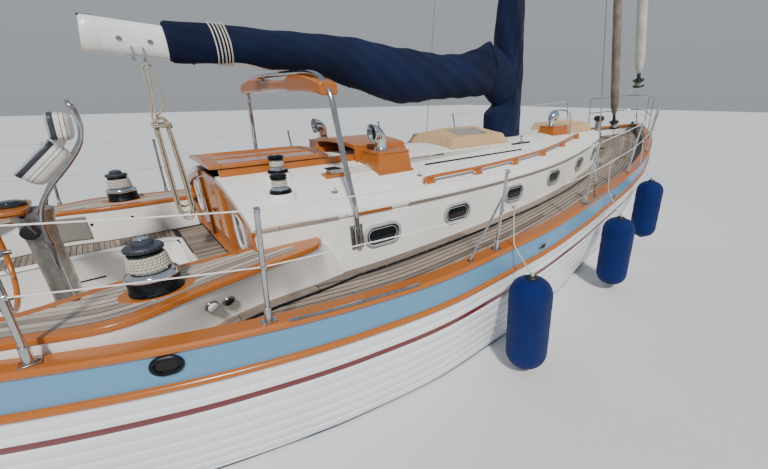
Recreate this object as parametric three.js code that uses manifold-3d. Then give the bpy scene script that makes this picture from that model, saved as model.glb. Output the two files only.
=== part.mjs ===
// Sailing yacht: a double-ended cutter afloat, its mainsail stowed along the boom.
// Millimetres. +X to the bow, +Y to port, +Z up. The origin is on the centreline at the waterline, amidships.

import * as THREE from 'three';
import { mergeVertices } from 'three/addons/utils/BufferGeometryUtils.js';
import Module from 'manifold-3d';

const wasm = await Module();
wasm.setup();

// Driving dimensions
const GAP = 0.4;
const SHEER_LOW = { x: -2000, z: 1000 };
const SHEER_FORWARD = { rise: 490, run: 7900, power: 1.4 };
const SHEER_AFT = { rise: 35, run: 1000, power: 1.6 };
const BULWARK = { height: 190, thickness: 70 };
const DECK_CAMBER = 60;
const TEAK_THICKNESS = 12;
const CAPRAIL = { width: 130, height: 42, overhang: 20 };
const RUBRAIL = { below: 188, depth: 27, height: 42, stern: -5930, stem: 5880 };
const HULL_JOINTS = [-2680, 3300];
const KEEL = { foot: -1800, thickness: 240, front: [[500, -1620], [2200, -1250], [4200, -300]] };
const RUDDER = { footX: -4560, footZ: -1650, topX: -4800, topZ: 120, stock: 38 };
const SHAFT = { x: -4520, z: -800, radius: 20 };
const CABIN_SOLE = -250;
const ENGINE = [-2400, -1600, -280, 280, CABIN_SOLE + GAP, 450];

const ROOF = { crown: 1600, drop: 250, halfWidth: 1120, thickness: 45, overhang: 15 };
const WALL = 40;
const TRUNK_SPLIT = 2800;
const BULKHEAD = { aft: -2700, forward: -2660 };
const PORTHOLE = { y: 690, z: 1240, radius: 95, stretch: 1.45 };
const DOORWAY = { halfWidth: 330, sill: 950, leafTop: 1545, leafThickness: 28 };
const HATCH = { aft: -2745, forward: -1840, halfWidth: 380, travel: 680, railTop: 1632, thickness: 55 };
const SEA_HOOD = { aft: -1590, forward: -985, halfWidth: 420, top: 1745, wall: 32, innerTop: 1702 };
const PORTLIGHT = { length: 330, height: 180 };

const SEAT_Z = 880;
const COCKPIT_FORWARD = -2704;
const FOOTWELL_FLOOR = 420;
const COAMING_TOP = 1165;
const COAMING_CAP = 35;
const PRIMARY_WINCH = { x: -3240, y: 1225, width: 236, height: 292 };
const ROOF_WINCH = { width: 150, height: 170, base: 12 };
const PEDESTAL = { x: -3700, top: 1560 };
const WHEEL = { x: -3950, z: 1210, radius: 380, rim: 14 };
const GUARD = {
  halfWidth: 170,
  leg: [[-3660, 1400], [-3630, 1510], [-3560, 1615], [-3434, 1753], [-3361, 1852], [-3330, 1940], [-3330, 2020], [-3347, 2120]],
};

const GALLOWS = { x: -2020, radius: 20, beamHalf: 72, plateLow: 1040, plateTop: 1230 };
const MAST = { x: 1070, length: 200, width: 135, foot: 1600 + GAP, head: 16300 };
const GOOSENECK = { x: 900, z: 2280 };
const BOOM = { aft: -3200, aftZ: 2515, width: 110, depth: 220 };
const MAST_COVER_CLEARANCE = 240;
const CHAINPLATE = { x: 850, y: 1600 };
const STAYSAIL = { foot: [4790, 0, 1150], drum: 1560, head: [1215, 0, 14040], top: 14000, radius: 85 };
const GENOA = { foot: [5850, 0, 1535], drum: 2390, head: [1250, 0, 16300], top: 16240, radius: 105 };

const LIFELINE = { stations: [-4350, -3700, -2870, -1300, 150, 1650, 3100, 4350], height: 620, middle: 320 };
const HANDRAIL = {
  lift: 62,
  posts: [[-1200, 1010], [-560, 1000], [90, 965], [740, 900], [1390, 780], [2040, 620]],
};
const WINDLASS = { x: 3560, y: -200, top: 1790 };
const FENDER = { radius: 172, length: 790 };
const HANK = { x: -2890, y: 0, halfLength: 50, halfWidth: 27, low: 1205, high: 2330 };

// Hull lines. Columns: x, half-beam at the sheer, half-beam at the waterline, bottom of the canoe body
const HULL_LINES = [
  [-5950, 12, 0, 1240],
  [-5900, 150, 0, 800],
  [-5750, 290, 0, 430],
  [-5350, 590, 0, 0],
  [-4900, 870, 440, -300],
  [-4300, 1210, 860, -500],
  [-3700, 1500, 1190, -640],
  [-3100, 1710, 1440, -720],
  [-2400, 1860, 1640, -780],
  [-1600, 1945, 1750, -800],
  [-800, 1945, 1740, -810],
  [0, 1890, 1650, -800],
  [800, 1790, 1510, -770],
  [1600, 1680, 1350, -720],
  [2400, 1530, 1150, -650],
  [3200, 1310, 900, -560],
  [4000, 1040, 630, -430],
  [4600, 800, 420, -300],
  [5100, 560, 210, -150],
  [5450, 360, 0, 0],
  [5700, 190, 0, 430],
  [5830, 90, 0, 850],
  [5900, 12, 0, 1420],
];
// Plan of the cabin trunk. Columns: x, half-width
const TRUNK_PLAN = [
  [-2700, 1050],
  [-1700, 1115],
  [-500, 1125],
  [600, 1075],
  [1500, 950],
  [2300, 770],
  [2800, 610],
  [3000, 480],
  [3080, 280],
];
// Plan of a cockpit coaming. Columns: x, inner y, outer y
const COAMING_PLAN = [
  [-5000, 300, 690],
  [-4800, 640, 805],
  [-4300, 950, 1090],
  [-3750, 1060, 1355],
  [-3400, 980, 1485],
  [-3080, 955, 1395],
  [-2704, 953, 1300],
  [-2420, 1060, 1236],
];
// The coaming's outer face leans in towards its foot. Columns: x, y of the foot, y of the top
const COAMING_FLARE = [
  [-3300, 1400, 1485],
  [-2950, 1140, 1362],
  [-2300, 1100, 1212],
];
// Plan of the footwell. Columns: x, half-width
const FOOTWELL_PLAN = [
  [-4600, 420],
  [-4300, 620],
  [-3050, 640],
  [-2960, 560],
];
// Openings in a trunk side. Columns: x, z
const PORTLIGHTS = [
  [-1790, 1095],
  [-970, 1105],
  [-90, 1135],
  [780, 1180],
  [1640, 1230],
  [2400, 1280],
];
// Sail cover on the boom. Columns: x, bottom, top, half-width
const BOOM_COVER = [
  [-2750, 2372, 2625, 80],
  [-1950, 2350, 2640, 120],
  [-1400, 2230, 2650, 150],
  [-770, 2060, 2610, 165],
  [0, 2110, 2590, 175],
  [690, 2140, 2780, 170],
];
// Cover round the foot of the mast. Columns: z, middle x, half-length, half-width
const MAST_COVER = [
  [1500, 1000, 340, 190],
  [1900, 1000, 340, 190],
  [2030, 1070, 230, 180],
  [2900, 1075, 225, 170],
  [3600, 1075, 170, 125],
];
// Columns: z, half-span
const SPREADERS = [
  [6900, 960],
  [11600, 740],
];
// Half of the gallows tube. Columns: y, z
const GALLOWS_TUBE = [
  [1128, 1140],
  [1128, 1380],
  [1060, 1650],
  [1005, 1920],
  [965, 2110],
  [905, 2210],
  [800, 2275],
  [620, 2305],
  [300, 2312],
  [0, 2312],
];
// Half of the gallows beam. Columns: y, bottom, top
const GALLOWS_BEAM = [
  [940, 2146, 2232],
  [800, 2164, 2254],
  [500, 2172, 2278],
  [200, 2184, 2288],
  [0, 2187, 2290],
];
// Instrument pods. Columns: x, z, depth, height, tilt
const PODS = [
  [-3555, 1745, 150, 280, 46],
  [-3460, 1868, 80, 100, 30],
  [-3412, 1962, 110, 170, 6],
];
// Columns: name, x, y
const ROOF_WINCHES = [
  ['roof_winch_outboard', -2420, -820],
  ['roof_winch_inboard', -2315, -500],
];
// Ventilator boxes. Columns: name, x, y, length, width, top, x of the cowl
const DORADES = [
  ['dorade_starboard', -1380, -600, 360, 300, 1680, -1430],
  ['dorade_port', -1380, 600, 360, 300, 1680, -1430],
  ['dorade_forward', 1945, -260, 420, 280, 1700, 1860],
];
// Columns: x0, x1, y0, y1, z0, z1, taper
const SKYLIGHT_COVER = [-380, 620, -420, 420, 1400, 1765, 60];
const FORE_HATCH_COVER = [2250, 2950, -390, 390, 1400, 1760, 50];
// Half plans of the end rails. Columns: x, y, 1 where a post stands
const PULPIT = [[4820, 660, 1], [5050, 545, 0], [5400, 350, 1], [5650, 175, 0], [5740, 0, 0]];
const PUSHPIT = [[-4800, 880, 1], [-5100, 700, 0], [-5500, 440, 1], [-5720, 240, 0], [-5780, 0, 0]];
// Columns: name, x, y, middle z
const FENDERS = [
  ['fender_aft', -1160, -2156, 455],
  ['fender_middle', 690, -2016, 475],
  ['fender_forward', 2090, -1805, 640],
];

// The triangles, turned round where they would enclose a negative volume
const facingOut = (position, index) => {
  const corner = (i) => new THREE.Vector3().fromBufferAttribute(position, i);
  let volume = 0;
  for (let i = 0; i < index.length; i += 3) {
    const [a, b, c] = [index[i], index[i + 1], index[i + 2]].map(corner);
    volume += a.dot(b.cross(c));
  }
  return volume < 0 ? index.reverse() : index;
};

const solid = (geometry) => {
  const bare = geometry.index ? geometry.toNonIndexed() : geometry.clone();
  bare.deleteAttribute('normal');
  bare.deleteAttribute('uv');
  const merged = mergeVertices(bare, 1e-3);
  const index = [];
  for (let i = 0; i < merged.index.count; i += 3) {
    const [a, b, c] = [0, 1, 2].map((k) => merged.index.getX(i + k));
    if (a !== b && b !== c && a !== c) index.push(a, b, c);
  }
  return new wasm.Manifold(
    new wasm.Mesh({
      numProp: 3,
      vertProperties: new Float32Array(merged.attributes.position.array),
      triVerts: new Uint32Array(facingOut(merged.attributes.position, index)),
    }),
  );
};

const geometryOf = (body) => {
  const { vertProperties, triVerts } = body.getMesh();
  const geometry = new THREE.BufferGeometry();
  geometry.setAttribute('position', new THREE.BufferAttribute(new Float32Array(vertProperties), 3));
  geometry.setIndex(new THREE.BufferAttribute(new Uint32Array(triVerts), 1));
  geometry.computeVertexNormals();
  return geometry;
};

const join = (...bodies) => bodies.flat().reduce((sum, body) => sum.add(body));

// A solid through rings of points with equal counts, each facet split along its shorter diagonal
const loft = (rings, looped = false) => {
  const count = rings[0].length;
  const position = [];
  const triangle = (...points) => points.forEach((p) => position.push(p.x, p.y, p.z));
  const last = looped ? rings.length : rings.length - 1;
  for (let i = 0; i < last; i += 1) {
    const a = rings[i];
    const b = rings[(i + 1) % rings.length];
    for (let k = 0; k < count; k += 1) {
      const n = (k + 1) % count;
      if (a[k].distanceTo(b[n]) < a[n].distanceTo(b[k])) {
        triangle(a[k], a[n], b[n]);
        triangle(a[k], b[n], b[k]);
      } else {
        triangle(a[k], a[n], b[k]);
        triangle(a[n], b[n], b[k]);
      }
    }
  }
  if (!looped) {
    for (let k = 1; k < count - 1; k += 1) {
      triangle(rings[0][0], rings[0][k + 1], rings[0][k]);
      triangle(rings.at(-1)[0], rings.at(-1)[k], rings.at(-1)[k + 1]);
    }
  }
  const geometry = new THREE.BufferGeometry();
  geometry.setAttribute('position', new THREE.Float32BufferAttribute(position, 3));
  return solid(geometry);
};

const box = (x0, x1, y0, y1, z0, z1) => {
  const geometry = new THREE.BoxGeometry(x1 - x0, y1 - y0, z1 - z0);
  geometry.translate((x0 + x1) / 2, (y0 + y1) / 2, (z0 + z1) / 2);
  return solid(geometry);
};

const turned = (profile, place, segments = 16) => {
  const geometry = new THREE.LatheGeometry(profile.map(([r, z]) => new THREE.Vector2(r, z)), segments);
  geometry.rotateX(Math.PI / 2);
  geometry.translate(...place);
  return solid(geometry);
};

const tube = (points, radius, sides = 8, steps = 1) => {
  const path = new THREE.CurvePath();
  const places = points.map((p) => new THREE.Vector3(...p));
  if (steps > 1) path.add(new THREE.CatmullRomCurve3(places, false, 'centripetal'));
  else places.slice(1).forEach((p, i) => path.add(new THREE.LineCurve3(places[i], p)));
  const section = new THREE.Shape();
  section.absarc(0, 0, radius, 0, 2 * Math.PI);
  const curve = steps > 1 ? path.curves[0] : path;
  const geometry = new THREE.ExtrudeGeometry(section, {
    steps: steps > 1 ? steps : places.length - 1,
    curveSegments: sides / 2,
    bevelEnabled: false,
    extrudePath: curve,
  });
  return solid(geometry);
};

// A straight bar of round section between two points
const rod = (a, b, radius, sides = 8) => {
  const from = new THREE.Vector3(...a);
  const to = new THREE.Vector3(...b);
  const geometry = new THREE.CylinderGeometry(radius, radius, from.distanceTo(to), sides);
  geometry.rotateX(Math.PI / 2);
  const turn = new THREE.Quaternion().setFromUnitVectors(
    new THREE.Vector3(0, 0, 1),
    to.clone().sub(from).normalize(),
  );
  geometry.applyQuaternion(turn);
  const middle = from.add(to).multiplyScalar(0.5);
  geometry.translate(middle.x, middle.y, middle.z);
  return solid(geometry);
};

// A prism standing on a plan outline
const prism = (outline, z0, z1) => {
  const shape = new THREE.Shape(outline.map(([x, y]) => new THREE.Vector2(x, y)));
  const geometry = new THREE.ExtrudeGeometry(shape, { depth: z1 - z0, bevelEnabled: false });
  geometry.translate(0, 0, z0);
  return solid(geometry);
};

const mirrorY = (body) => body.mirror([0, 1, 0]);

const interpolate = (table, x, column) => {
  const i = Math.max(1, table.findIndex((row) => row[0] >= x));
  const [a, b] = [table[i - 1], table[i]];
  const share = (x - a[0]) / (b[0] - a[0]);
  return a[column] + share * (b[column] - a[column]);
};

const sheerAt = (x) => {
  const aft = SHEER_LOW.x - x;
  if (aft > 0) return SHEER_LOW.z + SHEER_AFT.rise * (aft / SHEER_AFT.run) ** SHEER_AFT.power;
  return SHEER_LOW.z + SHEER_FORWARD.rise * (-aft / SHEER_FORWARD.run) ** SHEER_FORWARD.power;
};
const beamAt = (x) => interpolate(HULL_LINES, x, 1);
const deckAt = (x, y) => sheerAt(x) - BULWARK.height + DECK_CAMBER * (1 - (y / beamAt(x)) ** 2);
const roofAt = (y) => ROOF.crown - ROOF.drop * (y / ROOF.halfWidth) ** 2;
const trunkAt = (x) => interpolate(TRUNK_PLAN, x, 1);
const topsideAt = (x, z) => {
  const [, sheerHalf, waterHalf, bottom] = [0, 1, 2, 3].map((k) => interpolate(HULL_LINES, x, k));
  const foot = Math.max(bottom, 0);
  const t = (z - foot) / (sheerAt(x) - foot);
  return waterHalf + (sheerHalf - waterHalf) * (2 * t - t * t);
};

// Hull skin
const UPPER_LEVELS = [1, 0.82, 0.62, 0.42, 0.2, 0];
const BILGE_ANGLES = [18, 36, 54, 72];

const hullRing = ([x, sheerHalf, waterHalf, bottom], grow) => {
  const foot = Math.max(bottom, 0);
  const side = UPPER_LEVELS.map((t) => [
    waterHalf + (sheerHalf - waterHalf) * (2 * t - t * t) + grow,
    foot + t * (sheerAt(x) - foot),
  ]);
  for (const angle of BILGE_ANGLES) {
    const turn = THREE.MathUtils.degToRad(angle);
    const depth = Math.min(bottom, 0) * Math.sin(turn);
    side.push([waterHalf * Math.cos(turn) + grow, depth + foot]);
  }
  const keel = new THREE.Vector3(x, 0, bottom - grow);
  return [
    ...side.map(([y, z]) => new THREE.Vector3(x, y, z)),
    keel,
    ...side.reverse().map(([y, z]) => new THREE.Vector3(x, -y, z)),
  ];
};

const hullSkin = (grow = 0) => loft(HULL_LINES.map((row) => hullRing(row, grow)));

// A layer that follows the deck's plan, inset from the sheer, between two heights given at (x, y)
const ACROSS = [-1, -0.66, -0.33, 0, 0.33, 0.66, 1];
const deckLayer = (inset, low, high) => {
  const rows = HULL_LINES.filter(([, half]) => half > inset + 30);
  return loft(
    rows.map(([x, half]) => {
      const places = ACROSS.map((share) => share * (half - inset));
      const lower = places.map((y) => new THREE.Vector3(x, y, low(x, y)));
      const upper = places.map((y) => new THREE.Vector3(x, y, high(x, y)));
      return [...lower, ...upper.reverse()];
    }),
  );
};

// A slab along X whose two faces follow the roof's camber
const ROOF_STEPS = 12;
const roofSlab = (low, high, x0 = -4000, x1 = 4000) => {
  const half = ROOF.halfWidth + 60;
  const places = Array.from({ length: ROOF_STEPS + 1 }, (_, i) => half * ((2 * i) / ROOF_STEPS - 1));
  const ring = (x) => [
    ...places.map((y) => new THREE.Vector3(x, y, roofAt(y) + low)),
    ...places.toReversed().map((y) => new THREE.Vector3(x, y, roofAt(y) + high)),
  ];
  return loft([ring(x0), ring(x1)]);
};

// Both sides of a half plan, its rows being [x, half-width]
const bothSides = (rows) => [...rows.map(([x, y]) => [x, -y]), ...rows.toReversed()];

const trunkOutline = (grow) => {
  const last = TRUNK_PLAN.length - 1;
  const along = (i) => (i === 0 ? -grow : (grow * i) / last);
  return bothSides(TRUNK_PLAN.map(([x, half], i) => [x + along(i), half + grow]));
};
const cockpitRows = COAMING_PLAN.filter(([x]) => x <= COCKPIT_FORWARD);
const cockpitOutline = () => bothSides(cockpitRows.map(([x, inner]) => [x, inner]));
const coamingOutline = (grow) => {
  const inner = COAMING_PLAN.map(([x, y]) => [x, y - grow]);
  const outer = COAMING_PLAN.map(([x, , y]) => [x, y + grow]);
  return [...inner, ...outer.reverse()];
};

// What stands on another piece is cut off just above that piece's top faces.
const restOn = (body, ...supports) => {
  const raised = (support) => [-GAP / 2, GAP].map((lift) => support.translate([0, 0, lift]));
  const lifts = supports.flatMap(raised);
  return lifts.reduce((cut, support) => cut.subtract(support), body);
};
const belowRoof = roofSlab(-ROOF.thickness - 400, 0);
const onRoof = (body) => restOn(body, belowRoof);

// A round-ended hole through walls whose normals are along Y
const ovalCutter = (x, z, length, height) => {
  const shape = new THREE.Shape();
  const straight = (length - height) / 2;
  shape.absarc(straight, 0, height / 2, -Math.PI / 2, Math.PI / 2);
  shape.absarc(-straight, 0, height / 2, Math.PI / 2, 1.5 * Math.PI);
  const settings = { depth: 4000, bevelEnabled: false, curveSegments: 5 };
  const geometry = new THREE.ExtrudeGeometry(shape, settings);
  geometry.rotateX(Math.PI / 2);
  geometry.translate(x, settings.depth / 2, z);
  return solid(geometry);
};

const stockLine = (z) => {
  const { footX, footZ, topX, topZ } = RUDDER;
  return [footX + ((z - footZ) / (topZ - footZ)) * (topX - footX), 0, z];
};

// Hull group
const buildHull = () => {
  const deckSpace = deckLayer(BULWARK.thickness, deckAt, (x) => sheerAt(x) + 400);
  const cabin = prism(trunkOutline(-WALL - 2), CABIN_SOLE, 2000);
  const seats = prism(cockpitOutline(), SEAT_Z, 2000);
  const well = prism(bothSides(FOOTWELL_PLAN), FOOTWELL_FLOOR, 2000);
  const stockTube = rod(stockLine(-700), stockLine(RUDDER.topZ + 60), RUDDER.stock + 8, 12);
  const spaces = [deckSpace, cabin, seats, well, stockTube];
  return spaces.reduce((body, space) => body.subtract(space), hullSkin());
};

const hull = buildHull();
const hullBetween = (x0, x1) => hull.intersect(box(x0, x1, -3000, 3000, -2000, 3000));

const upright = (profile, thickness) => {
  const shape = new THREE.Shape(profile.map(([x, z]) => new THREE.Vector2(x, z)));
  const geometry = new THREE.ExtrudeGeometry(shape, { depth: thickness, bevelEnabled: false });
  geometry.rotateX(Math.PI / 2);
  geometry.translate(0, thickness / 2, 0);
  return solid(geometry);
};

const buildKeel = () => {
  const edge = (z) => [stockLine(z)[0] + 62, z];
  const heel = stockLine(-1720)[0] - 80;
  const foot = [[heel, -1712], [heel, KEEL.foot], [-1500, KEEL.foot]];
  const profile = [edge(-300), edge(-1700), ...foot, ...KEEL.front];
  const { x, z, radius } = SHAFT;
  const shaft = rod([x - 400, 0, z], [x + 260, 0, z], radius + 6, 12);
  const aperture = box(x - 500, x + 130, -300, 300, z - 250, z + 250);
  return upright(profile, KEEL.thickness).subtract(hullSkin(GAP)).subtract(aperture).subtract(shaft);
};

const buildRudder = () => {
  const at = (z, aft) => [stockLine(z)[0] - aft, z];
  const blade = upright([at(-1690, 0), at(-1690, 560), at(-1000, 610), at(-520, 420), at(-480, 0)], 70);
  return join(
    blade,
    rod(stockLine(-1690), stockLine(-480), 44, 12),
    rod(stockLine(-500), stockLine(RUDDER.topZ), RUDDER.stock, 12),
  );
};

const buildPropeller = () => {
  const { x, z, radius } = SHAFT;
  const blade = box(-18, 18, -55, 55, 0, 205).rotate([0, 0, 30]);
  const blades = [0, 120, 240].map((turn) => blade.rotate([turn, 0, 0]).translate([x, 0, z]));
  const hub = rod([x - 60, 0, z], [x + 50, 0, z], 42, 12);
  return join(rod([x, 0, z], [x + 250, 0, z], radius, 12), hub, blades);
};

const buildCaprail = (grow = 0) => {
  const low = (x) => sheerAt(x) + GAP - grow;
  const high = (x) => sheerAt(x) + CAPRAIL.height + grow;
  const inset = CAPRAIL.width - CAPRAIL.overhang + grow;
  const inside = deckLayer(inset, (x) => sheerAt(x) - 50, (x) => high(x) + 50);
  return deckLayer(-CAPRAIL.overhang - grow, low, high).subtract(inside);
};

const caprail = buildCaprail();

// A closed strip round the hull's outside at deck level
const buildRubRail = () => {
  const level = (x) => sheerAt(x) - RUBRAIL.below;
  const { stern, stem } = RUBRAIL;
  const rows = HULL_LINES.filter(([x]) => x > stern && x < stem);
  const starboard = rows.map(([x]) => new THREE.Vector3(x, -topsideAt(x, level(x)), level(x)));
  const port = starboard.toReversed().map((p) => new THREE.Vector3(p.x, -p.y, p.z));
  const end = (x) => new THREE.Vector3(x, 0, level(x));
  const path = [end(stern), ...starboard, end(stem), ...port];
  const rings = path.map((p, i) => {
    const along = path[(i + 1) % path.length].clone().sub(path.at(i - 1));
    const out = new THREE.Vector3(along.y, -along.x, 0).normalize();
    const corner = (o, h) => p.clone().addScaledVector(out, o).add(new THREE.Vector3(0, 0, h));
    const { depth, height } = RUBRAIL;
    const h = height / 2;
    return [corner(-40, -h), corner(depth, -h), corner(depth, h), corner(-40, h)];
  });
  return loft(rings, true).subtract(hullSkin(GAP));
};

const buildTeakDeck = () => {
  const bottom = (x, y) => deckAt(x, y) + GAP;
  const top = (x, y) => deckAt(x, y) + TEAK_THICKNESS;
  return restOn(deckLayer(BULWARK.thickness + GAP, bottom, top), hull)
    .subtract(prism(trunkOutline(GAP), 0, 3000))
    .subtract(prism(coamingOutline(GAP), 0, 3000))
    .subtract(mirrorY(prism(coamingOutline(GAP), 0, 3000)))
    .subtract(prism(cockpitOutline(), 0, 3000))
    .subtract(box(COCKPIT_FORWARD - 10, BULKHEAD.forward, -1000, 1000, 0, 3000));
};

const teakDeck = buildTeakDeck();

// Trunk
const buildTrunkShell = () => {
  const shell = prism(trunkOutline(0), 700, 2000).subtract(prism(trunkOutline(-WALL), 600, 2100));
  return restOn(shell, hull).subtract(roofSlab(-ROOF.thickness - GAP, 900));
};
const trunkShell = buildTrunkShell();

const buildTrunkSide = () => {
  const side = trunkShell.intersect(box(BULKHEAD.forward + GAP, TRUNK_SPLIT - GAP, 0, 2000, 0, 3000));
  const { length, height } = PORTLIGHT;
  return PORTLIGHTS.reduce((wall, [x, z]) => wall.subtract(ovalCutter(x, z, length, height)), side);
};

const buildTrunkFront = () => trunkShell.intersect(box(TRUNK_SPLIT, 4000, -2000, 2000, 0, 3000));

const buildAftBulkhead = () => {
  const { aft, forward } = BULKHEAD;
  const panel = prism(trunkOutline(0), SEAT_Z + GAP, 2000).intersect(box(aft, forward, -2000, 2000, 0, 3000));
  const { radius } = PORTHOLE;
  const port = turned([[0, -80], [radius, -80], [radius, 80], [0, 80]], [0, 0, 0], 16);
  const hole = port.rotate([0, 90, 0]).scale([1, 1, PORTHOLE.stretch]);
  const middle = (aft + forward) / 2;
  return restOn(panel, hull)
    .subtract(roofSlab(-ROOF.thickness - GAP, 900))
    .subtract(box(aft - 50, forward + 50, -DOORWAY.halfWidth, DOORWAY.halfWidth, DOORWAY.sill, 2500))
    .subtract(hole.translate([middle, PORTHOLE.y, PORTHOLE.z]))
    .subtract(hole.translate([middle, -PORTHOLE.y, PORTHOLE.z]));
};

const buildTrunkRoof = () => {
  const { aft, forward } = BULKHEAD;
  const hatchway = box(aft - 100, HATCH.forward, -DOORWAY.halfWidth, DOORWAY.halfWidth, 1000, 3000);
  return roofSlab(-ROOF.thickness, 0, aft - ROOF.overhang, 4000)
    .intersect(prism(trunkOutline(ROOF.overhang), 0, 3000))
    .subtract(hatchway);
};

const buildHatchRails = () => {
  const { halfWidth, aft, forward, travel, railTop } = HATCH;
  const end = forward + travel + 100;
  const rail = box(aft + 60, end, halfWidth - 45, halfWidth - 15, 1400, railTop);
  const stop = box(end - 30, end, 15 - halfWidth, halfWidth - 15, 1400, railTop);
  return onRoof(join(rail, mirrorY(rail), stop));
};

// A hollow hood over the forward end of the hatch's travel, open aft, its front sloping
const buildSeaHood = () => {
  const { aft, forward, halfWidth, top, wall, innerTop } = SEA_HOOD;
  const ring = (y, high) => [
    new THREE.Vector3(aft, y, 1400),
    new THREE.Vector3(forward, y, 1400),
    new THREE.Vector3(forward - 70, y, high),
    new THREE.Vector3(aft, y, high),
  ];
  const sides = [-1, -0.5, 0, 0.5, 1].map((share) => ring(share * halfWidth, top - 28 * share ** 2));
  const inner = halfWidth - wall;
  const space = box(aft - 100, forward - 65, -inner, inner, 1000, innerTop);
  return onRoof(loft(sides).subtract(space));
};

const buildSlidingHatch = () => {
  const { halfWidth, aft, forward, railTop, thickness } = HATCH;
  const ring = (x) => [
    new THREE.Vector3(x, -halfWidth, railTop + 6),
    new THREE.Vector3(x, halfWidth, railTop + 6),
    new THREE.Vector3(x, halfWidth, railTop + thickness * 0.6),
    new THREE.Vector3(x, halfWidth / 2, railTop + thickness * 0.9),
    new THREE.Vector3(x, 0, railTop + thickness),
    new THREE.Vector3(x, -halfWidth / 2, railTop + thickness * 0.9),
    new THREE.Vector3(x, -halfWidth, railTop + thickness * 0.6),
  ];
  return loft([ring(aft), ring(forward)]);
};

const buildDoor = () => {
  const { halfWidth, sill, leafTop, leafThickness } = DOORWAY;
  const aft = BULKHEAD.aft;
  const slatSpace = box(aft - 50, aft + 8, 62, halfWidth - 66, sill + 90, leafTop - 90);
  return box(aft, aft + leafThickness, 6, halfWidth - 7, sill + 7, leafTop).subtract(slatSpace);
};

// Cockpit
const buildCoaming = () => {
  const body = prism(coamingOutline(-GAP), 700, COAMING_TOP).subtract(prism(trunkOutline(GAP), 0, 3000));
  const flare = loft(
    COAMING_FLARE.map(([x, foot, top]) => [
      new THREE.Vector3(x, foot, 700),
      new THREE.Vector3(x, 1700, 700),
      new THREE.Vector3(x, 1700, COAMING_TOP - 12),
      new THREE.Vector3(x, top, COAMING_TOP - 12),
    ]),
  );
  return restOn(body.subtract(flare), hull).subtract(buildCaprail(GAP));
};
const buildCoamingCap = () => {
  const cap = prism(coamingOutline(10), COAMING_TOP + GAP, COAMING_TOP + COAMING_CAP);
  return cap.subtract(prism(trunkOutline(GAP), 0, 3000)).subtract(buildCaprail(GAP));
};

// Profile columns: radius, height
const winch = (width, height, place) =>
  turned(
    [
      [0, 0],
      [width / 2, 0],
      [width / 2, height * 0.16],
      [width * 0.36, height * 0.24],
      [width * 0.3, height * 0.55],
      [width * 0.37, height * 0.74],
      [width * 0.37, height],
      [0, height],
    ],
    place,
    18,
  );

const buildPrimaryWinch = () => {
  const { x, y, width, height } = PRIMARY_WINCH;
  return winch(width, height, [x, y, COAMING_TOP + COAMING_CAP + GAP]);
};

const buildRoofWinch = (x, y) => {
  const { width, height, base } = ROOF_WINCH;
  const foot = rod([x, y, 1400], [x, y, roofAt(y) + base + 2], width / 2 - 5, 12);
  return onRoof(join(winch(width, height, [x, y, roofAt(y) + base]), foot));
};

const buildPedestal = () => {
  const floor = FOOTWELL_FLOOR + GAP;
  const high = PEDESTAL.top - floor;
  const profile = [[0, 0], [130, 0], [95, 60], [82, 400], [88, high - 90], [105, high], [0, high]];
  return turned(profile, [PEDESTAL.x, 0, floor]);
};

const buildWheel = () => {
  const { x, z, radius, rim } = WHEEL;
  const ring = loft(
    Array.from({ length: 28 }, (_, i) => {
      const turn = (2 * Math.PI * i) / 28;
      return Array.from({ length: 8 }, (_, k) => {
        const round = (2 * Math.PI * k) / 8;
        const reach = radius + rim * Math.cos(round);
        const [y, up] = [reach * Math.cos(turn), reach * Math.sin(turn)];
        return new THREE.Vector3(x + rim * Math.sin(round), y, z + up);
      });
    }),
    true,
  );
  const spokes = Array.from({ length: 6 }, (_, i) => {
    const turn = (2 * Math.PI * i) / 6 + 0.26;
    return rod([x, 0, z], [x, radius * Math.cos(turn), z + radius * Math.sin(turn)], 6, 6);
  });
  const hub = rod([x - 30, 0, z], [x + 60, 0, z], 42, 14);
  const axle = rod([x, 0, z], [x + 92, 0, z], 16, 10);
  return join(ring, spokes, hub, axle);
};

const buildGuard = () => {
  const { halfWidth, leg } = GUARD;
  const side = (y) => tube([[leg[0][0] - 10, y, FOOTWELL_FLOOR + GAP], ...leg.map(([x, z]) => [x, y, z])], 14, 8, 26);
  const [x, z] = leg.at(-1);
  return join(side(halfWidth), side(-halfWidth), rod([x, -halfWidth, z - 8], [x, halfWidth, z - 8], 14));
};

const buildPods = () => {
  const inner = GUARD.halfWidth - 40;
  const pod = ([x, z, deep, tall, tilt]) => {
    const upright = box(-deep / 2, deep / 2, -inner, inner, -tall / 2, tall / 2);
    return upright.rotate([0, tilt, 0]).translate([x, 0, z]);
  };
  return join(PODS.map(pod));
};

// Gallows
const buildGallowsTubes = (grow = 0) => {
  const { x, radius, plateLow, plateTop } = GALLOWS;
  const port = GALLOWS_TUBE.map(([y, z]) => [x, y, z]);
  const starboard = GALLOWS_TUBE.slice(0, -1).map(([y, z]) => [x, -y, z]);
  const wall = trunkAt(x);
  const plate = box(x - 60, x + 60, wall + 8, wall + 20, plateLow, plateTop);
  const socket = rod([x, 1120, plateLow], [x, 1134, plateTop - 30], radius + 4, 10);
  const arch = tube([...port, ...starboard.reverse()], radius + grow, 8, 40);
  return join(arch, plate, socket, mirrorY(plate), mirrorY(socket));
};

const buildGallowsBeam = () => {
  const { x, beamHalf } = GALLOWS;
  const starboard = GALLOWS_BEAM.slice(0, -1).map(([y, low, high]) => [-y, low, high]);
  const rows = [...GALLOWS_BEAM, ...starboard.reverse()];
  const ring = ([y, low, high]) => [
    new THREE.Vector3(x - beamHalf, y, low),
    new THREE.Vector3(x + beamHalf, y, low),
    new THREE.Vector3(x + beamHalf, y, high),
    new THREE.Vector3(x - beamHalf, y, high),
  ];
  return loft(rows.map(ring)).subtract(buildGallowsTubes(GAP));
};

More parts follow.
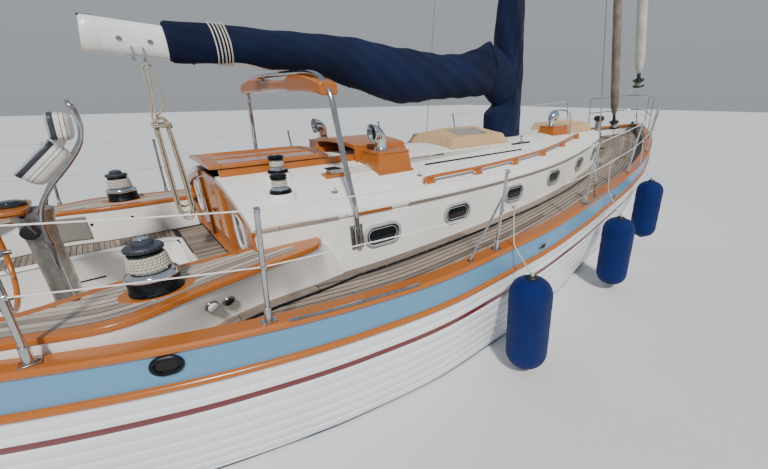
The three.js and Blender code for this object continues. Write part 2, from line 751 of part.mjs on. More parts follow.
// Rig
const oval = (x, z, halfLength, halfWidth, count = 12) =>
  Array.from({ length: count }, (_, i) => {
    const turn = (2 * Math.PI * i) / count;
    return new THREE.Vector3(x + halfLength * Math.cos(turn), halfWidth * Math.sin(turn), z);
  });

const mastSolid = (grow) => {
  const { x, length, width, foot, head } = MAST;
  return loft([foot, head].map((z) => oval(x, z, length / 2 + grow, width / 2 + grow)));
};

const buildMast = () => {
  const { x, length, head } = MAST;
  const spreaders = SPREADERS.map(([z, half]) => rod([x, -half, z], [x, half, z], 26));
  const crane = box(x - 220, x + 220, -30, 30, head - 60, head);
  const tang = box(x, x + length / 2 + 90, -12, 12, STAYSAIL.top, STAYSAIL.top + 40);
  const { x: pin, z } = GOOSENECK;
  const bracket = box(pin + 5, x, -18, 18, z - 30, z + 30);
  return join(mastSolid(0), spreaders, crane, tang, bracket);
};

const boomRing = (x, grow) => {
  const share = (GOOSENECK.x - x) / (GOOSENECK.x - BOOM.aft);
  const middle = GOOSENECK.z + share * (BOOM.aftZ - GOOSENECK.z);
  const nose = Math.min(1, 0.35 + (GOOSENECK.x - x) / 300);
  const half = new THREE.Vector2((BOOM.width / 2) * nose + grow, (BOOM.depth / 2) * nose + grow);
  return Array.from({ length: 12 }, (_, i) => {
    const turn = (2 * Math.PI * (i + 0.5)) / 12;
    return new THREE.Vector3(x, half.x * Math.cos(turn), middle + half.y * Math.sin(turn));
  });
};
const BOOM_STATIONS = [GOOSENECK.x - 16, GOOSENECK.x - 200, BOOM.aft];
const boomSolid = (grow) => loft(BOOM_STATIONS.map((x) => boomRing(x, grow)));

const buildBoomCover = () => {
  const ring = ([x, low, high, half]) => {
    const middle = (low + high) / 2;
    const tall = (high - low) / 2;
    return Array.from({ length: 12 }, (_, i) => {
      const turn = (2 * Math.PI * i) / 12;
      const lean = half * (1 - 0.35 * Math.max(0, Math.sin(turn)));
      return new THREE.Vector3(x, lean * Math.cos(turn), middle + tall * Math.sin(turn));
    });
  };
  return loft(BOOM_COVER.map(ring)).subtract(boomSolid(GAP));
};

const buildMastCover = () => {
  const { x, z } = GOOSENECK;
  const rings = MAST_COVER.map(([level, middle, length, width]) => oval(middle, level, length, width));
  const reach = MAST_COVER_CLEARANCE;
  const sweep = turned([[0, -130], [reach, -130], [reach, 130], [0, 130]], [x, 0, z], 20);
  const across = (level) => oval(MAST.x, level, MAST.length / 2 + GAP, MAST.width / 2 + GAP);
  const bore = loft([1000, 5000].map(across));
  return onRoof(loft(rings).subtract(bore).subtract(sweep));
};

// A sail furled round its stay: a drum, a tapering roll and the bare stay. Columns of shares: along, radius
const furled = ({ foot, drum, head, top, radius }) => {
  const [a, b] = [new THREE.Vector3(...foot), new THREE.Vector3(...head)];
  const at = (z) => a.clone().lerp(b, (z - a.z) / (b.z - a.z));
  const end = at(top - GAP - 12);
  const roll = [[drum + 90, 0.35], [drum + 300, 1], [top - 3000, 0.75], [top - 900, 0.3]];
  const across = new THREE.Vector3(0, 1, 0);
  const up = b.clone().sub(a).normalize().cross(across);
  const ring = ([z, share]) =>
    Array.from({ length: 10 }, (_, i) => {
      const turn = (2 * Math.PI * i) / 10;
      const place = at(z).addScaledVector(across, share * radius * Math.cos(turn));
      return place.addScaledVector(up, share * radius * Math.sin(turn));
    });
  const housing = rod(at(drum - 70).toArray(), at(drum + 70).toArray(), radius * 1.15, 12);
  return join(rod(foot, end.toArray(), 9, 6), loft(roll.map(ring)), housing);
};

// A wire through points, of level hexagonal sections
const stay = (points, radius) =>
  loft(
    points.map(([x, y, z]) =>
      Array.from({ length: 6 }, (_, i) => {
        const turn = (2 * Math.PI * i) / 6;
        return new THREE.Vector3(x + radius * Math.cos(turn), y + radius * Math.sin(turn), z);
      }),
    ),
  );

const buildShroud = () => {
  const { x, y } = CHAINPLATE;
  const base = deckAt(x, y) + TEAK_THICKNESS;
  const plate = box(x - 30, x + 30, y - 6, y + 6, base - 40, base + 110);
  const tips = SPREADERS.map(([z, half]) => [MAST.x - 20, half + 20, z]);
  const wire = stay([[x, y, base + 90], ...tips, [MAST.x - 20, 105, MAST.head - 90]], 7);
  return restOn(join(plate, wire), teakDeck, hull);
};

const buildBackstay = () => {
  const [x, z] = [-5890, sheerAt(-5890) + CAPRAIL.height];
  const plate = restOn(box(x - 25, x + 25, -8, 8, z - 20, z + 90), caprail);
  return join(plate, stay([[x, 0, z + 60], [MAST.x - 200, 0, MAST.head - 60 - GAP]], 7));
};

// Deck and roof gear
const taperedBox = (x0, x1, y0, y1, z0, z1, taper) => {
  const ring = (z, t) => [
    new THREE.Vector3(x0 + t, y0 + t, z),
    new THREE.Vector3(x1 - t, y0 + t, z),
    new THREE.Vector3(x1 - t, y1 - t, z),
    new THREE.Vector3(x0 + t, y1 - t, z),
  ];
  return loft([ring(z0, 0), ring(z1, taper)]);
};

const buildDorade = ([x, y, long, wide, top, cowlX]) => {
  const teakBox = taperedBox(x - long / 2, x + long / 2, y - wide / 2, y + wide / 2, 1200, top, 20);
  const pipe = rod([cowlX, y, top - 20], [cowlX, y, top + 130], 52, 12);
  const mouth = rod([cowlX - 20, y, top + 150], [cowlX + 90, y, top + 170], 78, 14);
  return onRoof(join(teakBox, pipe, mouth));
};

const buildHandrail = () => {
  const { posts, lift } = HANDRAIL;
  const first = posts[0];
  const tops = posts.map(([x, y]) => [x, y, roofAt(y) + lift]);
  const rails = tops.slice(1).map((place, i) => rod(tops[i], place, 17, 8));
  const feet = posts.map(([x, y]) => box(x - 30, x + 30, y - 14, y + 14, 1200, roofAt(y) + lift));
  return onRoof(join(rails, feet, rod(tops[0], [first[0] - 30, first[1], roofAt(first[1]) + lift], 17, 8)));
};

const capTop = (x) => sheerAt(x) + CAPRAIL.height;
// A stanchion stands square to the sheer and leans outboard
const LEAN = 0.15;
const railAt = (x, lift, side) => {
  const slope = (sheerAt(x + 50) - sheerAt(x - 50)) / 100;
  return [x - slope * lift, side * (beamAt(x) - 40 + LEAN * lift), capTop(x) + lift];
};

const buildLifelines = (side) => {
  const { stations, height, middle } = LIFELINE;
  const posts = stations.map((x) => {
    const [, y, z] = railAt(x, 0, side);
    const foot = box(x - 35, x + 35, y - 30, y + 30, z - 20, z + 12);
    return join(foot, rod([x, y, z], railAt(x, height, side), 12.5, 8));
  });
  const wires = [middle, height - 12].flatMap((lift) =>
    stations.slice(1).map((x, i) => rod(railAt(stations[i], lift, side), railAt(x, lift, side), 4, 6)),
  );
  return restOn(join(posts, wires), caprail);
};

// A rail round one end of the boat. Columns of the half plan: x, y, on posts where marked
const buildEndRail = (half, height) => {
  const top = ([x, y]) => [x, y, capTop(x) + height];
  const plan = [...half, ...half.slice(0, -1).reverse().map(([x, y, post]) => [x, -y, post])];
  const rail = tube(plan.map(top), 14, 8, 36);
  const marked = plan.filter(([, , post]) => post);
  const posts = marked.map(([x, y]) => rod([x, y, capTop(x) - 20], top([x, y]), 13, 8));
  return restOn(join(rail, posts), caprail);
};

const buildWindlass = () => {
  const { x, y, top } = WINDLASS;
  const base = box(x - 160, x + 160, y - 110, y + 110, 1000, deckAt(x, y) + 60);
  const tall = top - 1200;
  const profile = [[0, 0], [70, 0], [70, 200], [95, 230], [95, tall], [0, tall]];
  const drum = turned(profile, [x, y, 1200], 14);
  return restOn(join(base, drum), teakDeck, hull);
};

const buildFender = ([x, y, middle]) => {
  const { radius, length } = FENDER;
  const dome = [15, 40, 65, 90].map((angle) => {
    const turn = THREE.MathUtils.degToRad(angle);
    return [radius * Math.sin(turn), length / 2 - radius + radius * Math.cos(turn)];
  });
  const profile = [[0, length / 2 + 30], [25, length / 2 + 30], ...dome];
  const mirrored = profile.toReversed().map(([r, z]) => [r, -z]);
  return turned([...profile, ...mirrored].reverse(), [x, y, middle], 16);
};

const buildHank = () => {
  const { x, y, halfLength, halfWidth, low, high } = HANK;
  const straight = halfLength - halfWidth;
  const shape = new THREE.Shape();
  shape.absarc(straight, 0, halfWidth, -Math.PI / 2, Math.PI / 2);
  shape.absarc(-straight, 0, halfWidth, Math.PI / 2, 1.5 * Math.PI);
  const settings = { depth: high - low, bevelEnabled: false, curveSegments: 5 };
  const geometry = new THREE.ExtrudeGeometry(shape, settings);
  geometry.translate(x, y, low);
  return solid(geometry);
};

const yacht = new THREE.Group();
yacht.name = 'sailing_yacht';

const FINISHES = {
  topsides: { color: 0xe9ebee, roughness: 0.3, metalness: 0 },
  antifouling: { color: 0x2f4a6b, roughness: 0.8, metalness: 0 },
  varnished_teak: { color: 0xb5561c, roughness: 0.25, metalness: 0 },
  weathered_teak: { color: 0x8d7f74, roughness: 0.85, metalness: 0 },
  deck_paint: { color: 0xe8e2d6, roughness: 0.5, metalness: 0 },
  stainless: { color: 0xb9bec4, roughness: 0.25, metalness: 1 },
  winch_metal: { color: 0x3a3d42, roughness: 0.3, metalness: 1 },
  spar_paint: { color: 0xdfe3e6, roughness: 0.35, metalness: 0 },
  navy_canvas: { color: 0x17243d, roughness: 0.9, metalness: 0 },
  sailcloth: { color: 0xc9c9c4, roughness: 0.8, metalness: 0 },
  tan_canvas: { color: 0xcdb690, roughness: 0.9, metalness: 0 },
  white_plastic: { color: 0xf0efec, roughness: 0.4, metalness: 0 },
  fender_vinyl: { color: 0x1f5fae, roughness: 0.4, metalness: 0 },
  bronze: { color: 0x9a7338, roughness: 0.4, metalness: 1 },
  rope: { color: 0xb5a68c, roughness: 0.95, metalness: 0 },
  engine_paint: { color: 0x8a9299, roughness: 0.6, metalness: 0.3 },
};

const place = (name, body, finish) => {
  const material = new THREE.MeshStandardMaterial(FINISHES[finish]);
  const mesh = new THREE.Mesh(geometryOf(body), material);
  mesh.name = name;
  yacht.add(mesh);
};
// The port piece and its mirror image to starboard
const placePair = (name, port, finish) => {
  place(`${name}_port`, port, finish);
  place(`${name}_starboard`, mirrorY(port), finish);
};

place('hull_stern', hullBetween(-7000, HULL_JOINTS[0] - GAP), 'topsides');
place('hull_middle', hullBetween(HULL_JOINTS[0], HULL_JOINTS[1] - GAP), 'topsides');
place('hull_bow', hullBetween(HULL_JOINTS[1], 7000), 'topsides');
place('keel', buildKeel(), 'antifouling');
place('rudder', buildRudder(), 'antifouling');
place('propeller', buildPropeller(), 'bronze');
place('caprail', caprail, 'varnished_teak');
place('rub_rail', buildRubRail(), 'varnished_teak');
place('teak_deck', teakDeck, 'weathered_teak');

placePair('trunk_side', buildTrunkSide(), 'deck_paint');
place('trunk_front', buildTrunkFront(), 'deck_paint');
place('aft_bulkhead', buildAftBulkhead(), 'varnished_teak');
place('trunk_roof', buildTrunkRoof(), 'deck_paint');
place('hatch_rails', buildHatchRails(), 'varnished_teak');
place('sea_hood', buildSeaHood(), 'varnished_teak');
place('sliding_hatch', buildSlidingHatch(), 'varnished_teak');
placePair('door', buildDoor(), 'varnished_teak');

placePair('coaming', buildCoaming(), 'deck_paint');
placePair('coaming_cap', buildCoamingCap(), 'weathered_teak');
placePair('primary_winch', buildPrimaryWinch(), 'winch_metal');
ROOF_WINCHES.forEach(([name, x, y]) => place(name, buildRoofWinch(x, y), 'winch_metal'));
place('steering_pedestal', buildPedestal(), 'white_plastic');
place('steering_wheel', buildWheel(), 'varnished_teak');
place('pedestal_guard', buildGuard(), 'stainless');
place('instrument_pods', buildPods(), 'white_plastic');

place('gallows_tubes', buildGallowsTubes(), 'stainless');
place('gallows_beam', buildGallowsBeam(), 'varnished_teak');

place('mast', buildMast(), 'spar_paint');
place('mast_cover', buildMastCover(), 'navy_canvas');
place('boom', boomSolid(0), 'spar_paint');
place('boom_cover', buildBoomCover(), 'navy_canvas');
place('furled_genoa', furled(GENOA), 'sailcloth');
place('furled_staysail', restOn(furled(STAYSAIL), teakDeck, hull), 'sailcloth');
place('backstay', buildBackstay(), 'stainless');
placePair('cap_shroud', buildShroud(), 'stainless');

DORADES.forEach(([name, ...sizes]) => place(name, buildDorade(sizes), 'varnished_teak'));
place('skylight_cover', onRoof(taperedBox(...SKYLIGHT_COVER)), 'tan_canvas');
place('fore_hatch_cover', onRoof(taperedBox(...FORE_HATCH_COVER)), 'tan_canvas');
placePair('handrail', buildHandrail(), 'varnished_teak');
placePair('lifelines', buildLifelines(1), 'stainless');
place('pulpit', buildEndRail(PULPIT, LIFELINE.height), 'stainless');
place('pushpit', buildEndRail(PUSHPIT, LIFELINE.height), 'stainless');
place('windlass', buildWindlass(), 'winch_metal');
FENDERS.forEach(([name, ...at]) => place(name, buildFender(at), 'fender_vinyl'));
place('rope_hank', buildHank(), 'rope');
place('engine_block', box(...ENGINE), 'engine_paint');

export default yacht;
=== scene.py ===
import logging
import math
import random
from collections.abc import Callable, Sequence
from dataclasses import dataclass
from enum import Enum
from typing import Any

import bpy
import numpy as np
from mathutils import Matrix, Vector


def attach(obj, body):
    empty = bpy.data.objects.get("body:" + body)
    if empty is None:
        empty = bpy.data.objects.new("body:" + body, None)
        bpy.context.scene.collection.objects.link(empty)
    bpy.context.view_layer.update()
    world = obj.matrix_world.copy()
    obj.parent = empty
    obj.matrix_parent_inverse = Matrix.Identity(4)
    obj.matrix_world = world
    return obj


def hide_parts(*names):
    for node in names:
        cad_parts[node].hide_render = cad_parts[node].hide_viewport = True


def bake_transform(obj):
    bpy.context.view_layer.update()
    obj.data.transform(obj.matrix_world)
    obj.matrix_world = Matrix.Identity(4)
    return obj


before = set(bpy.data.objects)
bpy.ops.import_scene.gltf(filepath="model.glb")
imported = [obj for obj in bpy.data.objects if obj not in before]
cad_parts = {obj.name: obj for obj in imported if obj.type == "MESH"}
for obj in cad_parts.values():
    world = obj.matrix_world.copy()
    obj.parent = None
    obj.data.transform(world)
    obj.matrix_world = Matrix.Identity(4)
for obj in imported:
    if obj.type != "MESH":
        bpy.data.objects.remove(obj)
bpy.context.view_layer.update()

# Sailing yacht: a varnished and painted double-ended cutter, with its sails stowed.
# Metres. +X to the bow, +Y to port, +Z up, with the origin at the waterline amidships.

Point = Sequence[float]
log = logging.getLogger("yacht")
logging.basicConfig(level=logging.INFO, format="%(message)s")

MM = 0.001
SEED = 7
SMOOTH_ANGLE = math.radians(38)

# Measures that several pieces share, in metres
BULWARK = 0.07  # thickness of the bulwark
CAP_HEIGHT = 0.042  # top of the caprail above the sheer
TEAK_TOP = 0.0125  # top of the laid deck above the structural deck
CLOTH_THICK = 0.003  # thickness of a cloth cover
PROUD = 0.0005  # gap that keeps touching faces apart
LASHING = 0.0055  # radius of the thin line used for lashings
BOARD_MAP = 0.9  # width of the map that one board may fill, in the row of boards one apart


# Finishes


def colour(code: str) -> tuple[float, float, float, float]:
    """Turns an sRGB hex value to a linear colour.

    Args:
        code: Six hex digits.

    Returns:
        Linear red, green, blue and an alpha of 1.
    """
    parts = [int(code[i : i + 2], 16) / 255 for i in (0, 2, 4)]
    linear = [c / 12.92 if c <= 0.04045 else ((c + 0.055) / 1.055) ** 2.4 for c in parts]
    return (linear[0], linear[1], linear[2], 1.0)


def add(
    tree: bpy.types.NodeTree,
    kind: str,
    links: dict[Any, Any] | None = None,
    stops: Sequence[tuple[float, Any]] = (),
    **settings: Any,
) -> bpy.types.Node:
    """Adds a node with its settings and links.

    Args:
        tree: The node tree that gets the node.
        kind: The node's type.
        links: A socket to link or a value to set, by input.
        stops: A colour ramp's places and colours.
        **settings: Properties of the node.

    Returns:
        The new node.
    """
    node = tree.nodes.new(kind)
    for name, value in settings.items():
        setattr(node, name, value)
    for key, value in (links or {}).items():
        if isinstance(value, bpy.types.NodeSocket):
            tree.links.new(value, node.inputs[key])
        else:
            node.inputs[key].default_value = value
    for i, (place, value) in enumerate(stops):
        if i >= len(node.color_ramp.elements):
            node.color_ramp.elements.new(place)
        node.color_ramp.elements[i].position = place
        node.color_ramp.elements[i].color = value
    return node


class Axis(Enum):
    """The direction that a grain runs in: along each board by the piece's map, or along one axis."""

    BOARD = (1.0, 22.0, 1.0)
    X = (1.0, 22.0, 22.0)
    Z = (22.0, 22.0, 1.001)


@dataclass(frozen=True)
class Finish:
    """A plain even surface, with a faint change of tone.

    Attributes:
        name: The material's name.
        base: Its colour in sRGB hex.
        rough: Roughness.
        metal: Metallic, 0 or 1.
        coat: Weight of a clear coat.
        shade: A second colour that shows in soft patches.
        patch: Size of those patches in metres.
        bump: Height of the surface's unevenness in metres.
    """

    name: str
    base: str
    rough: float = 0.4
    metal: float = 0.0
    coat: float = 0.0
    shade: str = ""
    patch: float = 0.25
    bump: float = 0.0

    def paint(self, tree: bpy.types.NodeTree, shader: bpy.types.Node, place: bpy.types.NodeSocket) -> None:
        """Adds soft patches of the second colour and a slight unevenness.

        Args:
            tree: The material's node tree.
            shader: The surface shader that it dresses.
            place: The socket with the place in metres.
        """
        links = {"Vector": place, "Scale": 1 / self.patch, "Detail": 5.0, "Roughness": 0.6}
        noise = add(tree, "ShaderNodeTexNoise", links).outputs["Fac"]
        second = colour(self.shade or self.base)
        stops = [(0.35, colour(self.base)), (0.75, second)]
        ramp = add(tree, "ShaderNodeValToRGB", {"Fac": noise}, stops)
        tree.links.new(ramp.outputs["Color"], shader.inputs["Base Color"])
        if self.bump:
            fine = add(tree, "ShaderNodeTexNoise", {"Vector": place, "Scale": 160.0, "Detail": 2.0})
            self.raise_by(tree, shader, fine.outputs["Fac"], self.bump)

    def raise_by(self, tree: bpy.types.NodeTree, shader: bpy.types.Node, height: Any, deep: float) -> None:
        """Roughens the shader's surface.

        Args:
            tree: The material's node tree.
            shader: The surface shader.
            height: The socket with the height pattern, from 0 to 1.
            deep: Height of the pattern in metres.
        """
        links = {"Height": height, "Distance": deep, "Strength": 1.0}
        bump = add(tree, "ShaderNodeBump", links)
        tree.links.new(bump.outputs["Normal"], shader.inputs["Normal"])

    def material(self) -> bpy.types.Material:
        """Gives the finish's material, made the first time that it is asked for.

        Returns:
            The material.
        """
        found = bpy.data.materials.get(self.name)
        if found:
            return found
        made = bpy.data.materials.new(self.name)
        made.use_nodes = True
        tree = made.node_tree
        tree.nodes.clear()
        links = {"Base Color": colour(self.base), "Roughness": self.rough, "Metallic": self.metal}
        links |= {"Coat Weight": self.coat, "Coat Roughness": 0.06}
        shader = add(tree, "ShaderNodeBsdfPrincipled", links)
        self.paint(tree, shader, add(tree, "ShaderNodeTexCoord").outputs["Object"])
        add(tree, "ShaderNodeOutputMaterial", {"Surface": shader.outputs["BSDF"]})
        return made


@dataclass(frozen=True)
class HullEnamel(Finish):
    """Brushed yacht enamel: a blue strake, a red line and antifouling on white, by height below the sheer.

    Attributes:
        strake: Colour of the broad band along the sheer.
        line: Colour of the narrow line below it.
        under: Colour below the waterline.
        strake_depth: Lower edge of the broad band below the sheer.
        line_depths: Upper and lower edge of the narrow line below the sheer.
        boot: Height of the waterline's edge.
    """

    strake: str = "6496ba"
    line: str = "6c000a"
    under: str = "2b3a52"
    strake_depth: float = 0.192
    line_depths: tuple[float, float] = (0.361, 0.407)
    boot: float = 0.02

    def paint(self, tree: bpy.types.NodeTree, shader: bpy.types.Node, place: bpy.types.NodeSocket) -> None:
        """Bands of colour read from the piece's own map, which holds metres below the sheer.

        Args:
            tree: The material's node tree.
            shader: The surface shader that it dresses.
            place: The socket with the place in metres.
        """
        below = add(tree, "ShaderNodeSeparateXYZ", {"Vector": add(tree, "ShaderNodeUVMap").outputs["UV"]}).outputs["Y"]
        height = add(tree, "ShaderNodeSeparateXYZ", {"Vector": place}).outputs["Z"]
        streak = add(tree, "ShaderNodeMapping", {"Vector": place, "Scale": (1.2, 1.2, 0.35)}).outputs["Vector"]
        noise = add(tree, "ShaderNodeTexNoise", {"Vector": streak, "Scale": 2.5, "Detail": 6.0}).outputs["Fac"]
        white = add(tree, "ShaderNodeValToRGB", {"Fac": noise}, [(0.3, colour(self.base)), (0.8, colour(self.shade))])
        result = white.outputs["Color"]
        bands = [
            (below, -self.strake_depth, 1.0, self.strake),
            (below, -self.line_depths[1], -self.line_depths[0], self.line),
            (height, -9.0, self.boot, self.under),
        ]
        for value, low, high, code in bands:
            above = add(tree, "ShaderNodeMath", {0: value, 1: low}, operation="GREATER_THAN").outputs[0]
            beneath = add(tree, "ShaderNodeMath", {0: value, 1: high}, operation="LESS_THAN").outputs[0]
            inside = add(tree, "ShaderNodeMath", {0: above, 1: beneath}, operation="MULTIPLY").outputs[0]
            tone = add(tree, "ShaderNodeMix", {0: 0.005, 6: colour(code), 7: result}, data_type="RGBA").outputs[2]
            result = add(tree, "ShaderNodeMix", {0: inside, 6: result, 7: tone}, data_type="RGBA").outputs[2]
        tree.links.new(result, shader.inputs["Base Color"])


@dataclass(frozen=True)
class Wood(Finish):
    """Sawn teak, its grain along one axis: figure, fine pores and, where varnished, a clear gloss coat.

    Attributes:
        axis: The direction of the grain.
        pores: How strongly the dark pores show.
        spread: How much lighter or darker one board is than the next.
    """

    axis: Axis = Axis.BOARD
    pores: float = 0.5
    spread: float = 0.35

    def paint(self, tree: bpy.types.NodeTree, shader: bpy.types.Node, place: bpy.types.NodeSocket) -> None:
        """Stretches two noises along the grain: broad figure, and pores about 1 mm wide drawn at 3 mm.

        Args:
            tree: The material's node tree.
            shader: The surface shader that it dresses.
            place: The socket with the place in metres.
        """
        if self.axis is Axis.BOARD:
            place = add(tree, "ShaderNodeUVMap").outputs["UV"]
        stretched = add(tree, "ShaderNodeMapping", {"Vector": place, "Scale": self.axis.value}).outputs["Vector"]
        figure = add(tree, "ShaderNodeTexNoise", {"Vector": stretched, "Scale": 2.2, "Detail": 5.0, "Distortion": 0.8})
        stops = [(0.36, colour(self.shade)), (0.52, colour(self.base)), (0.72, colour(self.shade))]
        ramp = add(tree, "ShaderNodeValToRGB", {"Fac": figure.outputs["Fac"]}, stops)
        fine = add(tree, "ShaderNodeTexNoise", {"Vector": stretched, "Scale": 14.0, "Detail": 3.0}).outputs["Fac"]
        dark = add(tree, "ShaderNodeMapRange", {"Value": fine, "From Min": 0.5, "From Max": 0.75, "To Max": self.pores})
        links = {0: dark.outputs["Result"], 6: ramp.outputs["Color"], 7: colour("2a1408")}
        mixed = add(tree, "ShaderNodeMix", links, data_type="RGBA").outputs[2]
        number = add(tree, "ShaderNodeSeparateXYZ", {"Vector": place}).outputs["Y"]
        whole = add(tree, "ShaderNodeMath", {0: number}, operation="FLOOR").outputs[0]
        chance = add(tree, "ShaderNodeTexWhiteNoise", {"W": whole}, noise_dimensions="1D").outputs["Value"]
        links = {"Value": chance, "To Min": 1 - self.spread, "To Max": 1 + self.spread}
        tone = add(tree, "ShaderNodeMapRange", links).outputs["Result"]
        toned = add(tree, "ShaderNodeHueSaturation", {"Color": mixed, "Value": tone}).outputs["Color"]
        tree.links.new(toned if self.axis is Axis.BOARD else mixed, shader.inputs["Base Color"])
        self.raise_by(tree, shader, fine, self.bump or 0.0004)


@dataclass(frozen=True)
class Cloth(Finish):
    """Woven canvas or sailcloth: two sets of threads, faded patches and a soft sheen.

    Attributes:
        thread: Distance between the threads in metres, drawn coarser than the real 1 mm so that it shows.
    """

    thread: float = 0.004

    def paint(self, tree: bpy.types.NodeTree, shader: bpy.types.Node, place: bpy.types.NodeSocket) -> None:
        """Fades the colour in patches and raises the threads as two crossed waves.

        Args:
            tree: The material's node tree.
            shader: The surface shader that it dresses.
            place: The socket with the place in metres.
        """
        shader.inputs["Sheen Weight"].default_value = 0.05
        shader.inputs["Specular IOR Level"].default_value = 0.2
        shader.inputs["Sheen Roughness"].default_value = 0.5
        noise = add(tree, "ShaderNodeTexNoise", {"Vector": place, "Scale": 1 / self.patch, "Detail": 6.0})
        stops = [(0.35, colour(self.base)), (0.7, colour(self.shade or self.base))]
        ramp = add(tree, "ShaderNodeValToRGB", {"Fac": noise.outputs["Fac"]}, stops)
        tree.links.new(ramp.outputs["Color"], shader.inputs["Base Color"])
        scale = math.tau / 20 / self.thread
        waves = [
            add(tree, "ShaderNodeTexWave", {"Vector": place, "Scale": scale}, bands_direction=axis).outputs["Fac"]
            for axis in ("X", "Z")
        ]
        weave = add(tree, "ShaderNodeMath", {0: waves[0], 1: waves[1]}, operation="ADD").outputs[0]
        self.raise_by(tree, shader, weave, 0.0006)


@dataclass(frozen=True)
class Rope(Finish):
    """Braided or laid rope: light and dark strands that wind round it.

    Attributes:
        pitch: Length of one strand's turn in metres.
    """

    pitch: float = 0.03

    def paint(self, tree: bpy.types.NodeTree, shader: bpy.types.Node, place: bpy.types.NodeSocket) -> None:
        """Slanting bands on the piece's own map: metres along it, metres round it.

        Args:
            tree: The material's node tree.
            shader: The surface shader that it dresses.
            place: The socket with the place in metres.
        """
        chart = add(tree, "ShaderNodeUVMap").outputs["UV"]
        turned = add(tree, "ShaderNodeMapping", {"Vector": chart, "Rotation": (0.0, 0.0, math.radians(38))})
        links = {"Vector": turned.outputs["Vector"], "Scale": math.tau / 20 / self.pitch * 2, "Distortion": 0.4}
        wave = add(tree, "ShaderNodeTexWave", links).outputs["Fac"]
        noise = add(tree, "ShaderNodeTexNoise", {"Vector": place, "Scale": 14.0, "Detail": 3.0}).outputs["Fac"]
        mixed = add(tree, "ShaderNodeMath", {0: wave, 1: noise}, operation="MULTIPLY").outputs[0]
        stops = [(0.05, colour(self.shade)), (0.45, colour(self.base))]
        ramp = add(tree, "ShaderNodeValToRGB", {"Fac": mixed}, stops)
        tree.links.new(ramp.outputs["Color"], shader.inputs["Base Color"])
        self.raise_by(tree, shader, wave, 0.0015)


@dataclass(frozen=True)
class Metal(Finish):
    """Polished or brushed metal, with smudges that change its gloss."""

    def paint(self, tree: bpy.types.NodeTree, shader: bpy.types.Node, place: bpy.types.NodeSocket) -> None:
        """Lets water marks of a few centimetres dull the polish.

        Args:
            tree: The material's node tree.
            shader: The surface shader that it dresses.
            place: The socket with the place in metres.
        """
        noise = add(tree, "ShaderNodeTexNoise", {"Vector": place, "Scale": 1 / self.patch, "Detail": 6.0})
        links = {"Value": noise.outputs["Fac"], "From Min": 0.3, "From Max": 0.8}
        links |= {"To Min": self.rough * 0.7, "To Max": self.rough * 1.8}
        gloss = add(tree, "ShaderNodeMapRange", links)
        tree.links.new(gloss.outputs["Result"], shader.inputs["Roughness"])
        stops = [(0.35, colour(self.base)), (0.8, colour(self.shade or self.base))]
        ramp = add(tree, "ShaderNodeValToRGB", {"Fac": noise.outputs["Fac"]}, stops)
        tree.links.new(ramp.outputs["Color"], shader.inputs["Base Color"])


# Brushed gloss enamel on the topsides: clean and bright, with faint vertical rain streaks
TOPSIDES = HullEnamel("gloss_enamel_topsides", "f7f8fa", rough=0.35, coat=0.1, shade="e9ecf1")
# Cream-white gelcoat: soft sheen, slightly chalky patches
GELCOAT = Finish("white_gelcoat", "f8f7f4", rough=0.38, coat=0.1, shade="ebe8e2", patch=0.6, bump=0.00015)
CREAM = Finish("cream_gelcoat", "faf8f5", rough=0.4, coat=0.1, shade="efece7", patch=0.5, bump=0.00015)
# Enamel inside the bulwarks: clean, a little greyer than the topsides
BULWARK_WHITE = Finish("white_enamel_bulwark", "efeeec", rough=0.35, shade="dcd9d4", patch=0.4)
# Varnished teak: orange-brown under a glossy clear coat
VARNISH = Wood("varnished_teak", "9c3f08", rough=0.32, coat=0.3, shade="3f1602", pores=0.75, spread=0.22)
VARNISH_LIGHT = Wood("pale_varnished_slats", "dba878", rough=0.4, coat=0.3, shade="b37a45", spread=0.12, pores=0.2)
# Bare teak bleached by sun: grey, dry, with open grain
TEAK_GREY = Wood("weathered_teak_deck", "9f9184", rough=0.85, shade="75685c", pores=0.45, bump=0.0008)
TEAK_PALE = Wood("weathered_teak_cap", "bdb0a4", rough=0.8, shade="978a7f", pores=0.35, bump=0.0006)
TEAK_DARK = Wood("weathered_teak_margin", "94867a", rough=0.85, shade="71645a", pores=0.4, bump=0.0008)
# Rubber in the seams: near black and dull. The same black also serves as painted shade in holes, vents, slots, the
# cowls' throats and behind the louvres
CAULK_AND_SHADE = Finish("rubber_caulking_and_painted_shade", "0c0c0d", rough=0.7, shade="161515", patch=0.1)
# Metals: bright tube and chrome with small water marks, duller castings, brown bronze
STAINLESS = Metal("polished_stainless", "c9ccd0", rough=0.14, metal=1.0, shade="a7a59f", patch=0.08)
CHROME = Metal("chromed_bronze", "dfe2e6", rough=0.07, metal=1.0, shade="c4c8cc", patch=0.05)
DULL_METAL = Metal("cast_aluminium", "c2c2be", rough=0.4, metal=1.0, shade="8f8d88", patch=0.06)
BLACK_METAL = Metal("black_anodised_drum", "26282c", rough=0.35, metal=1.0, shade="3a3d42", patch=0.04)
BRONZE = Metal("cast_bronze", "a2793c", rough=0.35, metal=1.0, shade="6f5a33", patch=0.05)
# Moulded plastics: even, with a soft sheen
BLACK_PLASTIC = Finish("black_nylon", "17181b", rough=0.45, shade="26282c", patch=0.08)
GREY_PLASTIC = Finish("blue_grey_nylon", "3a404c", rough=0.45, shade="2b3039", patch=0.08)
WHITE_PLASTIC = Finish("white_moulded_plastic", "f0eeea", rough=0.35, coat=0.2, shade="dedad3", patch=0.15)
# Sprayed spar paint: clean and glossy; the locker's lid is brushed and dull
SPAR_WHITE = Finish("white_spar_enamel", "eef0f1", rough=0.28, coat=0.4, shade="dcdddb", patch=0.5)
GREY_PAINT = Finish("grey_locker_paint", "8d8984", rough=0.5, shade="7a756f", patch=0.3)
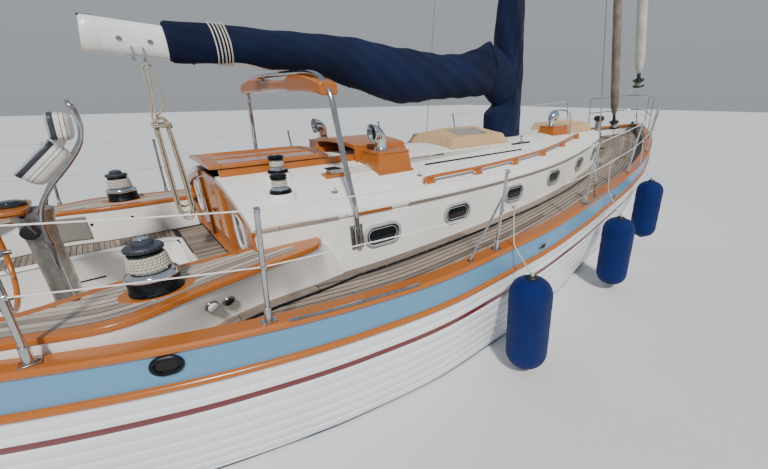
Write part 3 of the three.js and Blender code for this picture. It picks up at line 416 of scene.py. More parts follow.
# Panes: tinted glass mirrors the sky, its dark base colour partly real tint and partly painted shade of the unlit space
# behind it; the hatch's acrylic is clouded by the sun
GLASS_DARK = Finish("dark_glass_with_painted_cabin_shade", "10161b", rough=0.04, coat=1.0, shade="1b2730", patch=0.3)
GLASS_BLUE = Finish("blue_green_glass", "35525b", rough=0.08, coat=0.8, shade="6a8f97", patch=0.12)
ACRYLIC = Finish("clouded_acrylic", "b9a19c", rough=0.22, coat=0.5, shade="8f7672", patch=0.35)
# Window gaskets: pale grey and dull
RUBBER = Finish("grey_window_gasket", "b4b9b9", rough=0.5, shade="969c9b", patch=0.1)
# Woven acrylic canvas: deep colour without gloss, faded where the sun falls
NAVY = Cloth("navy_acrylic_canvas", "030e26", rough=0.85, shade="0a1c42", patch=0.7)
TAN = Cloth("tan_acrylic_canvas", "d3b48c", rough=0.9, shade="bd9c74", patch=0.4)
# Clear vinyl gone milky: a weak, soft mirror
VINYL_PANEL = Finish("clouded_clear_vinyl", "8d8378", rough=0.3, coat=0.3, shade="a2998d", patch=0.2)
# Furled sailcloth, and the weathered strip along its luff: chalky folds
SAIL = Cloth("furled_sailcloth", "d6d3cb", rough=0.8, shade="b9b4aa", patch=0.35)
SAIL_STRIP = Cloth("weathered_luff_canvas", "8f867b", rough=0.9, shade="6d655c", patch=0.2)
# Knitted fender cover: saturated blue, soft and matt
FENDER_CLOTH = Cloth("blue_fender_fabric", "001f62", rough=0.7, shade="00184e", patch=0.5, thread=0.003)
# Braided line: light and dark strands that wind round it
ROPE_BEIGE = Rope("weathered_braid_line", "c6bba6", rough=0.95, shade="8f8470")
ROPE_WHITE = Rope("white_braid_line", "e2ddd0", rough=0.9, shade="a09a8c")
ROPE_GREY = Rope("flecked_dark_line", "5a5955", rough=0.9, shade="2b2b2a")
# Antifouling: matt, chalky and blotched
ANTIFOULING = Finish("matt_antifouling", "2b3a52", rough=0.9, shade="3c4a5e", patch=0.5, bump=0.0004)
# Engine enamel: plain and half dull
ENGINE_GREY = Finish("engine_enamel", "8a9299", rough=0.5, shade="747c83", patch=0.2)
# The studio's floor: pale and even
FLOOR = Finish("pale_studio_floor", "d9dadb", rough=0.9, shade="d4d5d6", patch=4.0)


# Shapes


def table(rows: Sequence[Sequence[float]]) -> Callable[[Any], np.ndarray]:
    """Runs a smooth curve without overshoot through a table.

    Args:
        rows: Rows in millimetres; the first column is the place.

    Returns:
        A function from a place in metres to the other columns in metres.
    """
    data = np.array(rows, float) * MM
    place, value = data[:, 0], data[:, 1:]
    step = np.diff(place)[:, None]
    slope = np.diff(value, axis=0) / step
    steep = np.zeros_like(value)
    same = slope[:-1] * slope[1:] > 0
    with np.errstate(divide="ignore", invalid="ignore"):
        steep[1:-1] = np.where(same, 2 * slope[:-1] * slope[1:] / (slope[:-1] + slope[1:]), 0.0)
    steep[0], steep[-1] = slope[0], slope[-1]

    def read(at: Any) -> np.ndarray:
        """Gives the columns at one place.

        Args:
            at: The place in metres.

        Returns:
            The other columns in metres.
        """
        x = min(max(float(at), place[0]), place[-1])
        i = min(max(int(np.searchsorted(place, x)) - 1, 0), len(place) - 2)
        h = step[i, 0]
        t = (x - place[i]) / h
        a, b = value[i], value[i + 1]
        near = (1 + 2 * t) * (1 - t) ** 2 * a + t * (1 - t) ** 2 * h * steep[i]
        return near + t * t * (3 - 2 * t) * b + t * t * (t - 1) * h * steep[i + 1]

    return read


def through(points: Sequence[Point], steps: int = 8) -> np.ndarray:
    """Runs a smooth curve through points.

    Args:
        points: Places in metres.
        steps: Parts of the curve between two of them.

    Returns:
        The places along the curve.
    """
    p = np.array(points, float)
    p = np.vstack([2 * p[0] - p[1], p, 2 * p[-1] - p[-2]])
    out = []
    for i in range(1, len(p) - 2):
        a, b, c, d = p[i - 1 : i + 3]
        first, second, third = c - a, 2 * a - 5 * b + 4 * c - d, 3 * b - a - 3 * c + d
        for k in range(steps):
            t = k / steps
            out.append(0.5 * (2 * b + first * t + second * t**2 + third * t**3))
    out.append(p[-2])
    return np.array(out)


def rounded(points: Sequence[Point], radius: float, steps: int = 6) -> np.ndarray:
    """Rounds the corners of a line.

    Args:
        points: The line's corners.
        radius: How far from a corner its curve starts.
        steps: Parts of each curve.

    Returns:
        The places along the rounded line.
    """
    p = np.array(points, float)
    out = [p[0]]
    for a, b, c in zip(p, p[1:], p[2:]):
        before, after = np.linalg.norm(b - a), np.linalg.norm(c - b)
        reach = min(radius, before * 0.49, after * 0.49)
        start, end = b + (a - b) / before * reach, b + (c - b) / after * reach
        for k in range(steps + 1):
            t = k / steps
            out.append((1 - t) ** 2 * start + 2 * t * (1 - t) * b + t * t * end)
    out.append(p[-1])
    return np.array(out)


def frames(path: np.ndarray, closed: bool = False, up: Point = (0, 0, 1)) -> tuple[np.ndarray, np.ndarray]:
    """Carries a pair of cross directions along a path without twist.

    Args:
        path: The path's places.
        closed: Whether it is a loop.
        up: A direction that the first pair leans to.

    Returns:
        The side and the upper direction at each place.
    """
    ahead = np.roll(path, -1, axis=0) - np.roll(path, 1, axis=0)
    if not closed:
        ahead[0], ahead[-1] = path[1] - path[0], path[-1] - path[-2]
    ahead /= np.linalg.norm(ahead, axis=1)[:, None]
    lean = np.array(up, float)
    if abs(ahead[0] @ lean) > 0.95:
        lean = np.array((1.0, 0.0, 0.0)) if abs(ahead[0][0]) < 0.9 else np.array((0.0, 1.0, 0.0))
    side = np.cross(ahead[0], lean)
    sides, tops = [], []
    for t in ahead:
        side = side - t * (side @ t)
        side /= np.linalg.norm(side)
        sides.append(side)
        tops.append(np.cross(side, t))
    return np.array(sides), np.array(tops)


def linked(made: bpy.types.Object) -> bpy.types.Object:
    """Links a new object to the scene."""
    bpy.context.scene.collection.objects.link(made)
    return made


def around(count: int, start: float = 0.0) -> np.ndarray:
    """Gives evenly spaced angles once round."""
    return np.linspace(start, math.tau + start, count, endpoint=False)


def length_of(path: Sequence[Point]) -> float:
    """Measures the way along a line of places."""
    return float(np.linalg.norm(np.diff(path, axis=0), axis=1).sum())


def girth_of(ring: Sequence[Point]) -> float:
    """Measures the way once round a ring of places."""
    return sum(math.dist(p, q) for p, q in zip(ring, [*ring[1:], ring[0]]))


def area_of(rows: Sequence[Sequence[Point]], ring: bool = True) -> float:
    """Measures a cloth.

    Args:
        rows: Its rows of points.
        ring: Whether each row closes, as round a tube.

    Returns:
        Its area in square metres.
    """
    total = 0.0
    for a, b in zip(rows, rows[1:]):
        for k in range(len(a) if ring else len(a) - 1):
            n = (k + 1) % len(a)
            p, q, r, s = (np.array(v) for v in (a[k], a[n], b[n], b[k]))
            total += float(np.linalg.norm(np.cross(r - p, s - q))) / 2
    return total


def strake(x: float, side: int, inner: float, outer: float, low: float, high: float) -> list[Point]:
    """Gives the section of a board at one station.

    Args:
        x: The station.
        side: 1 to port, -1 to starboard.
        inner: Distance of its inner edge from the centreline.
        outer: Distance of its outer edge.
        low: Height of its underside.
        high: Height of its top.

    Returns:
        The section's four corners.
    """
    return [(x, side * inner, low), (x, side * outer, low), (x, side * outer, high), (x, side * inner, high)]


def rounded_square(sides: int, power: float) -> list[tuple[float, float]]:
    """Gives the outline of a square with round corners, from -1 to 1.

    Args:
        sides: Its corners.
        power: 1 for a circle, and nearer to 0 the squarer it is.

    Returns:
        The outline's corners.
    """
    bent = lambda v: math.copysign(abs(v) ** power, v)
    return [(bent(math.cos(t)), bent(math.sin(t))) for t in around(sides)]


class Shape:
    """Gathers the closed bodies of one piece, each face with its finish and a map in metres."""

    def __init__(self, finish: Finish) -> None:
        """Starts an empty piece.

        Args:
            finish: The finish of what is added first.
        """
        self.points: list[np.ndarray] = []
        self.faces: list[tuple[int, ...]] = []
        self.charts: list[list[tuple[float, float]]] = []
        self.marks: list[int] = []
        self.finishes: list[Finish] = [finish]
        self.mark = 0
        self.board = 0

    def use(self, finish: Finish) -> "Shape":
        """Sets the finish of what is added next.

        Args:
            finish: That finish.

        Returns:
            The piece itself.
        """
        if finish not in self.finishes:
            self.finishes.append(finish)
        self.mark = self.finishes.index(finish)
        return self

    def island(
        self,
        points: np.ndarray,
        faces: Sequence[Sequence[int]],
        charts: Sequence[Sequence[tuple[float, float]]],
    ) -> None:
        """Adds one closed body, its doubles merged and its faces turned outwards.

        Args:
            points: Its corners.
            faces: Its faces as corner numbers.
            charts: The map of each face's corners.
        """
        keys: dict[tuple[int, ...], int] = {}
        index = [keys.setdefault(tuple(np.round(p * 1e6).astype(int)), len(keys)) for p in points]
        places = np.zeros((len(keys), 3))
        places[index] = points
        kept, maps = [], []
        for face, chart in zip(faces, charts):
            ring, marks = [], []
            for corner, where in zip(face, chart):
                if not ring or ring[-1] != index[corner]:
                    ring.append(index[corner])
                    marks.append(where)
            if len(ring) > 1 and ring[0] == ring[-1]:
                ring.pop()
                marks.pop()
            if len(set(ring)) > 2 and len(set(ring)) == len(ring):
                kept.append(ring)
                maps.append(marks)
        middle = places.mean(axis=0)
        volume = 0.0
        for ring in kept:
            q = places[ring] - middle
            for k in range(1, len(ring) - 1):
                volume += q[0] @ np.cross(q[k], q[k + 1])
        base = sum(len(p) for p in self.points)
        order = slice(None, None, -1 if volume < 0 else 1)
        self.points.append(places)
        for ring, marks in zip(kept, maps):
            self.faces.append(tuple(base + i for i in ring[order]))
            self.charts.append([(u, v + self.board) for u, v in marks[order]])
            self.marks.append(self.mark)
        self.board += 1

    def loft(self, rows: Sequence[Sequence[Point]], looped: bool = False) -> "Shape":
        """Adds a skin over rings of points with equal counts, its ends closed flat.

        Args:
            rows: The rings of points.
            looped: Whether the last ring joins the first, so that there are no ends.

        Returns:
            The piece itself.
        """
        grid = np.array(rows, float)
        n, m = grid.shape[:2]
        flat = grid.reshape(-1, 3)
        along = np.concatenate([[0], np.cumsum(np.linalg.norm(np.diff(grid, axis=0), axis=2).max(axis=1))])
        loop = np.concatenate([grid, grid[:, :1]], axis=1)
        across = np.concatenate([[0], np.cumsum(np.linalg.norm(np.diff(loop, axis=1), axis=2).max(axis=0))])
        faces, charts = [], []
        for i in range(n if looped else n - 1):
            j = (i + 1) % n
            far = along[i + 1] if i + 1 < n else along[i] + np.linalg.norm(grid[i] - grid[j], axis=1).max()
            for k in range(m):
                l = (k + 1) % m
                faces.append((i * m + k, i * m + l, j * m + l, j * m + k))
                u0, u1, v0 = along[i], far, across[k] % BOARD_MAP
                v1 = v0 + across[k + 1] - across[k]
                charts.append([(u0, v0), (u0, v1), (u1, v1), (u1, v0)])
        if not looped:
            for i in (0, n - 1):
                order = range(m) if i else range(m - 1, -1, -1)
                faces.append(tuple(i * m + k for k in order))
                centre = grid[i].mean(axis=0)
                size = grid[i] - centre
                p, q = np.argsort(-np.ptp(size, axis=0))[:2]
                charts.append([(along[i] + size[k][p] * 0.2, 0.4 + size[k][q] * 0.2) for k in order])
        self.island(flat, faces, charts)
        return self

    def tube(self, cloth: Sequence[Sequence[Point]]) -> "Shape":
        """Adds a tube of cloth with its inner face.

        Args:
            cloth: The outer face's rings of points.

        Returns:
            The piece itself.
        """
        inner = []
        for ring in cloth:
            middle = np.mean(ring, axis=0)
            inner.append([tuple(np.array(p) + (middle - p) / np.linalg.norm(middle - p) * CLOTH_THICK) for p in ring])
        return self.loft([*cloth, *inner[::-1]], looped=True)

    def pipe(
        self,
        path: Sequence[Point],
        radius: float | Sequence[float],
        sides: int = 10,
        closed: bool = False,
        dome: bool = False,
        flat: float = 1.0,
    ) -> "Shape":
        """Adds a round bar or tube along a path.

        Args:
            path: Its places.
            radius: One radius, or one for each place.
            sides: Faces round it.
            closed: Whether it is a loop.
            dome: Whether its ends are rounded.
            flat: Height of the section over its width.

        Returns:
            The piece itself.
        """
        line = np.array(path, float)
        sizes = np.full(len(line), float(radius)) if np.isscalar(radius) else np.array(radius, float)
        if dome and not closed:
            first, last = line[0] - line[1], line[-1] - line[-2]
            first, last = first / np.linalg.norm(first), last / np.linalg.norm(last)
            turn = [(math.sin(math.radians(a)), math.cos(math.radians(a))) for a in (80, 55, 28)]
            start = [line[0] + first * sizes[0] * s for s, _ in turn]
            end = [line[-1] + last * sizes[-1] * s for s, _ in turn[::-1]]
            line = np.vstack([start, line, end])
            sizes = np.concatenate([[sizes[0] * c for _, c in turn], sizes, [sizes[-1] * c for _, c in turn[::-1]]])
        side, top = frames(line, closed)
        angle = around(sides)
        cos, sin = np.cos(angle), np.sin(angle) * flat
        rows = [p + r * (np.outer(cos, s) + np.outer(sin, t)) for p, r, s, t in zip(line, sizes, side, top)]
        return self.loft(rows, looped=closed)

    def lathe(
        self, profile: Sequence[tuple[float, float]], place: Point, axis: Point = (0, 0, 1), sides: int = 32
    ) -> "Shape":
        """Adds a turned body.

        Args:
            profile: Radius and height pairs from one end of the axis to the other.
            place: Where height 0 stands.
            axis: The direction of its height.
            sides: Faces round it.

        Returns:
            The piece itself.
        """
        along = np.array(axis, float) / np.linalg.norm(axis)
        start = np.cross(along, (0.0, 0.0, 1.0) if abs(along[2]) < 0.9 else (1.0, 0.0, 0.0))
        start /= np.linalg.norm(start)
        other = np.cross(along, start)
        angle = around(sides)
        round_ = np.outer(np.cos(angle), start) + np.outer(np.sin(angle), other)
        return self.loft([np.array(place, float) + along * h + round_ * r for r, h in profile])

    def turned(self, place: Point, bodies: Sequence[tuple[Finish, int, Sequence[tuple[float, float]]]]) -> "Shape":
        """Adds upright turned bodies on one axis.

        Args:
            place: Where height 0 stands.
            bodies: The finish, the number of sides and the profile of each.

        Returns:
            The piece itself.
        """
        for finish, sides, profile in bodies:
            self.use(finish).lathe(profile, place, sides=sides)
        return self

    def slab(self, low: Point, high: Point) -> "Shape":
        """Adds a board with its grain along its longest side.

        Args:
            low: Its lowest corner.
            high: Its highest corner.

        Returns:
            The piece itself.
        """
        a, b = np.array(low, float), np.array(high, float)
        axis = int(np.argmax(b - a))
        p, q = [i for i in range(3) if i != axis]
        rows = []
        for end in (a[axis], b[axis]):
            row = np.zeros((4, 3))
            row[:, axis] = end
            row[:, p] = (a[p], b[p], b[p], a[p])
            row[:, q] = (a[q], a[q], b[q], b[q])
            rows.append(row)
        return self.loft(rows)

    def prism(self, outline: Sequence[tuple[float, float]], low: float, high: float) -> "Shape":
        """Adds an upright block on a plan outline.

        Args:
            outline: The plan's corners.
            low: Height of its underside.
            high: Height of its top.

        Returns:
            The piece itself.
        """
        return self.loft([[(x, y, z) for x, y in outline] for z in (low, high)])

    def block(self, name: str) -> bpy.types.Object:
        """Makes the bare object with its map and finishes, as a piece or as a body to cut with.

        Args:
            name: The object's name.

        Returns:
            The new object.
        """
        mesh = bpy.data.meshes.new(name)
        mesh.from_pydata(np.vstack(self.points).tolist(), [], self.faces)
        chart = mesh.uv_layers.new(name="UVMap")
        chart.data.foreach_set("uv", np.array([c for face in self.charts for c in face]).ravel())
        for finish in self.finishes:
            mesh.materials.append(finish.material())
        return linked(bpy.data.objects.new(name, mesh))

    def make(
        self,
        name: str,
        body: str = "hull",
        stands_for: Sequence[str] = (),
        bevel: float = 0.0,
        angle: float = SMOOTH_ANGLE,
    ) -> bpy.types.Object:
        """Makes the piece's object, dressed and riding on its body.

        Args:
            name: The piece's name.
            body: The body that it moves with.
            stands_for: The CAD nodes that it replaces.
            bevel: Width of its edges' rounding in metres.
            angle: Edges sharper than this stay sharp.

        Returns:
            The new object.
        """
        made = self.block(name)
        made.data.polygons.foreach_set("material_index", self.marks)
        made.data.shade_smooth()
        made.data.set_sharp_from_angle(angle=angle)
        made.data.update()
        if bevel:
            rounding = made.modifiers.new("rounded_edges", "BEVEL")
            rounding.width = bevel
            rounding.segments = 2
            rounding.limit_method = "ANGLE"
            rounding.angle_limit = math.radians(35)
            rounding.use_clamp_overlap = True
        return place(made, body, stands_for)


def place(made: bpy.types.Object, body: str, stands_for: Sequence[str] = ()) -> bpy.types.Object:
    """Lets an object ride on a body, and hides the CAD nodes that it stands for.

    Args:
        made: The piece.
        body: The body that it moves with, or nothing where it bends between two.
        stands_for: The CAD nodes that it replaces.

    Returns:
        The same object.
    """
    if body:
        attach(made, body)
    if stands_for:
        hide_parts(*stands_for)
    log.info("%s on %s: %d faces", made.name, body, len(made.data.polygons) if made.type == "MESH" else 0)
    return made


def bake(made: bpy.types.Object) -> bpy.types.Mesh:
    """Turns a piece's modifiers into a plain mesh.

    Args:
        made: The piece.

    Returns:
        Its new mesh.
    """
    result = bpy.data.meshes.new_from_object(made.evaluated_get(bpy.context.evaluated_depsgraph_get()))
    made.modifiers.clear()
    made.data = result
    result.name = made.name
    result.set_sharp_from_angle(angle=SMOOTH_ANGLE)
    return result


def cut(made: bpy.types.Object, tools: Sequence[bpy.types.Object]) -> None:
    """Takes other bodies out of a piece, and removes those bodies.

    Args:
        made: The piece, whose mesh is changed.
        tools: The bodies that are taken out.
    """
    for tool in tools:
        step = made.modifiers.new("cut", "BOOLEAN")
        step.operation = "DIFFERENCE"
        step.solver = "EXACT"
        step.material_mode = "TRANSFER"
        step.object = tool
    bake(made)
    for tool in tools:
        bpy.data.objects.remove(tool)


# Geometry node trees for what repeats


class Repeat(Enum):
    """What a tree of geometry nodes makes from the points or lines that it is given."""

    SCREWS = "screws"
    STITCHES = "stitches"
    SLATS = "slats"
    STRIPS = "strips"


def socket(tree: bpy.types.NodeTree, name: str, kind: str, value: Any = None) -> None:
    """Adds a named input to a tree.

    Args:
        tree: The tree of geometry nodes.
        name: The input's name.
        kind: The socket's type.
        value: Its first value.
    """
    made = tree.interface.new_socket(name, in_out="INPUT", socket_type=kind)
    if value is not None:
        made.default_value = value


def repeat_tree(kind: Repeat) -> bpy.types.NodeTree:
    """Builds the tree for one kind of repeated thing.

    Args:
        kind: What the tree makes.

    Returns:
        The tree, built the first time that it is asked for.
    """
    found = bpy.data.node_groups.get(kind.value)
    if found:
        return found
    tree = bpy.data.node_groups.new(kind.value, "GeometryNodeTree")
    socket(tree, "Geometry", "NodeSocketGeometry")
    sizes = {"Width": 0.01, "Height": 0.01, "Length": 0.01, "Pitch": 0.02, "Tilt": 0.0, "Jitter": 0.0}
    for name, value in sizes.items():
        socket(tree, name, "NodeSocketFloat", value)
    socket(tree, "Seed", "NodeSocketInt", SEED)
    socket(tree, "Material", "NodeSocketMaterial")
    tree.interface.new_socket("Geometry", in_out="OUTPUT", socket_type="NodeSocketGeometry")
    given = add(tree, "NodeGroupInput").outputs
    facing = add(tree, "GeometryNodeInputNamedAttribute", {"Name": "facing"},
                 data_type="FLOAT_VECTOR").outputs["Attribute"]
    if kind is Repeat.STRIPS:
        line = add(tree, "GeometryNodeMeshToCurve", {"Mesh": given["Geometry"]}).outputs["Curve"]
        sizes = {"Width": given["Width"], "Height": given["Height"]}
        profile = add(tree, "GeometryNodeCurvePrimitiveQuadrilateral", sizes).outputs["Curve"]
        measure = add(tree, "GeometryNodeSplineParameter").outputs
        number = add(tree, "GeometryNodeInputIndex").outputs["Index"]
        notes = [(0, "along", measure["Length"], "POINT"), (0, "board", number, "CURVE"),
                 (1, "across", measure["Factor"], "POINT")]
        curves = [line, profile]
        for i, label, value, domain in notes:
            links = {"Geometry": curves[i], "Name": label, "Value": value}
            kept = add(tree, "GeometryNodeStoreNamedAttribute", links, data_type="FLOAT", domain=domain)
            curves[i] = kept.outputs["Geometry"]
        links = {"Curve": curves[0], "Profile Curve": curves[1], "Fill Caps": True}
        made = add(tree, "GeometryNodeCurveToMesh", links).outputs["Mesh"]
        along, board, across = (
            add(tree, "GeometryNodeInputNamedAttribute", {"Name": label}, data_type="FLOAT").outputs["Attribute"]
            for label in ("along", "board", "across")
        )
        lane = add(tree, "ShaderNodeMath", {0: across, 1: 0.3, 2: board}, operation="MULTIPLY_ADD").outputs[0]
        chart = add(tree, "ShaderNodeCombineXYZ", {0: along, 1: lane}).outputs["Vector"]
        links = {"Geometry": made, "Name": "UVMap", "Value": chart}
        stored = add(tree, "GeometryNodeStoreNamedAttribute", links, data_type="FLOAT2", domain="CORNER")
        made = stored.outputs["Geometry"]
    else:
        points = given["Geometry"]
        if kind is Repeat.STITCHES:
            line = add(tree, "GeometryNodeMeshToCurve", {"Mesh": points}).outputs["Curve"]
            links = {"Curve": line, "Length": given["Pitch"]}
            spaced = add(tree, "GeometryNodeCurveToPoints", links, mode="LENGTH")
            points, turn = spaced.outputs["Points"], spaced.outputs["Rotation"]
            small = {"Vertices": 6, "Radius": given["Width"], "Depth": given["Length"]}
            thing = add(tree, "GeometryNodeMeshCylinder", small).outputs["Mesh"]
        elif kind is Repeat.SCREWS:
            turn = add(tree, "FunctionNodeAlignRotationToVector", {"Vector": facing}, axis="Z").outputs["Rotation"]
            small = {"Vertices": 12, "Radius": given["Width"], "Depth": given["Height"]}
            thing = add(tree, "GeometryNodeMeshCylinder", small).outputs["Mesh"]
        else:
            turn = add(tree, "FunctionNodeAlignRotationToVector", {"Vector": facing}, axis="Z").outputs["Rotation"]
            size = add(tree, "ShaderNodeCombineXYZ", {0: given["Length"], 1: given["Width"], 2: given["Height"]})
            thing = add(tree, "GeometryNodeMeshCube", {"Size": size.outputs["Vector"]}).outputs["Mesh"]
        spread = {"Max": given["Jitter"], "Seed": given["Seed"]}
        shift = add(tree, "FunctionNodeRandomValue", spread, data_type="FLOAT").outputs[1]
        grow = add(tree, "ShaderNodeMath", {0: 1.0, 1: shift}, operation="SUBTRACT").outputs[0]
        links = {"Points": points, "Instance": thing, "Rotation": turn, "Scale": grow}
        placed = add(tree, "GeometryNodeInstanceOnPoints", links).outputs["Instances"]
        if kind is Repeat.SLATS:
            angle = add(tree, "ShaderNodeCombineXYZ", {0: given["Tilt"]}).outputs["Vector"]
            placed = add(tree, "GeometryNodeRotateInstances",
                         {"Instances": placed, "Rotation": angle}).outputs["Instances"]
        made = placed
    real = add(tree, "GeometryNodeRealizeInstances", {"Geometry": made}).outputs["Geometry"]
    dressed = add(tree, "GeometryNodeSetMaterial",
                  {"Geometry": real, "Material": given["Material"]}).outputs["Geometry"]
    add(tree, "NodeGroupOutput", {"Geometry": dressed})
    return tree


def repeated(
    kind: Repeat,
    name: str,
    finish: Finish,
    places: Sequence[Sequence[Point]],
    body: str = "hull",
    facings: Sequence[Point] = (),
    **sizes: float,
) -> bpy.types.Object:
    """Grows repeated things on points, or along lines, by geometry nodes.

    Args:
        kind: What is made.
        name: The piece's name.
        finish: Its finish.
        places: Points, or lists of points for lines.
        body: The body that it moves with.
        facings: The direction of each point's thing.
        **sizes: The tree's named sizes in metres.

    Returns:
        The new object, its mesh plain.
    """
    mesh = bpy.data.meshes.new(name)
    if kind in (Repeat.STITCHES, Repeat.STRIPS):
        flat, edges = [], []
        for line in places:
            edges += [(len(flat) + i, len(flat) + i + 1) for i in range(len(line) - 1)]
            flat += [tuple(map(float, p)) for p in line]
        mesh.from_pydata(flat, edges, [])
    else:
        mesh.from_pydata([tuple(map(float, p)) for p in places], [], [])
        way = mesh.attributes.new("facing", "FLOAT_VECTOR", "POINT")
        rows = facings if len(facings) == len(places) else [facings[0] if facings else (0, 0, 1)] * len(places)
        way.data.foreach_set("vector", np.array(rows, float).ravel())
    made = linked(bpy.data.objects.new(name, mesh))
    grown = made.modifiers.new("repeat", "NODES")
    grown.node_group = repeat_tree(kind)
    wanted = {**sizes, "Material": finish.material()}
    for item in grown.node_group.interface.items_tree:
        if item.item_type == "SOCKET" and item.in_out == "INPUT" and item.name in wanted:
            grown[item.identifier] = wanted[item.name]
    result = bake(made)
    if not result.materials:
        result.materials.append(finish.material())
    result.shade_smooth()
    result.set_sharp_from_angle(angle=SMOOTH_ANGLE)
    return place(made, body)


# Lines that several pieces follow


@dataclass(frozen=True)
class Lines:
    """The yacht's shape in plan and profile. Table rows are in millimetres.

    Attributes:
        hull: Columns x, half-beam at the sheer, half-beam at the waterline, bottom of the canoe body.
        trunk: Plan of the cabin trunk; columns x, half-width.
        coaming: Plan of a cockpit coaming; columns x, inner y, outer y.
        foot: Foot of a coaming's outer face on the deck; columns x, y.
        footwell: Plan of the footwell; columns x, half-width.
    """

    hull: tuple[tuple[float, ...], ...] = (
        (-5950, 12, 0, 1240), (-5900, 150, 0, 800), (-5750, 290, 0, 430), (-5350, 590, 0, 0),
        (-4900, 870, 440, -300), (-4300, 1210, 860, -500), (-3700, 1500, 1190, -640), (-3100, 1710, 1440, -720),
        (-2400, 1860, 1640, -780), (-1600, 1945, 1750, -800), (-800, 1945, 1740, -810), (0, 1890, 1650, -800),
        (800, 1790, 1510, -770), (1600, 1680, 1350, -720), (2400, 1530, 1150, -650), (3200, 1310, 900, -560),
        (4000, 1040, 630, -430), (4600, 800, 420, -300), (5100, 560, 210, -150), (5450, 360, 0, 0),
        (5700, 190, 0, 430), (5830, 90, 0, 850), (5900, 12, 0, 1420),
    )
    trunk: tuple[tuple[float, ...], ...] = (
        (-2700, 1050), (-1700, 1115), (-500, 1125), (600, 1075), (1500, 950), (2300, 770), (2800, 610),
        (3000, 480), (3080, 280),
    )
    coaming: tuple[tuple[float, ...], ...] = (
        (-5000, 300, 690), (-4800, 640, 805), (-4300, 950, 1090), (-3750, 1060, 1355), (-3400, 980, 1485),
        (-3080, 955, 1395), (-2704, 953, 1300), (-2420, 1060, 1236),
    )
    foot: tuple[tuple[float, ...], ...] = (
        (-5000, 690), (-4300, 1090), (-3750, 1350), (-3400, 1440), (-3200, 1360), (-2950, 1215), (-2700, 1160),
        (-2420, 1140), (-2150, 1107), (-2000, 1098),
    )
    footwell: tuple[tuple[float, ...], ...] = ((-4600, 420), (-4300, 620), (-3050, 640), (-2960, 560))

    def __post_init__(self) -> None:
        """Prepares the smooth curves through the tables."""
        object.__setattr__(self, "_hull", table(self.hull))
        object.__setattr__(self, "_trunk", table(self.trunk))
        object.__setattr__(self, "_coaming", table(self.coaming))
        object.__setattr__(self, "_foot", table(self.foot))
        port = sorted((x, y) for x, y in self.plan(self.trunk, 0.0, 0.012) if y > 0)
        object.__setattr__(self, "_wall", np.array(port))

    def sheer(self, x: float) -> float:
        """Gives the height of the hull's edge."""
        if x < -2.0:
            return 1.0 + 0.035 * (-2.0 - x) ** 1.6
        return 1.0 + 0.49 * ((x + 2.0) / 7.9) ** 1.4

    def beam(self, x: float) -> float:
        """Gives half the width at the hull's edge."""
        return float(self._hull(x)[0])

    def deck(self, x: float, y: float) -> float:
        """Gives the height of the structural deck."""
        return self.sheer(x) - 0.19 + 0.06 * (1 - (y / max(self.beam(x), 0.05)) ** 2)

    def side(self, x: float, z: float) -> float:
        """Gives half the hull's width at a height.

        Args:
            x: The place along the hull.
            z: The height.

        Returns:
            The half-width in metres.
        """
        sheer_half, water_half, bottom = self._hull(x)
        foot = max(bottom, 0.0)
        if z >= foot:
            t = (z - foot) / (self.sheer(x) - foot)
            return float(water_half + (sheer_half - water_half) * (2 * t - t * t))
        return float(water_half * math.sqrt(max(0.0, 1 - (z / bottom) ** 2))) if bottom < 0 else 0.0

    def bottom(self, x: float) -> float:
        """Gives the height of the canoe body's bottom."""
        return float(self._hull(x)[2])

    def roof(self, y: float) -> float:
        """Gives the height of the trunk's roof."""
        return 1.6 - 0.25 * (y / 1.12) ** 2

    def trunk_half(self, x: float) -> float:
        """Gives half the trunk's width."""
        return float(np.interp(x, self._wall[:, 0], self._wall[:, 1]))

    def coaming_at(self, x: float) -> tuple[float, float]:
        """Gives the inner and outer y of a coaming."""
        inner, outer = self._coaming(x)
        return float(inner), float(outer)

    def coaming_foot(self, x: float) -> float:
        """Gives the y where a coaming's outer face meets the deck."""
        return float(self._foot(x)[0])

    def coaming_face(self, x: float, z: float) -> float:
        """Gives the y of a coaming's outer face at a height."""
        top, foot = self.coaming_at(x)[1], self.coaming_foot(x)
        low = self.deck(x, foot)
        return foot + (top - foot) * min(max((z - low) / (1.165 - low), 0.0), 1.0)

    def plan(self, rows: Sequence[Sequence[float]], grow: float = 0.0, nose: float = 0.0) -> list[tuple[float, float]]:
        """Gives a smooth closed plan from a table of half-widths.

        Args:
            rows: Columns x and half-width, in millimetres.
            grow: How far the outline lies outside the table's.
            nose: How far its middle bulges forward.

        Returns:
            Corners from starboard aft round the front to port aft.
        """
        port = [(x * MM, y * MM, 0.0) for x, y in rows]
        line = through([*port, (port[-1][0] + nose, 0.0, 0.0), *[(x, -y, 0.0) for x, y, _ in reversed(port)]], 7)
        side, _ = frames(line)
        moved = line + side * -grow if side[0][1] < 0 else line + side * grow
        return [(float(x), float(y)) for x, y, _ in moved[::-1]]


LINES = Lines()


# The hull and its deck


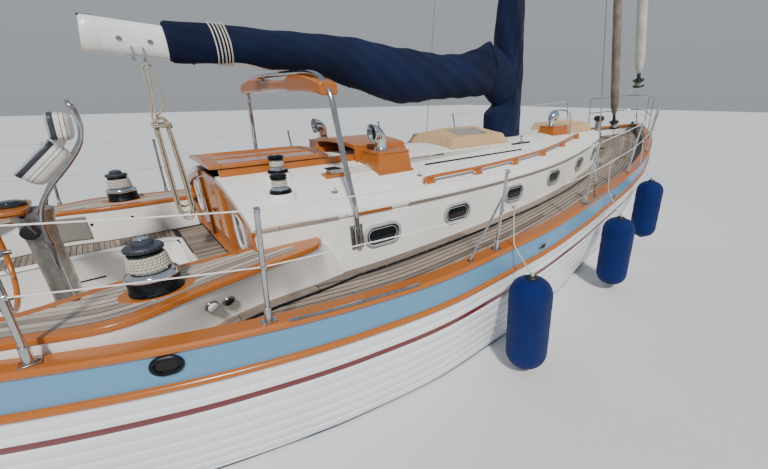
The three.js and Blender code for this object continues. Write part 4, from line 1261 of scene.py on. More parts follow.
@dataclass
class Hull:
    """The planked hull: one skin with its bulwarks, deck, cockpit well and cabin space.

    Attributes:
        plank: Depth of a plank line's groove in metres.
        seams: Heights of the plank lines below the sheer.
        inset: Thickness of the bulwark.
        stations: How many stations the skin has.
    """

    plank: float = 0.0035
    seams: tuple[float, ...] = (0.31, 0.405, 0.50, 0.60, 0.70, 0.80, 0.90, 1.00, 1.10)
    inset: float = BULWARK
    stations: int = 170

    def places(self) -> list[float]:
        """Gives the stations along the hull, closer together at its ends."""
        turn = [math.pi * i / (self.stations - 1) for i in range(self.stations)]
        even = [-5.95 + 11.85 * (1 - math.cos(t)) / 2 for t in turn]
        return [0.55 * e + 0.45 * (-5.95 + 11.85 * i / (self.stations - 1)) for i, e in enumerate(even)]

    def half(self, x: float) -> list[tuple[float, float, float]]:
        """Gives one station's outer line from the sheer down to the keel.

        Args:
            x: The station.

        Returns:
            Half-width, height and depth below the sheer of each point.
        """
        sheer, bottom = LINES.sheer(x), LINES.bottom(x)
        depths = [0.0, 0.06, 0.12, 0.17, 0.205, 0.26]
        for seam in self.seams:
            depths += [seam - 0.006, seam - 0.001, seam + 0.001, seam + 0.006, seam + 0.03]
        rows = []
        for v in depths:
            z = max(sheer - v, bottom)
            groove = self.plank if any(abs(v - s) < 0.002 for s in self.seams) else 0.0
            y = max(LINES.side(x, z) - groove, 0.0)
            rows.append((y, z, v))
        low = rows[-1][1]
        for k in range(1, 11):
            z = low + (bottom - low) * math.sin(math.radians(9 * k))
            rows.append((0.0 if k == 10 else LINES.side(x, z), z, sheer - z))
        return rows

    def skin(self) -> Shape:
        """Lofts the closed body: outside, top edge, bulwark inside and deck.

        Returns:
            The skin.
        """
        rows, depths = [], []
        for x in self.places():
            outer = self.half(x)
            edge = max(LINES.beam(x) - self.inset, 0.0)
            shares = (1.0, 0.8, 0.6, 0.4, 0.2, 0.0)
            top = LINES.sheer(x)
            decks = [(edge * s, min(LINES.deck(x, edge * s), top - 0.02)) for s in shares]
            inner = [(edge, top), *decks]
            port = [(x, y, z) for y, z in inner[::-1]] + [(x, y, z) for y, z, _ in outer]
            starboard = [(x, -y, z) for x, y, z in port[1:-1]]
            rows.append(port + starboard[::-1])
            below = [-0.1] * len(inner) + [v for _, _, v in outer]
            depths.append(below + below[1:-1][::-1])
        last, count = len(rows) - 1, len(rows[0])
        rings = [
            [(i, k), (i, (k + 1) % count), (i + 1, (k + 1) % count), (i + 1, k)]
            for i in range(last) for k in range(count)
        ]
        rings += [[(i, k) for k in range(count)] for i in (0, last)]
        faces = [[a * count + b for a, b in ring] for ring in rings]
        charts = [[(rows[a][b][0], -depths[a][b]) for a, b in ring] for ring in rings]
        shape = Shape(TOPSIDES)
        shape.finishes = [TOPSIDES, CAULK_AND_SHADE, BULWARK_WHITE, CREAM, GELCOAT]
        shape.island(np.array([p for row in rows for p in row]), faces, charts)
        shape.marks = self.marks(shape)
        return shape

    def marks(self, shape: Shape) -> list[int]:
        """Chooses each face's finish by where it lies.

        Args:
            shape: The skin.

        Returns:
            The number of each face's finish.
        """
        points = np.vstack(shape.points)
        marks = []
        for face in shape.faces:
            p = points[list(face)].mean(axis=0)
            beam, sheer = LINES.beam(p[0]), LINES.sheer(p[0])
            inside = abs(p[1]) < beam - self.inset * 0.9 and p[2] > sheer - 0.3
            deck = inside and abs(p[1]) < beam - self.inset - 0.002 and p[2] < sheer - 0.015
            rim = p[2] > sheer - 0.001
            marks.append(1 if deck else 2 if inside or rim else 0)
        return marks

    def build(self) -> None:
        """Makes the hull and takes its hollows out."""
        made = self.skin().make("planked_hull", stands_for=("hull_stern", "hull_middle", "hull_bow"))
        seats = [(-5.0, 0.300), *[(float(x), LINES.coaming_at(float(x))[0]) for x in np.linspace(-4.99, -2.704, 24)]]
        well = [(x * MM, y * MM) for x, y in LINES.footwell]
        both = lambda line: [(x, -y) for x, y in line] + line[::-1]
        hollows = (
            ("cabin_space", LINES.plan(LINES.trunk, -0.042), -0.25, GELCOAT),
            ("seat_space", both(seats), 0.88, CREAM),
            ("well_space", both(well), 0.42, CREAM),
        )
        cut(made, [Shape(finish).prism(plan, low, 2.0).block(name) for name, plan, low, finish in hollows])


@dataclass
class Rails:
    """The varnished caprail, the rub rail and the metal let into them.

    Attributes:
        width: Width of the caprail.
        height: Its height.
        overhang: How far it stands out beyond the hull.
    """

    width: float = 0.13
    height: float = CAP_HEIGHT
    overhang: float = 0.02

    def shares(self, count: int) -> np.ndarray:
        """Gives shares from 0 to 1 that lie closer together at both ends."""
        turn = np.linspace(0, math.pi, count)
        return 0.5 * (1 - np.cos(turn)) * 0.6 + 0.4 * turn / math.pi

    def outward(self, line: np.ndarray) -> np.ndarray:
        """Gives the level direction away from the hull.

        Args:
            line: Places along the starboard side.

        Returns:
            The direction at each place.
        """
        side, _ = frames(line)
        flat = np.column_stack([side[:, :2], np.zeros(len(line))])
        flat /= np.linalg.norm(flat, axis=1)[:, None]
        return flat * -np.sign(flat[len(line) // 2, 1])

    def level(self, x: float) -> float:
        """Gives the height of the rub rail's middle."""
        return LINES.sheer(x) - 0.188

    def edge(self, out: float, lift: float, low: float = -5.94, high: float = 5.89, count: int = 130) -> np.ndarray:
        """Gives the line along the starboard sheer.

        Args:
            out: Distance outside the hull's edge.
            lift: Height above the sheer.
            low: Where it starts.
            high: Where it ends.
            count: Its places.

        Returns:
            Places from the stern to the stem.
        """
        places = low + (high - low) * self.shares(count)
        line = np.array([(x, -LINES.beam(x), LINES.sheer(x)) for x in places])
        moved = line + self.outward(line) * out
        moved[:, 1] = np.minimum(moved[:, 1], -0.004)
        moved[:, 2] = [LINES.sheer(x) + lift for x in moved[:, 0]]
        return moved

    def rail(self, shape: Shape, outer: float, inner: float, low: float, high: float) -> None:
        """Adds a closed rail of rounded section round the whole hull.

        Args:
            shape: The piece that gets it.
            outer: Its outer edge beyond the hull's.
            inner: Its inner edge, alike.
            low: Its underside above the sheer.
            high: Its top above the sheer.
        """
        r = (high - low) * 0.3
        corners = [(outer - r, low), (outer, low + r), (outer, high - r), (outer - r, high)]
        corners += [(inner + r, high), (inner, high - r), (inner, low + r), (inner + r, low)]
        lines = [self.edge(o, h) for o, h in corners]
        starboard = [[line[i] for line in lines] for i in range(len(lines[0]))]
        port = [[(x, -y, z) for x, y, z in row] for row in starboard[::-1]]
        shape.loft(starboard + port, looped=True)

    def build(self) -> None:
        """Makes the caprail, the rub rail and the chafe strips."""
        cap = Shape(VARNISH)
        self.rail(cap, self.overhang, self.overhang - self.width, 0.0006, self.height)
        cap.make("varnished_caprail", stands_for=("caprail",))
        rub = Shape(VARNISH)
        self.rub(rub)
        rub.make("teak_rub_rail", stands_for=("rub_rail",))
        strips = Shape(STAINLESS)
        for x0, x1 in ((-2.78, -2.05), (0.05, 0.62), (1.9, 2.5)):
            for side in (1, -1):
                line = self.edge(0.005, self.height + 0.0035, x0, x1, 14) * (1, side, 1)
                strips.pipe(line, 0.016, 8, dome=True, flat=0.3)
        strips.make("chafe_strips")
        bolts, ways = [], []
        for i in range(40):
            x = -5.6 + i * 0.285
            level = self.level(x)
            for side in (1, -1):
                bolts.append((x, side * -(LINES.side(x, level) + 0.0265), level))
                ways.append((0, -side, 0.0))
        repeated(Repeat.SCREWS, "rub_rail_plugs", TEAK_DARK, bolts, facings=ways, Width=0.008, Height=0.0022)

    def rub(self, shape: Shape) -> None:
        """Adds the rub rail, which lies against the topsides below the deck's edge.

        Args:
            shape: The piece that gets it.
        """
        rows = []
        places = -5.915 + 11.785 * self.shares(120)
        line = np.array([(x, -LINES.side(x, self.level(x)), self.level(x)) for x in places])
        section = [(-0.03, -0.021), (0.012, -0.021), (0.022, -0.014), (0.027, -0.004), (0.027, 0.004), (0.022, 0.014)]
        section += [(0.012, 0.021), (-0.03, 0.021)]
        for p, out in zip(line, self.outward(line)):
            row = [p + out * o + np.array((0, 0, h)) for o, h in section]
            rows.append([(x, min(y, -0.0005), z) for x, y, z in row])
        port = [[(x, -y, z) for x, y, z in row] for row in rows[::-1]]
        shape.loft(rows + port, looped=True)


@dataclass
class Deck:
    """The laid teak deck: planks that follow the hull's edge, margin boards and a king plank.

    Attributes:
        pitch: Distance from plank to plank.
        seam: Width of the caulking.
        thickness: Thickness of the teak.
        margin: Width of the board along the bulwark.
        foot: Width of the board along the trunk.
        step: Distance between the places along a plank.
    """

    pitch: float = 0.052
    seam: float = 0.009
    thickness: float = 0.012
    margin: float = 0.10
    foot: float = 0.095
    step: float = 0.05

    def limit(self, x: float) -> float:
        """Gives how near to the centreline the planks may come.

        Args:
            x: The place along the yacht.

        Returns:
            That distance in metres.
        """
        if x < -5.0 or x > 3.08:
            return 0.05
        if x < -2.42:
            return LINES.coaming_foot(x) + self.foot / 2 + 0.02
        return LINES.trunk_half(x) + self.foot / 2

    def lanes(self) -> list[list[Point]]:
        """Gives the planks' middle lines, broken at butt joints of random place.

        Returns:
            Lines of places on the deck.
        """
        chance = random.Random(SEED)
        lines = []
        for k in range(36):
            inset = BULWARK + self.margin + self.pitch * (k + 0.5)
            for side in (1, -1):
                run: list[Point] = []
                lines.append(run)
                left = chance.uniform(1.0, 2.6)
                for i in range(236):
                    x = -5.85 + self.step * i
                    y = LINES.beam(x) - inset
                    if y < self.limit(x) or (x < -4.99 and y < 0.05):
                        run = []
                        lines.append(run)
                        continue
                    run.append((x, side * y, LINES.deck(x, y) + self.thickness / 2))
                    left -= self.step
                    if left < 0:
                        run = [(x + 0.005, side * y, LINES.deck(x, y) + self.thickness / 2)]
                        lines.append(run)
                        left = chance.uniform(1.8, 2.9)
        return [run for run in lines if len(run) > 2]

    def board(self, shape: Shape, inner: Callable[[float], float], outer: Callable[[float], float],
              low: float, high: float, lift: float) -> None:
        """Adds a pair of boards between two plan lines.

        Args:
            shape: The piece that gets them.
            inner: Half-width of the inner edge.
            outer: Half-width of the outer edge.
            low: Where they start.
            high: Where they end.
            lift: Height of their top above the deck.
        """
        bed = 0.001
        cuts = [low, *[low + (high - low) * f for f in (0.27, 0.55, 0.8)], high]
        for side in (1, -1):
            for a, b in zip(cuts, cuts[1:]):
                rows = []
                for x in np.linspace(a, b - 0.004, max(6, int((b - a) / 0.09))):
                    p, q = inner(x), max(outer(x), inner(x) + 0.002)
                    under = [(x, side * y, LINES.deck(x, y) + bed) for y in (p, q)]
                    rows.append(under + [(x, y, z + lift - bed) for x, y, z in under[::-1]])
                shape.loft(rows)

    def caulking(self) -> None:
        """Makes the black bed whose top stands in the seams, a millimetre below the planks."""
        bed = Shape(CAULK_AND_SHADE)
        for side in (1, -1):
            rows = []
            for x in np.linspace(-5.74, 5.6, 130):
                outer = LINES.beam(x) - 0.09
                ys = np.linspace(min(max(self.limit(x) - 0.03, 0.001), outer - 0.01), outer, 9)
                top = [(x, side * y, LINES.deck(x, y) + 0.0108) for y in ys]
                rows.append(top + [(x, side * y, LINES.deck(x, y) + 0.001) for y in ys[::-1]])
            bed.loft(rows)
        bed.make("deck_caulking")

    def build(self) -> None:
        """Makes the planks by geometry nodes, and the boards round them."""
        self.caulking()
        width = self.pitch - self.seam
        repeated(Repeat.STRIPS, "deck_planks", TEAK_GREY, self.lanes(), Width=width, Height=self.thickness)
        rim = Shape(TEAK_DARK)
        top = 0.0135
        edge = lambda x: max(LINES.beam(x) - 0.0705, 0.012)
        self.board(rim, lambda x: max(LINES.beam(x) - BULWARK - self.margin + 0.004, 0.01), edge, -5.85, 5.78, top)
        trunk = lambda x: LINES.trunk_half(x) + 0.001
        self.board(rim, trunk, lambda x: LINES.trunk_half(x) + self.foot, -2.40, 3.02, top + 0.001)
        foot = lambda x: LINES.coaming_foot(x) - 0.004
        self.board(rim, foot, lambda x: LINES.coaming_foot(x) + self.foot, -4.98, -2.404, top + 0.001)
        rim.slab((3.075, -0.30, LINES.deck(3.12, 0) - 0.01), (3.165, 0.30, LINES.deck(3.12, 0) + top))
        for x0, x1, count, half in ((3.165, 4.3, 14, 0.075), (4.304, 5.72, 14, 0.075), (-5.74, -5.02, 10, 0.07)):
            rows = []
            for x in np.linspace(x0, x1, count):
                w, z = min(half, max(LINES.beam(x) - 0.08, 0.01)), LINES.deck(x, 0)
                rows.append(strake(x, 1, -w, w, z, z + top))
            rim.loft(rows)
        rim.make("deck_margins", stands_for=("teak_deck",))


# The cabin trunk


def oval(length: float, height: float, sides: int = 28) -> list[tuple[float, float]]:
    """Gives a round-ended outline, as of a portlight.

    Args:
        length: Its length.
        height: Its height.
        sides: Its corners.

    Returns:
        Corners as distances along and up from its middle.
    """
    straight, r = (length - height) / 2, height / 2
    out = []
    for i in range(sides):
        t = math.tau * (i + 0.5) / sides
        out.append((math.copysign(straight, math.cos(t)) + r * math.cos(t), r * math.sin(t)))
    return out


@dataclass
class Trunk:
    """The cabin trunk: painted walls with their portlights, a cambered roof and teak mouldings.

    Attributes:
        portlights: Columns x and z of the middle, in millimetres.
        wall: Thickness of the walls.
    """

    portlights: tuple[tuple[float, float], ...] = (
        (-1790, 1095), (-970, 1105), (-90, 1135), (780, 1180), (1640, 1230), (2400, 1280),
    )
    wall: float = 0.04

    def walls(self) -> None:
        """Makes the sides and the rounded front."""
        shape = Shape(GELCOAT)
        outer = LINES.plan(LINES.trunk, 0.0, 0.012)
        inner = LINES.plan(LINES.trunk, -self.wall, 0.012)
        rows = []
        for (x, y), (u, v) in zip(outer, inner):
            low, high = LINES.deck(x, y) - 0.03, LINES.roof(y) - 0.03
            rows.append([(x, y, low), (x, y, high), (u, v, high), (u, v, low)])
        shape.loft(rows)
        shape.make("trunk_walls", stands_for=("trunk_side_port", "trunk_side_starboard", "trunk_front"))

    def moulding(self) -> None:
        """Makes the grey teak moulding under the roof's edge, and the stretch that is varnished."""
        line = LINES.plan(LINES.trunk, 0.0, 0.012)
        path, _ = frames(np.array([(x, y, 0.0) for x, y in line]))
        path *= np.sign(path[3][1]) * np.sign(line[3][1])
        section = ((0.0, -0.062), (0.014, -0.06), (0.021, -0.05), (0.021, -0.034), (0.0, -0.03))
        for name, finish, chosen in (
            ("trunk_moulding", TEAK_PALE, lambda x: not -2.1 < x < -1.62),
            ("varnished_moulding", VARNISH, lambda x: -2.1 <= x <= -1.62),
        ):
            shape = Shape(finish)
            runs: list[list[list[Point]]] = [[]]
            for (x, y), side in zip(line, path):
                if chosen(x):
                    z = LINES.roof(y)
                    runs[-1].append([(x + side[0] * o, y + side[1] * o, z + h) for o, h in section])
                else:
                    runs.append([])
            for run in runs:
                if len(run) > 1:
                    shape.loft(run)
            shape.make(name)

    def roof(self) -> None:
        """Makes the cambered roof with its hatchway."""
        shape = Shape(GELCOAT)
        outline = LINES.plan(LINES.trunk, 0.017, 0.012)
        port = sorted((x, y) for x, y in outline if y > 0)
        nose = max(x for x, _ in outline)
        xs, ys = [p[0] for p in port] + [nose], [p[1] for p in port] + [0.004]
        rows = []
        ends = [-2.715 + 0.012 * i for i in range(3)]
        for x in [*ends, *np.linspace(-2.6, 2.9, 56), *np.linspace(2.93, nose, 16)]:
            half = float(np.interp(x, xs, ys))
            shares = [math.sin(t) for t in np.linspace(-math.pi / 2, math.pi / 2, 21)]
            top = [(x, half * s, LINES.roof(half * s)) for s in shares]
            round_edge = [(x, half + 0.004, LINES.roof(half) - 0.014), (x, half + 0.003, LINES.roof(half) - 0.03)]
            other = [(x, -y, z) for x, y, z in round_edge[::-1]]
            under = [(x, half * s, LINES.roof(half * s) - 0.042) for s in shares[::-1]]
            rows.append(top + round_edge + under + other)
        shape.loft(rows)
        made = shape.make("cabin_roof", stands_for=("trunk_roof",))
        cut(made, [Shape(GELCOAT).slab((-2.9, -0.33, 1.2), (-1.84, 0.33, 2.0)).block("hatchway")])

    def portlight(self, shapes: dict[str, Shape], x: float, z: float, side: int) -> None:
        """Adds one portlight: a gasket, a bright frame, dark glass and the inner frame behind it.

        Args:
            shapes: The pieces that get its parts.
            x: Its place along the trunk.
            z: Its height.
            side: 1 to port, -1 to starboard.
        """
        slope = (LINES.trunk_half(x + 0.05) - LINES.trunk_half(x - 0.05)) / 0.1
        along = np.array((1.0, side * slope, 0.0)) / math.hypot(1.0, slope)
        out = np.array((-slope, side, 0.0)) / math.hypot(1.0, slope)
        centre = np.array((x, side * LINES.trunk_half(x), z))
        layers = (
            ("gasket", 0.350, 0.200, 0.300, 0.150, 0.014),
            ("frame", 0.332, 0.182, 0.296, 0.146, 0.021),
            ("glass", 0.300, 0.150, 0.0, 0.0, 0.008),
            ("inner", 0.268, 0.118, 0.250, 0.100, 0.0105),
        )
        for name, long, tall, hole, low, proud in layers:
            section = [(long, tall, 0.0), (long, tall, proud * 0.6), (long - 0.006, tall - 0.006, proud)]
            if hole:
                section += [(hole + 0.006, low + 0.006, proud), (hole, low, proud * 0.6), (hole, low, 0.0)]
            rings = [
                [tuple(centre + along * u + np.array((0, 0, v)) + out * (h - 0.002)) for u, v in oval(a, b)]
                for a, b, h in section
            ]
            if hole:
                shapes[name].loft(list(zip(*rings)), looped=True)
            else:
                shapes[name].loft(rings)

    def build(self) -> None:
        """Makes the trunk and its portlights."""
        self.walls()
        self.moulding()
        self.roof()
        finishes = {"gasket": RUBBER, "frame": RUBBER, "glass": GLASS_DARK, "inner": RUBBER}
        shapes = {name: Shape(finish) for name, finish in finishes.items()}
        for x, z in self.portlights:
            for side in (1, -1):
                self.portlight(shapes, x * MM, z * MM, side)
        for name, shape in shapes.items():
            shape.make(f"portlight_{name}")
        screws, ways = [], []
        for i in range(34):
            x = -2.55 + i * 0.157
            for side in (1, -1):
                screws.append((x, side * (LINES.trunk_half(x) + 0.021), LINES.roof(LINES.trunk_half(x)) - 0.042))
                ways.append((0, side, 0))
        repeated(Repeat.SCREWS, "moulding_screws", CAULK_AND_SHADE, screws, facings=ways, Width=0.004, Height=0.003)


@dataclass
class Handrails:
    """The varnished handrails on the roof: a rail on rounded blocks, its ends curved down.

    Attributes:
        posts: Columns x and y of the blocks, in millimetres.
    """

    posts: tuple[tuple[float, float], ...] = (
        (-1200, 1010), (-560, 1000), (90, 965), (740, 900), (1390, 780), (2040, 620),
    )

    def build(self) -> None:
        """Makes both handrails."""
        for side, name in ((1, "port"), (-1, "starboard")):
            shape = Shape(VARNISH)
            tops = [(x * MM, side * y * MM, LINES.roof(y * MM) + 0.062) for x, y in self.posts]
            first, last = tops[0], tops[-1]
            tops = [(first[0] - 0.05, first[1], first[2] - 0.03), *tops, (last[0] + 0.05, last[1], last[2] - 0.03)]
            shape.pipe(through(tops, 7), 0.0185, 10, dome=True, flat=0.85)
            for x, y, z in tops[1:-1]:
                base = LINES.roof(y)
                rows = []
                for share, grow in ((0.0, 1.45), (0.25, 1.15), (0.6, 0.9), (1.0, 1.25)):
                    h = base + 0.0005 + (z - base - 0.008) * share
                    ring = [(0.055 * grow * math.cos(t), 0.017 * grow * math.sin(t)) for t in around(14)]
                    rows.append([(x + a, y + b, h) for a, b in ring])
                shape.loft(rows)
            shape.make(f"handrail_rail_{name}", stands_for=(f"handrail_{name}",))


@dataclass
class Companionway:
    """The teak aft bulkhead with its trim and ports, the louvred doors, the sliding hatch and the sea hood.

    Attributes:
        aft: The bulkhead's after face.
        forward: Its forward face.
        half: Half the doorway's width.
        sill: Height of the seats that it stands on.
    """

    aft: float = -2.70
    forward: float = -2.66
    half: float = 0.33
    sill: float = 0.8812

    def bulkhead(self) -> None:
        """Makes the panel in boards round the doorway, with a crown trim along its top."""
        shape = Shape(VARNISH)
        for side in (1, -1):
            rows = []
            for y in np.linspace(self.half, 1.048, 9):
                low, high = (side * y, self.sill), (side * y, LINES.roof(y) - 0.03)
                rows.append([(self.aft, *low), (self.forward, *low), (self.forward, *high), (self.aft, *high)])
            shape.loft(rows)
        shape.slab((self.aft, -self.half, self.sill), (self.forward, self.half, 0.95))
        shape.make("aft_bulkhead_panel", stands_for=("aft_bulkhead",), bevel=0.002)
        trim = Shape(VARNISH)
        for side in (1, -1):
            arch = [(self.aft - 0.006, side * y, LINES.roof(y) - 0.066) for y in np.linspace(0.345, 1.06, 12)]
            self.bar(trim, arch, 0.012, 0.024)
            jamb = [(self.aft - 0.008, side * 0.352, z) for z in (0.95, 1.2, 1.47)]
            self.bar(trim, jamb, 0.011, 0.017)
            corner = [(self.aft - 0.005, side * 1.03, z) for z in (0.89, 1.1, 1.315)]
            self.bar(trim, corner, 0.010, 0.02)
            foot = [(self.aft - 0.005, side * y, 0.905) for y in (0.37, 0.7, 1.01)]
            self.bar(trim, foot, 0.010, 0.02)
        trim.slab((self.aft - 0.035, -0.36, 0.935), (self.aft + 0.03, 0.36, 0.9565))
        trim.make("bulkhead_trim", bevel=0.003)
        rims, glass = Shape(WHITE_PLASTIC), Shape(GLASS_BLUE)
        for side in (1, -1):
            curve = rounded_square(40, 0.6)
            ring = lambda out, r: [(self.aft - out, side * 0.69 + r * a, 1.24 + r * 1.42 * b) for a, b in curve]
            for r, tube in ((0.1, 0.008), (0.08, 0.004)):
                rims.pipe(ring(0.005, r), tube, 8, closed=True)
            glass.loft([ring(out, r) for out, r in ((0.0008, 0.097), (0.004, 0.096), (0.0045, 0.02))])
        rims.make("bulkhead_port_rims")
        glass.make("bulkhead_port_glass")

    def bar(self, shape: Shape, path: Sequence[Point], deep: float, tall: float) -> None:
        """Adds a flat bar along a line on the bulkhead's aft face.

        Args:
            shape: The piece that gets it.
            path: Its middle line.
            deep: Half its thickness.
            tall: Half its width.
        """
        line = np.array(path, float)
        ahead = np.gradient(line, axis=0)
        ahead /= np.linalg.norm(ahead, axis=1)[:, None]
        rows = []
        for p, t in zip(line, ahead):
            across = np.cross(t, (1.0, 0.0, 0.0))
            ring = [(-deep, -tall), (deep, -tall), (deep, tall), (-deep, tall)]
            rows.append([p + np.array((a, 0, 0)) + across * b for a, b in ring])
        shape.loft(rows)

    def door(self, side: int) -> None:
        """Makes one louvred door: stiles, rails, slats and a brass pull.

        Args:
            side: 1 to port, -1 to starboard.
        """
        name = "door_port" if side > 0 else "door_starboard"
        x0, x1 = self.aft, self.aft + 0.028
        shape = Shape(VARNISH)
        low, high = 0.957, 1.545
        near, far = 0.006, 0.323
        for y0, y1 in ((near, near + 0.056), (far - 0.06, far)):
            shape.slab((x0, min(side * y0, side * y1), low), (x1, max(side * y0, side * y1), high))
        for z0, z1 in ((low, low + 0.085), (high - 0.09, high)):
            ends = sorted((side * (near + 0.0565), side * (far - 0.0605)))
            shape.slab((x0 + 0.0005, ends[0], z0), (x1 - 0.0005, ends[1], z1))
        shape.make(f"louvred_{name}", body=name, stands_for=(name,), bevel=0.003)
        # A black sheet behind the slats: painted shade of the dark cabin seen between them.
        back = Shape(CAULK_AND_SHADE)
        ends = sorted((side * (near + 0.055), side * (far - 0.059)))
        back.slab((x1 - 0.006, ends[0], low + 0.084), (x1 - 0.002, ends[1], high - 0.089))
        back.make(f"painted_shade_behind_louvres_{name}", body=name)
        middle = side * (near + far - 0.004) / 2
        slats = [(x0 + 0.011, middle, low + 0.098 + 0.0262 * i) for i in range(16)]
        repeated(Repeat.SLATS, f"louvres_{name}", VARNISH_LIGHT, slats, body=name, facings=[(-0.55, 0, 0.83)],
                 Length=0.026, Width=0.199, Height=0.006)
        metal = Shape(BRONZE)
        metal.lathe([(0, 0), (0.012, 0), (0.012, 0.004), (0.006, 0.008), (0.006, 0.018), (0.014, 0.024), (0.0, 0.03)],
                    (x0, side * (near + 0.028), 1.25), (-1, 0, 0), 16)
        metal.make(f"pull_{name}", body=name)

    def hatch(self) -> None:
        """Makes the sliding hatch: a teak frame and battens round clouded acrylic."""
        crown = lambda y, lift: 1.632 + 0.006 + lift + 0.022 * (1 - (abs(y) / 0.38) ** 2)
        teak, under = Shape(VARNISH), 1.6385
        for x0, x1 in ((-2.745, -2.665), (-1.905, -1.84)):
            rows = []
            for y in np.linspace(-0.38, 0.38, 13):
                top = crown(y, 0.027)
                rows.append([(x0, y, under), (x1, y, under), (x1, y, top), (x0, y, top)])
            teak.loft(rows)
        for y0, y1 in ((-0.38, -0.318), (0.318, 0.38), (-0.13, -0.1), (0.1, 0.13)):
            self.arched(teak, (-2.6645, -1.9055), np.linspace(y0, y1, 3), lambda y: under, lambda y: crown(y, 0.0275))
        teak.make("hatch_frame", body="hatch", stands_for=("sliding_hatch",), bevel=0.004)
        pane, inner = Shape(ACRYLIC), np.linspace(-0.322, 0.322, 11)
        self.arched(pane, (-2.67, -1.9), inner, lambda y: crown(y, 0.004), lambda y: crown(y, 0.016))
        pane.make("hatch_pane", body="hatch")
        pull = Shape(VARNISH)
        pull.slab((-2.7448, -0.16, 1.6672), (-2.727, 0.16, 1.6925))
        pull.make("hatch_pull", body="hatch", bevel=0.004)

    def arched(self, shape: Shape, ends: Sequence[float], cols: np.ndarray, low: Callable[[float], float],
               high: Callable[[float], float]) -> None:
        """Adds a lengthwise plank whose section follows two crowned lines.

        Args:
            shape: The piece that gets it.
            ends: Its two ends.
            cols: Places across it.
            low: Height of its underside by y.
            high: Height of its top by y.
        """
        shape.loft([[(x, y, low(y)) for y in cols] + [(x, y, high(y)) for y in cols[::-1]] for x in ends])

    def rails(self) -> None:
        """Makes the rails that the hatch slides on, and their stop."""
        shape = Shape(VARNISH)
        for side in (1, -1):
            y0, y1 = sorted((side * 0.335, side * 0.365))
            low = LINES.roof(0.365) + PROUD
            shape.slab((-2.685, y0, low), (-1.06, y1, 1.632))
        shape.slab((-1.09, -0.334, LINES.roof(0.0) + PROUD), (-1.06, 0.334, 1.632))
        shape.make("hatch_slides", stands_for=("hatch_rails",), bevel=0.003)

    def hood(self) -> None:
        """Makes the sea hood: teak planks over a cambered frame, its front sloping."""
        shape = Shape(VARNISH)
        half = 0.42
        top = lambda y: 1.745 - 0.028 * (y / half) ** 2
        edges = np.linspace(-half, half, 10)
        for y0, y1 in zip(edges, edges[1:]):
            plank = np.array((y0 + 0.0015, y1 - 0.0015))
            self.arched(shape, (-1.59, -1.06), plank, lambda y: top(y) - 0.035, top)
        front = []
        for y in np.linspace(-half, half, 9):
            low, high = LINES.roof(y) + PROUD, top(y)
            front.append([(-1.035, y, low), (-0.985, y, low), (-1.055, y, high), (-1.06, y, high),
                          (-1.06, y, high - 0.03)])
        shape.loft(front)
        low = LINES.roof(0.404) + PROUD
        for side in (1, -1):
            y0, y1 = sorted((side * 0.388, side * half))
            ends = ((-1.59, 0.0), (-1.0355, -0.02))
            shape.loft([[(x, y0, low), (x, y1, low), (x + lean, y1, 1.684), (x + lean, y0, 1.684)] for x, lean in ends])
        lip = []
        for y in np.linspace(-half, half, 13):
            low, high = top(y) - 0.034, top(y) + 0.003
            lip.append([(-1.60, y, low), (-1.576, y, low), (-1.576, y, high), (-1.60, y, high)])
        shape.loft(lip)
        shape.make("sea_hood_planks", stands_for=("sea_hood",), bevel=0.003)
        dark = Shape(CAULK_AND_SHADE)
        across = np.linspace(-0.41, 0.41, 9)
        self.arched(dark, (-1.588, -1.062), across, lambda y: top(y) - 0.033, lambda y: top(y) - 0.002)
        dark.make("sea_hood_seams")

    def build(self) -> None:
        """Makes the whole companionway."""
        self.bulkhead()
        self.door(1)
        self.door(-1)
        self.rails()
        self.hatch()
        self.hood()


# The cockpit


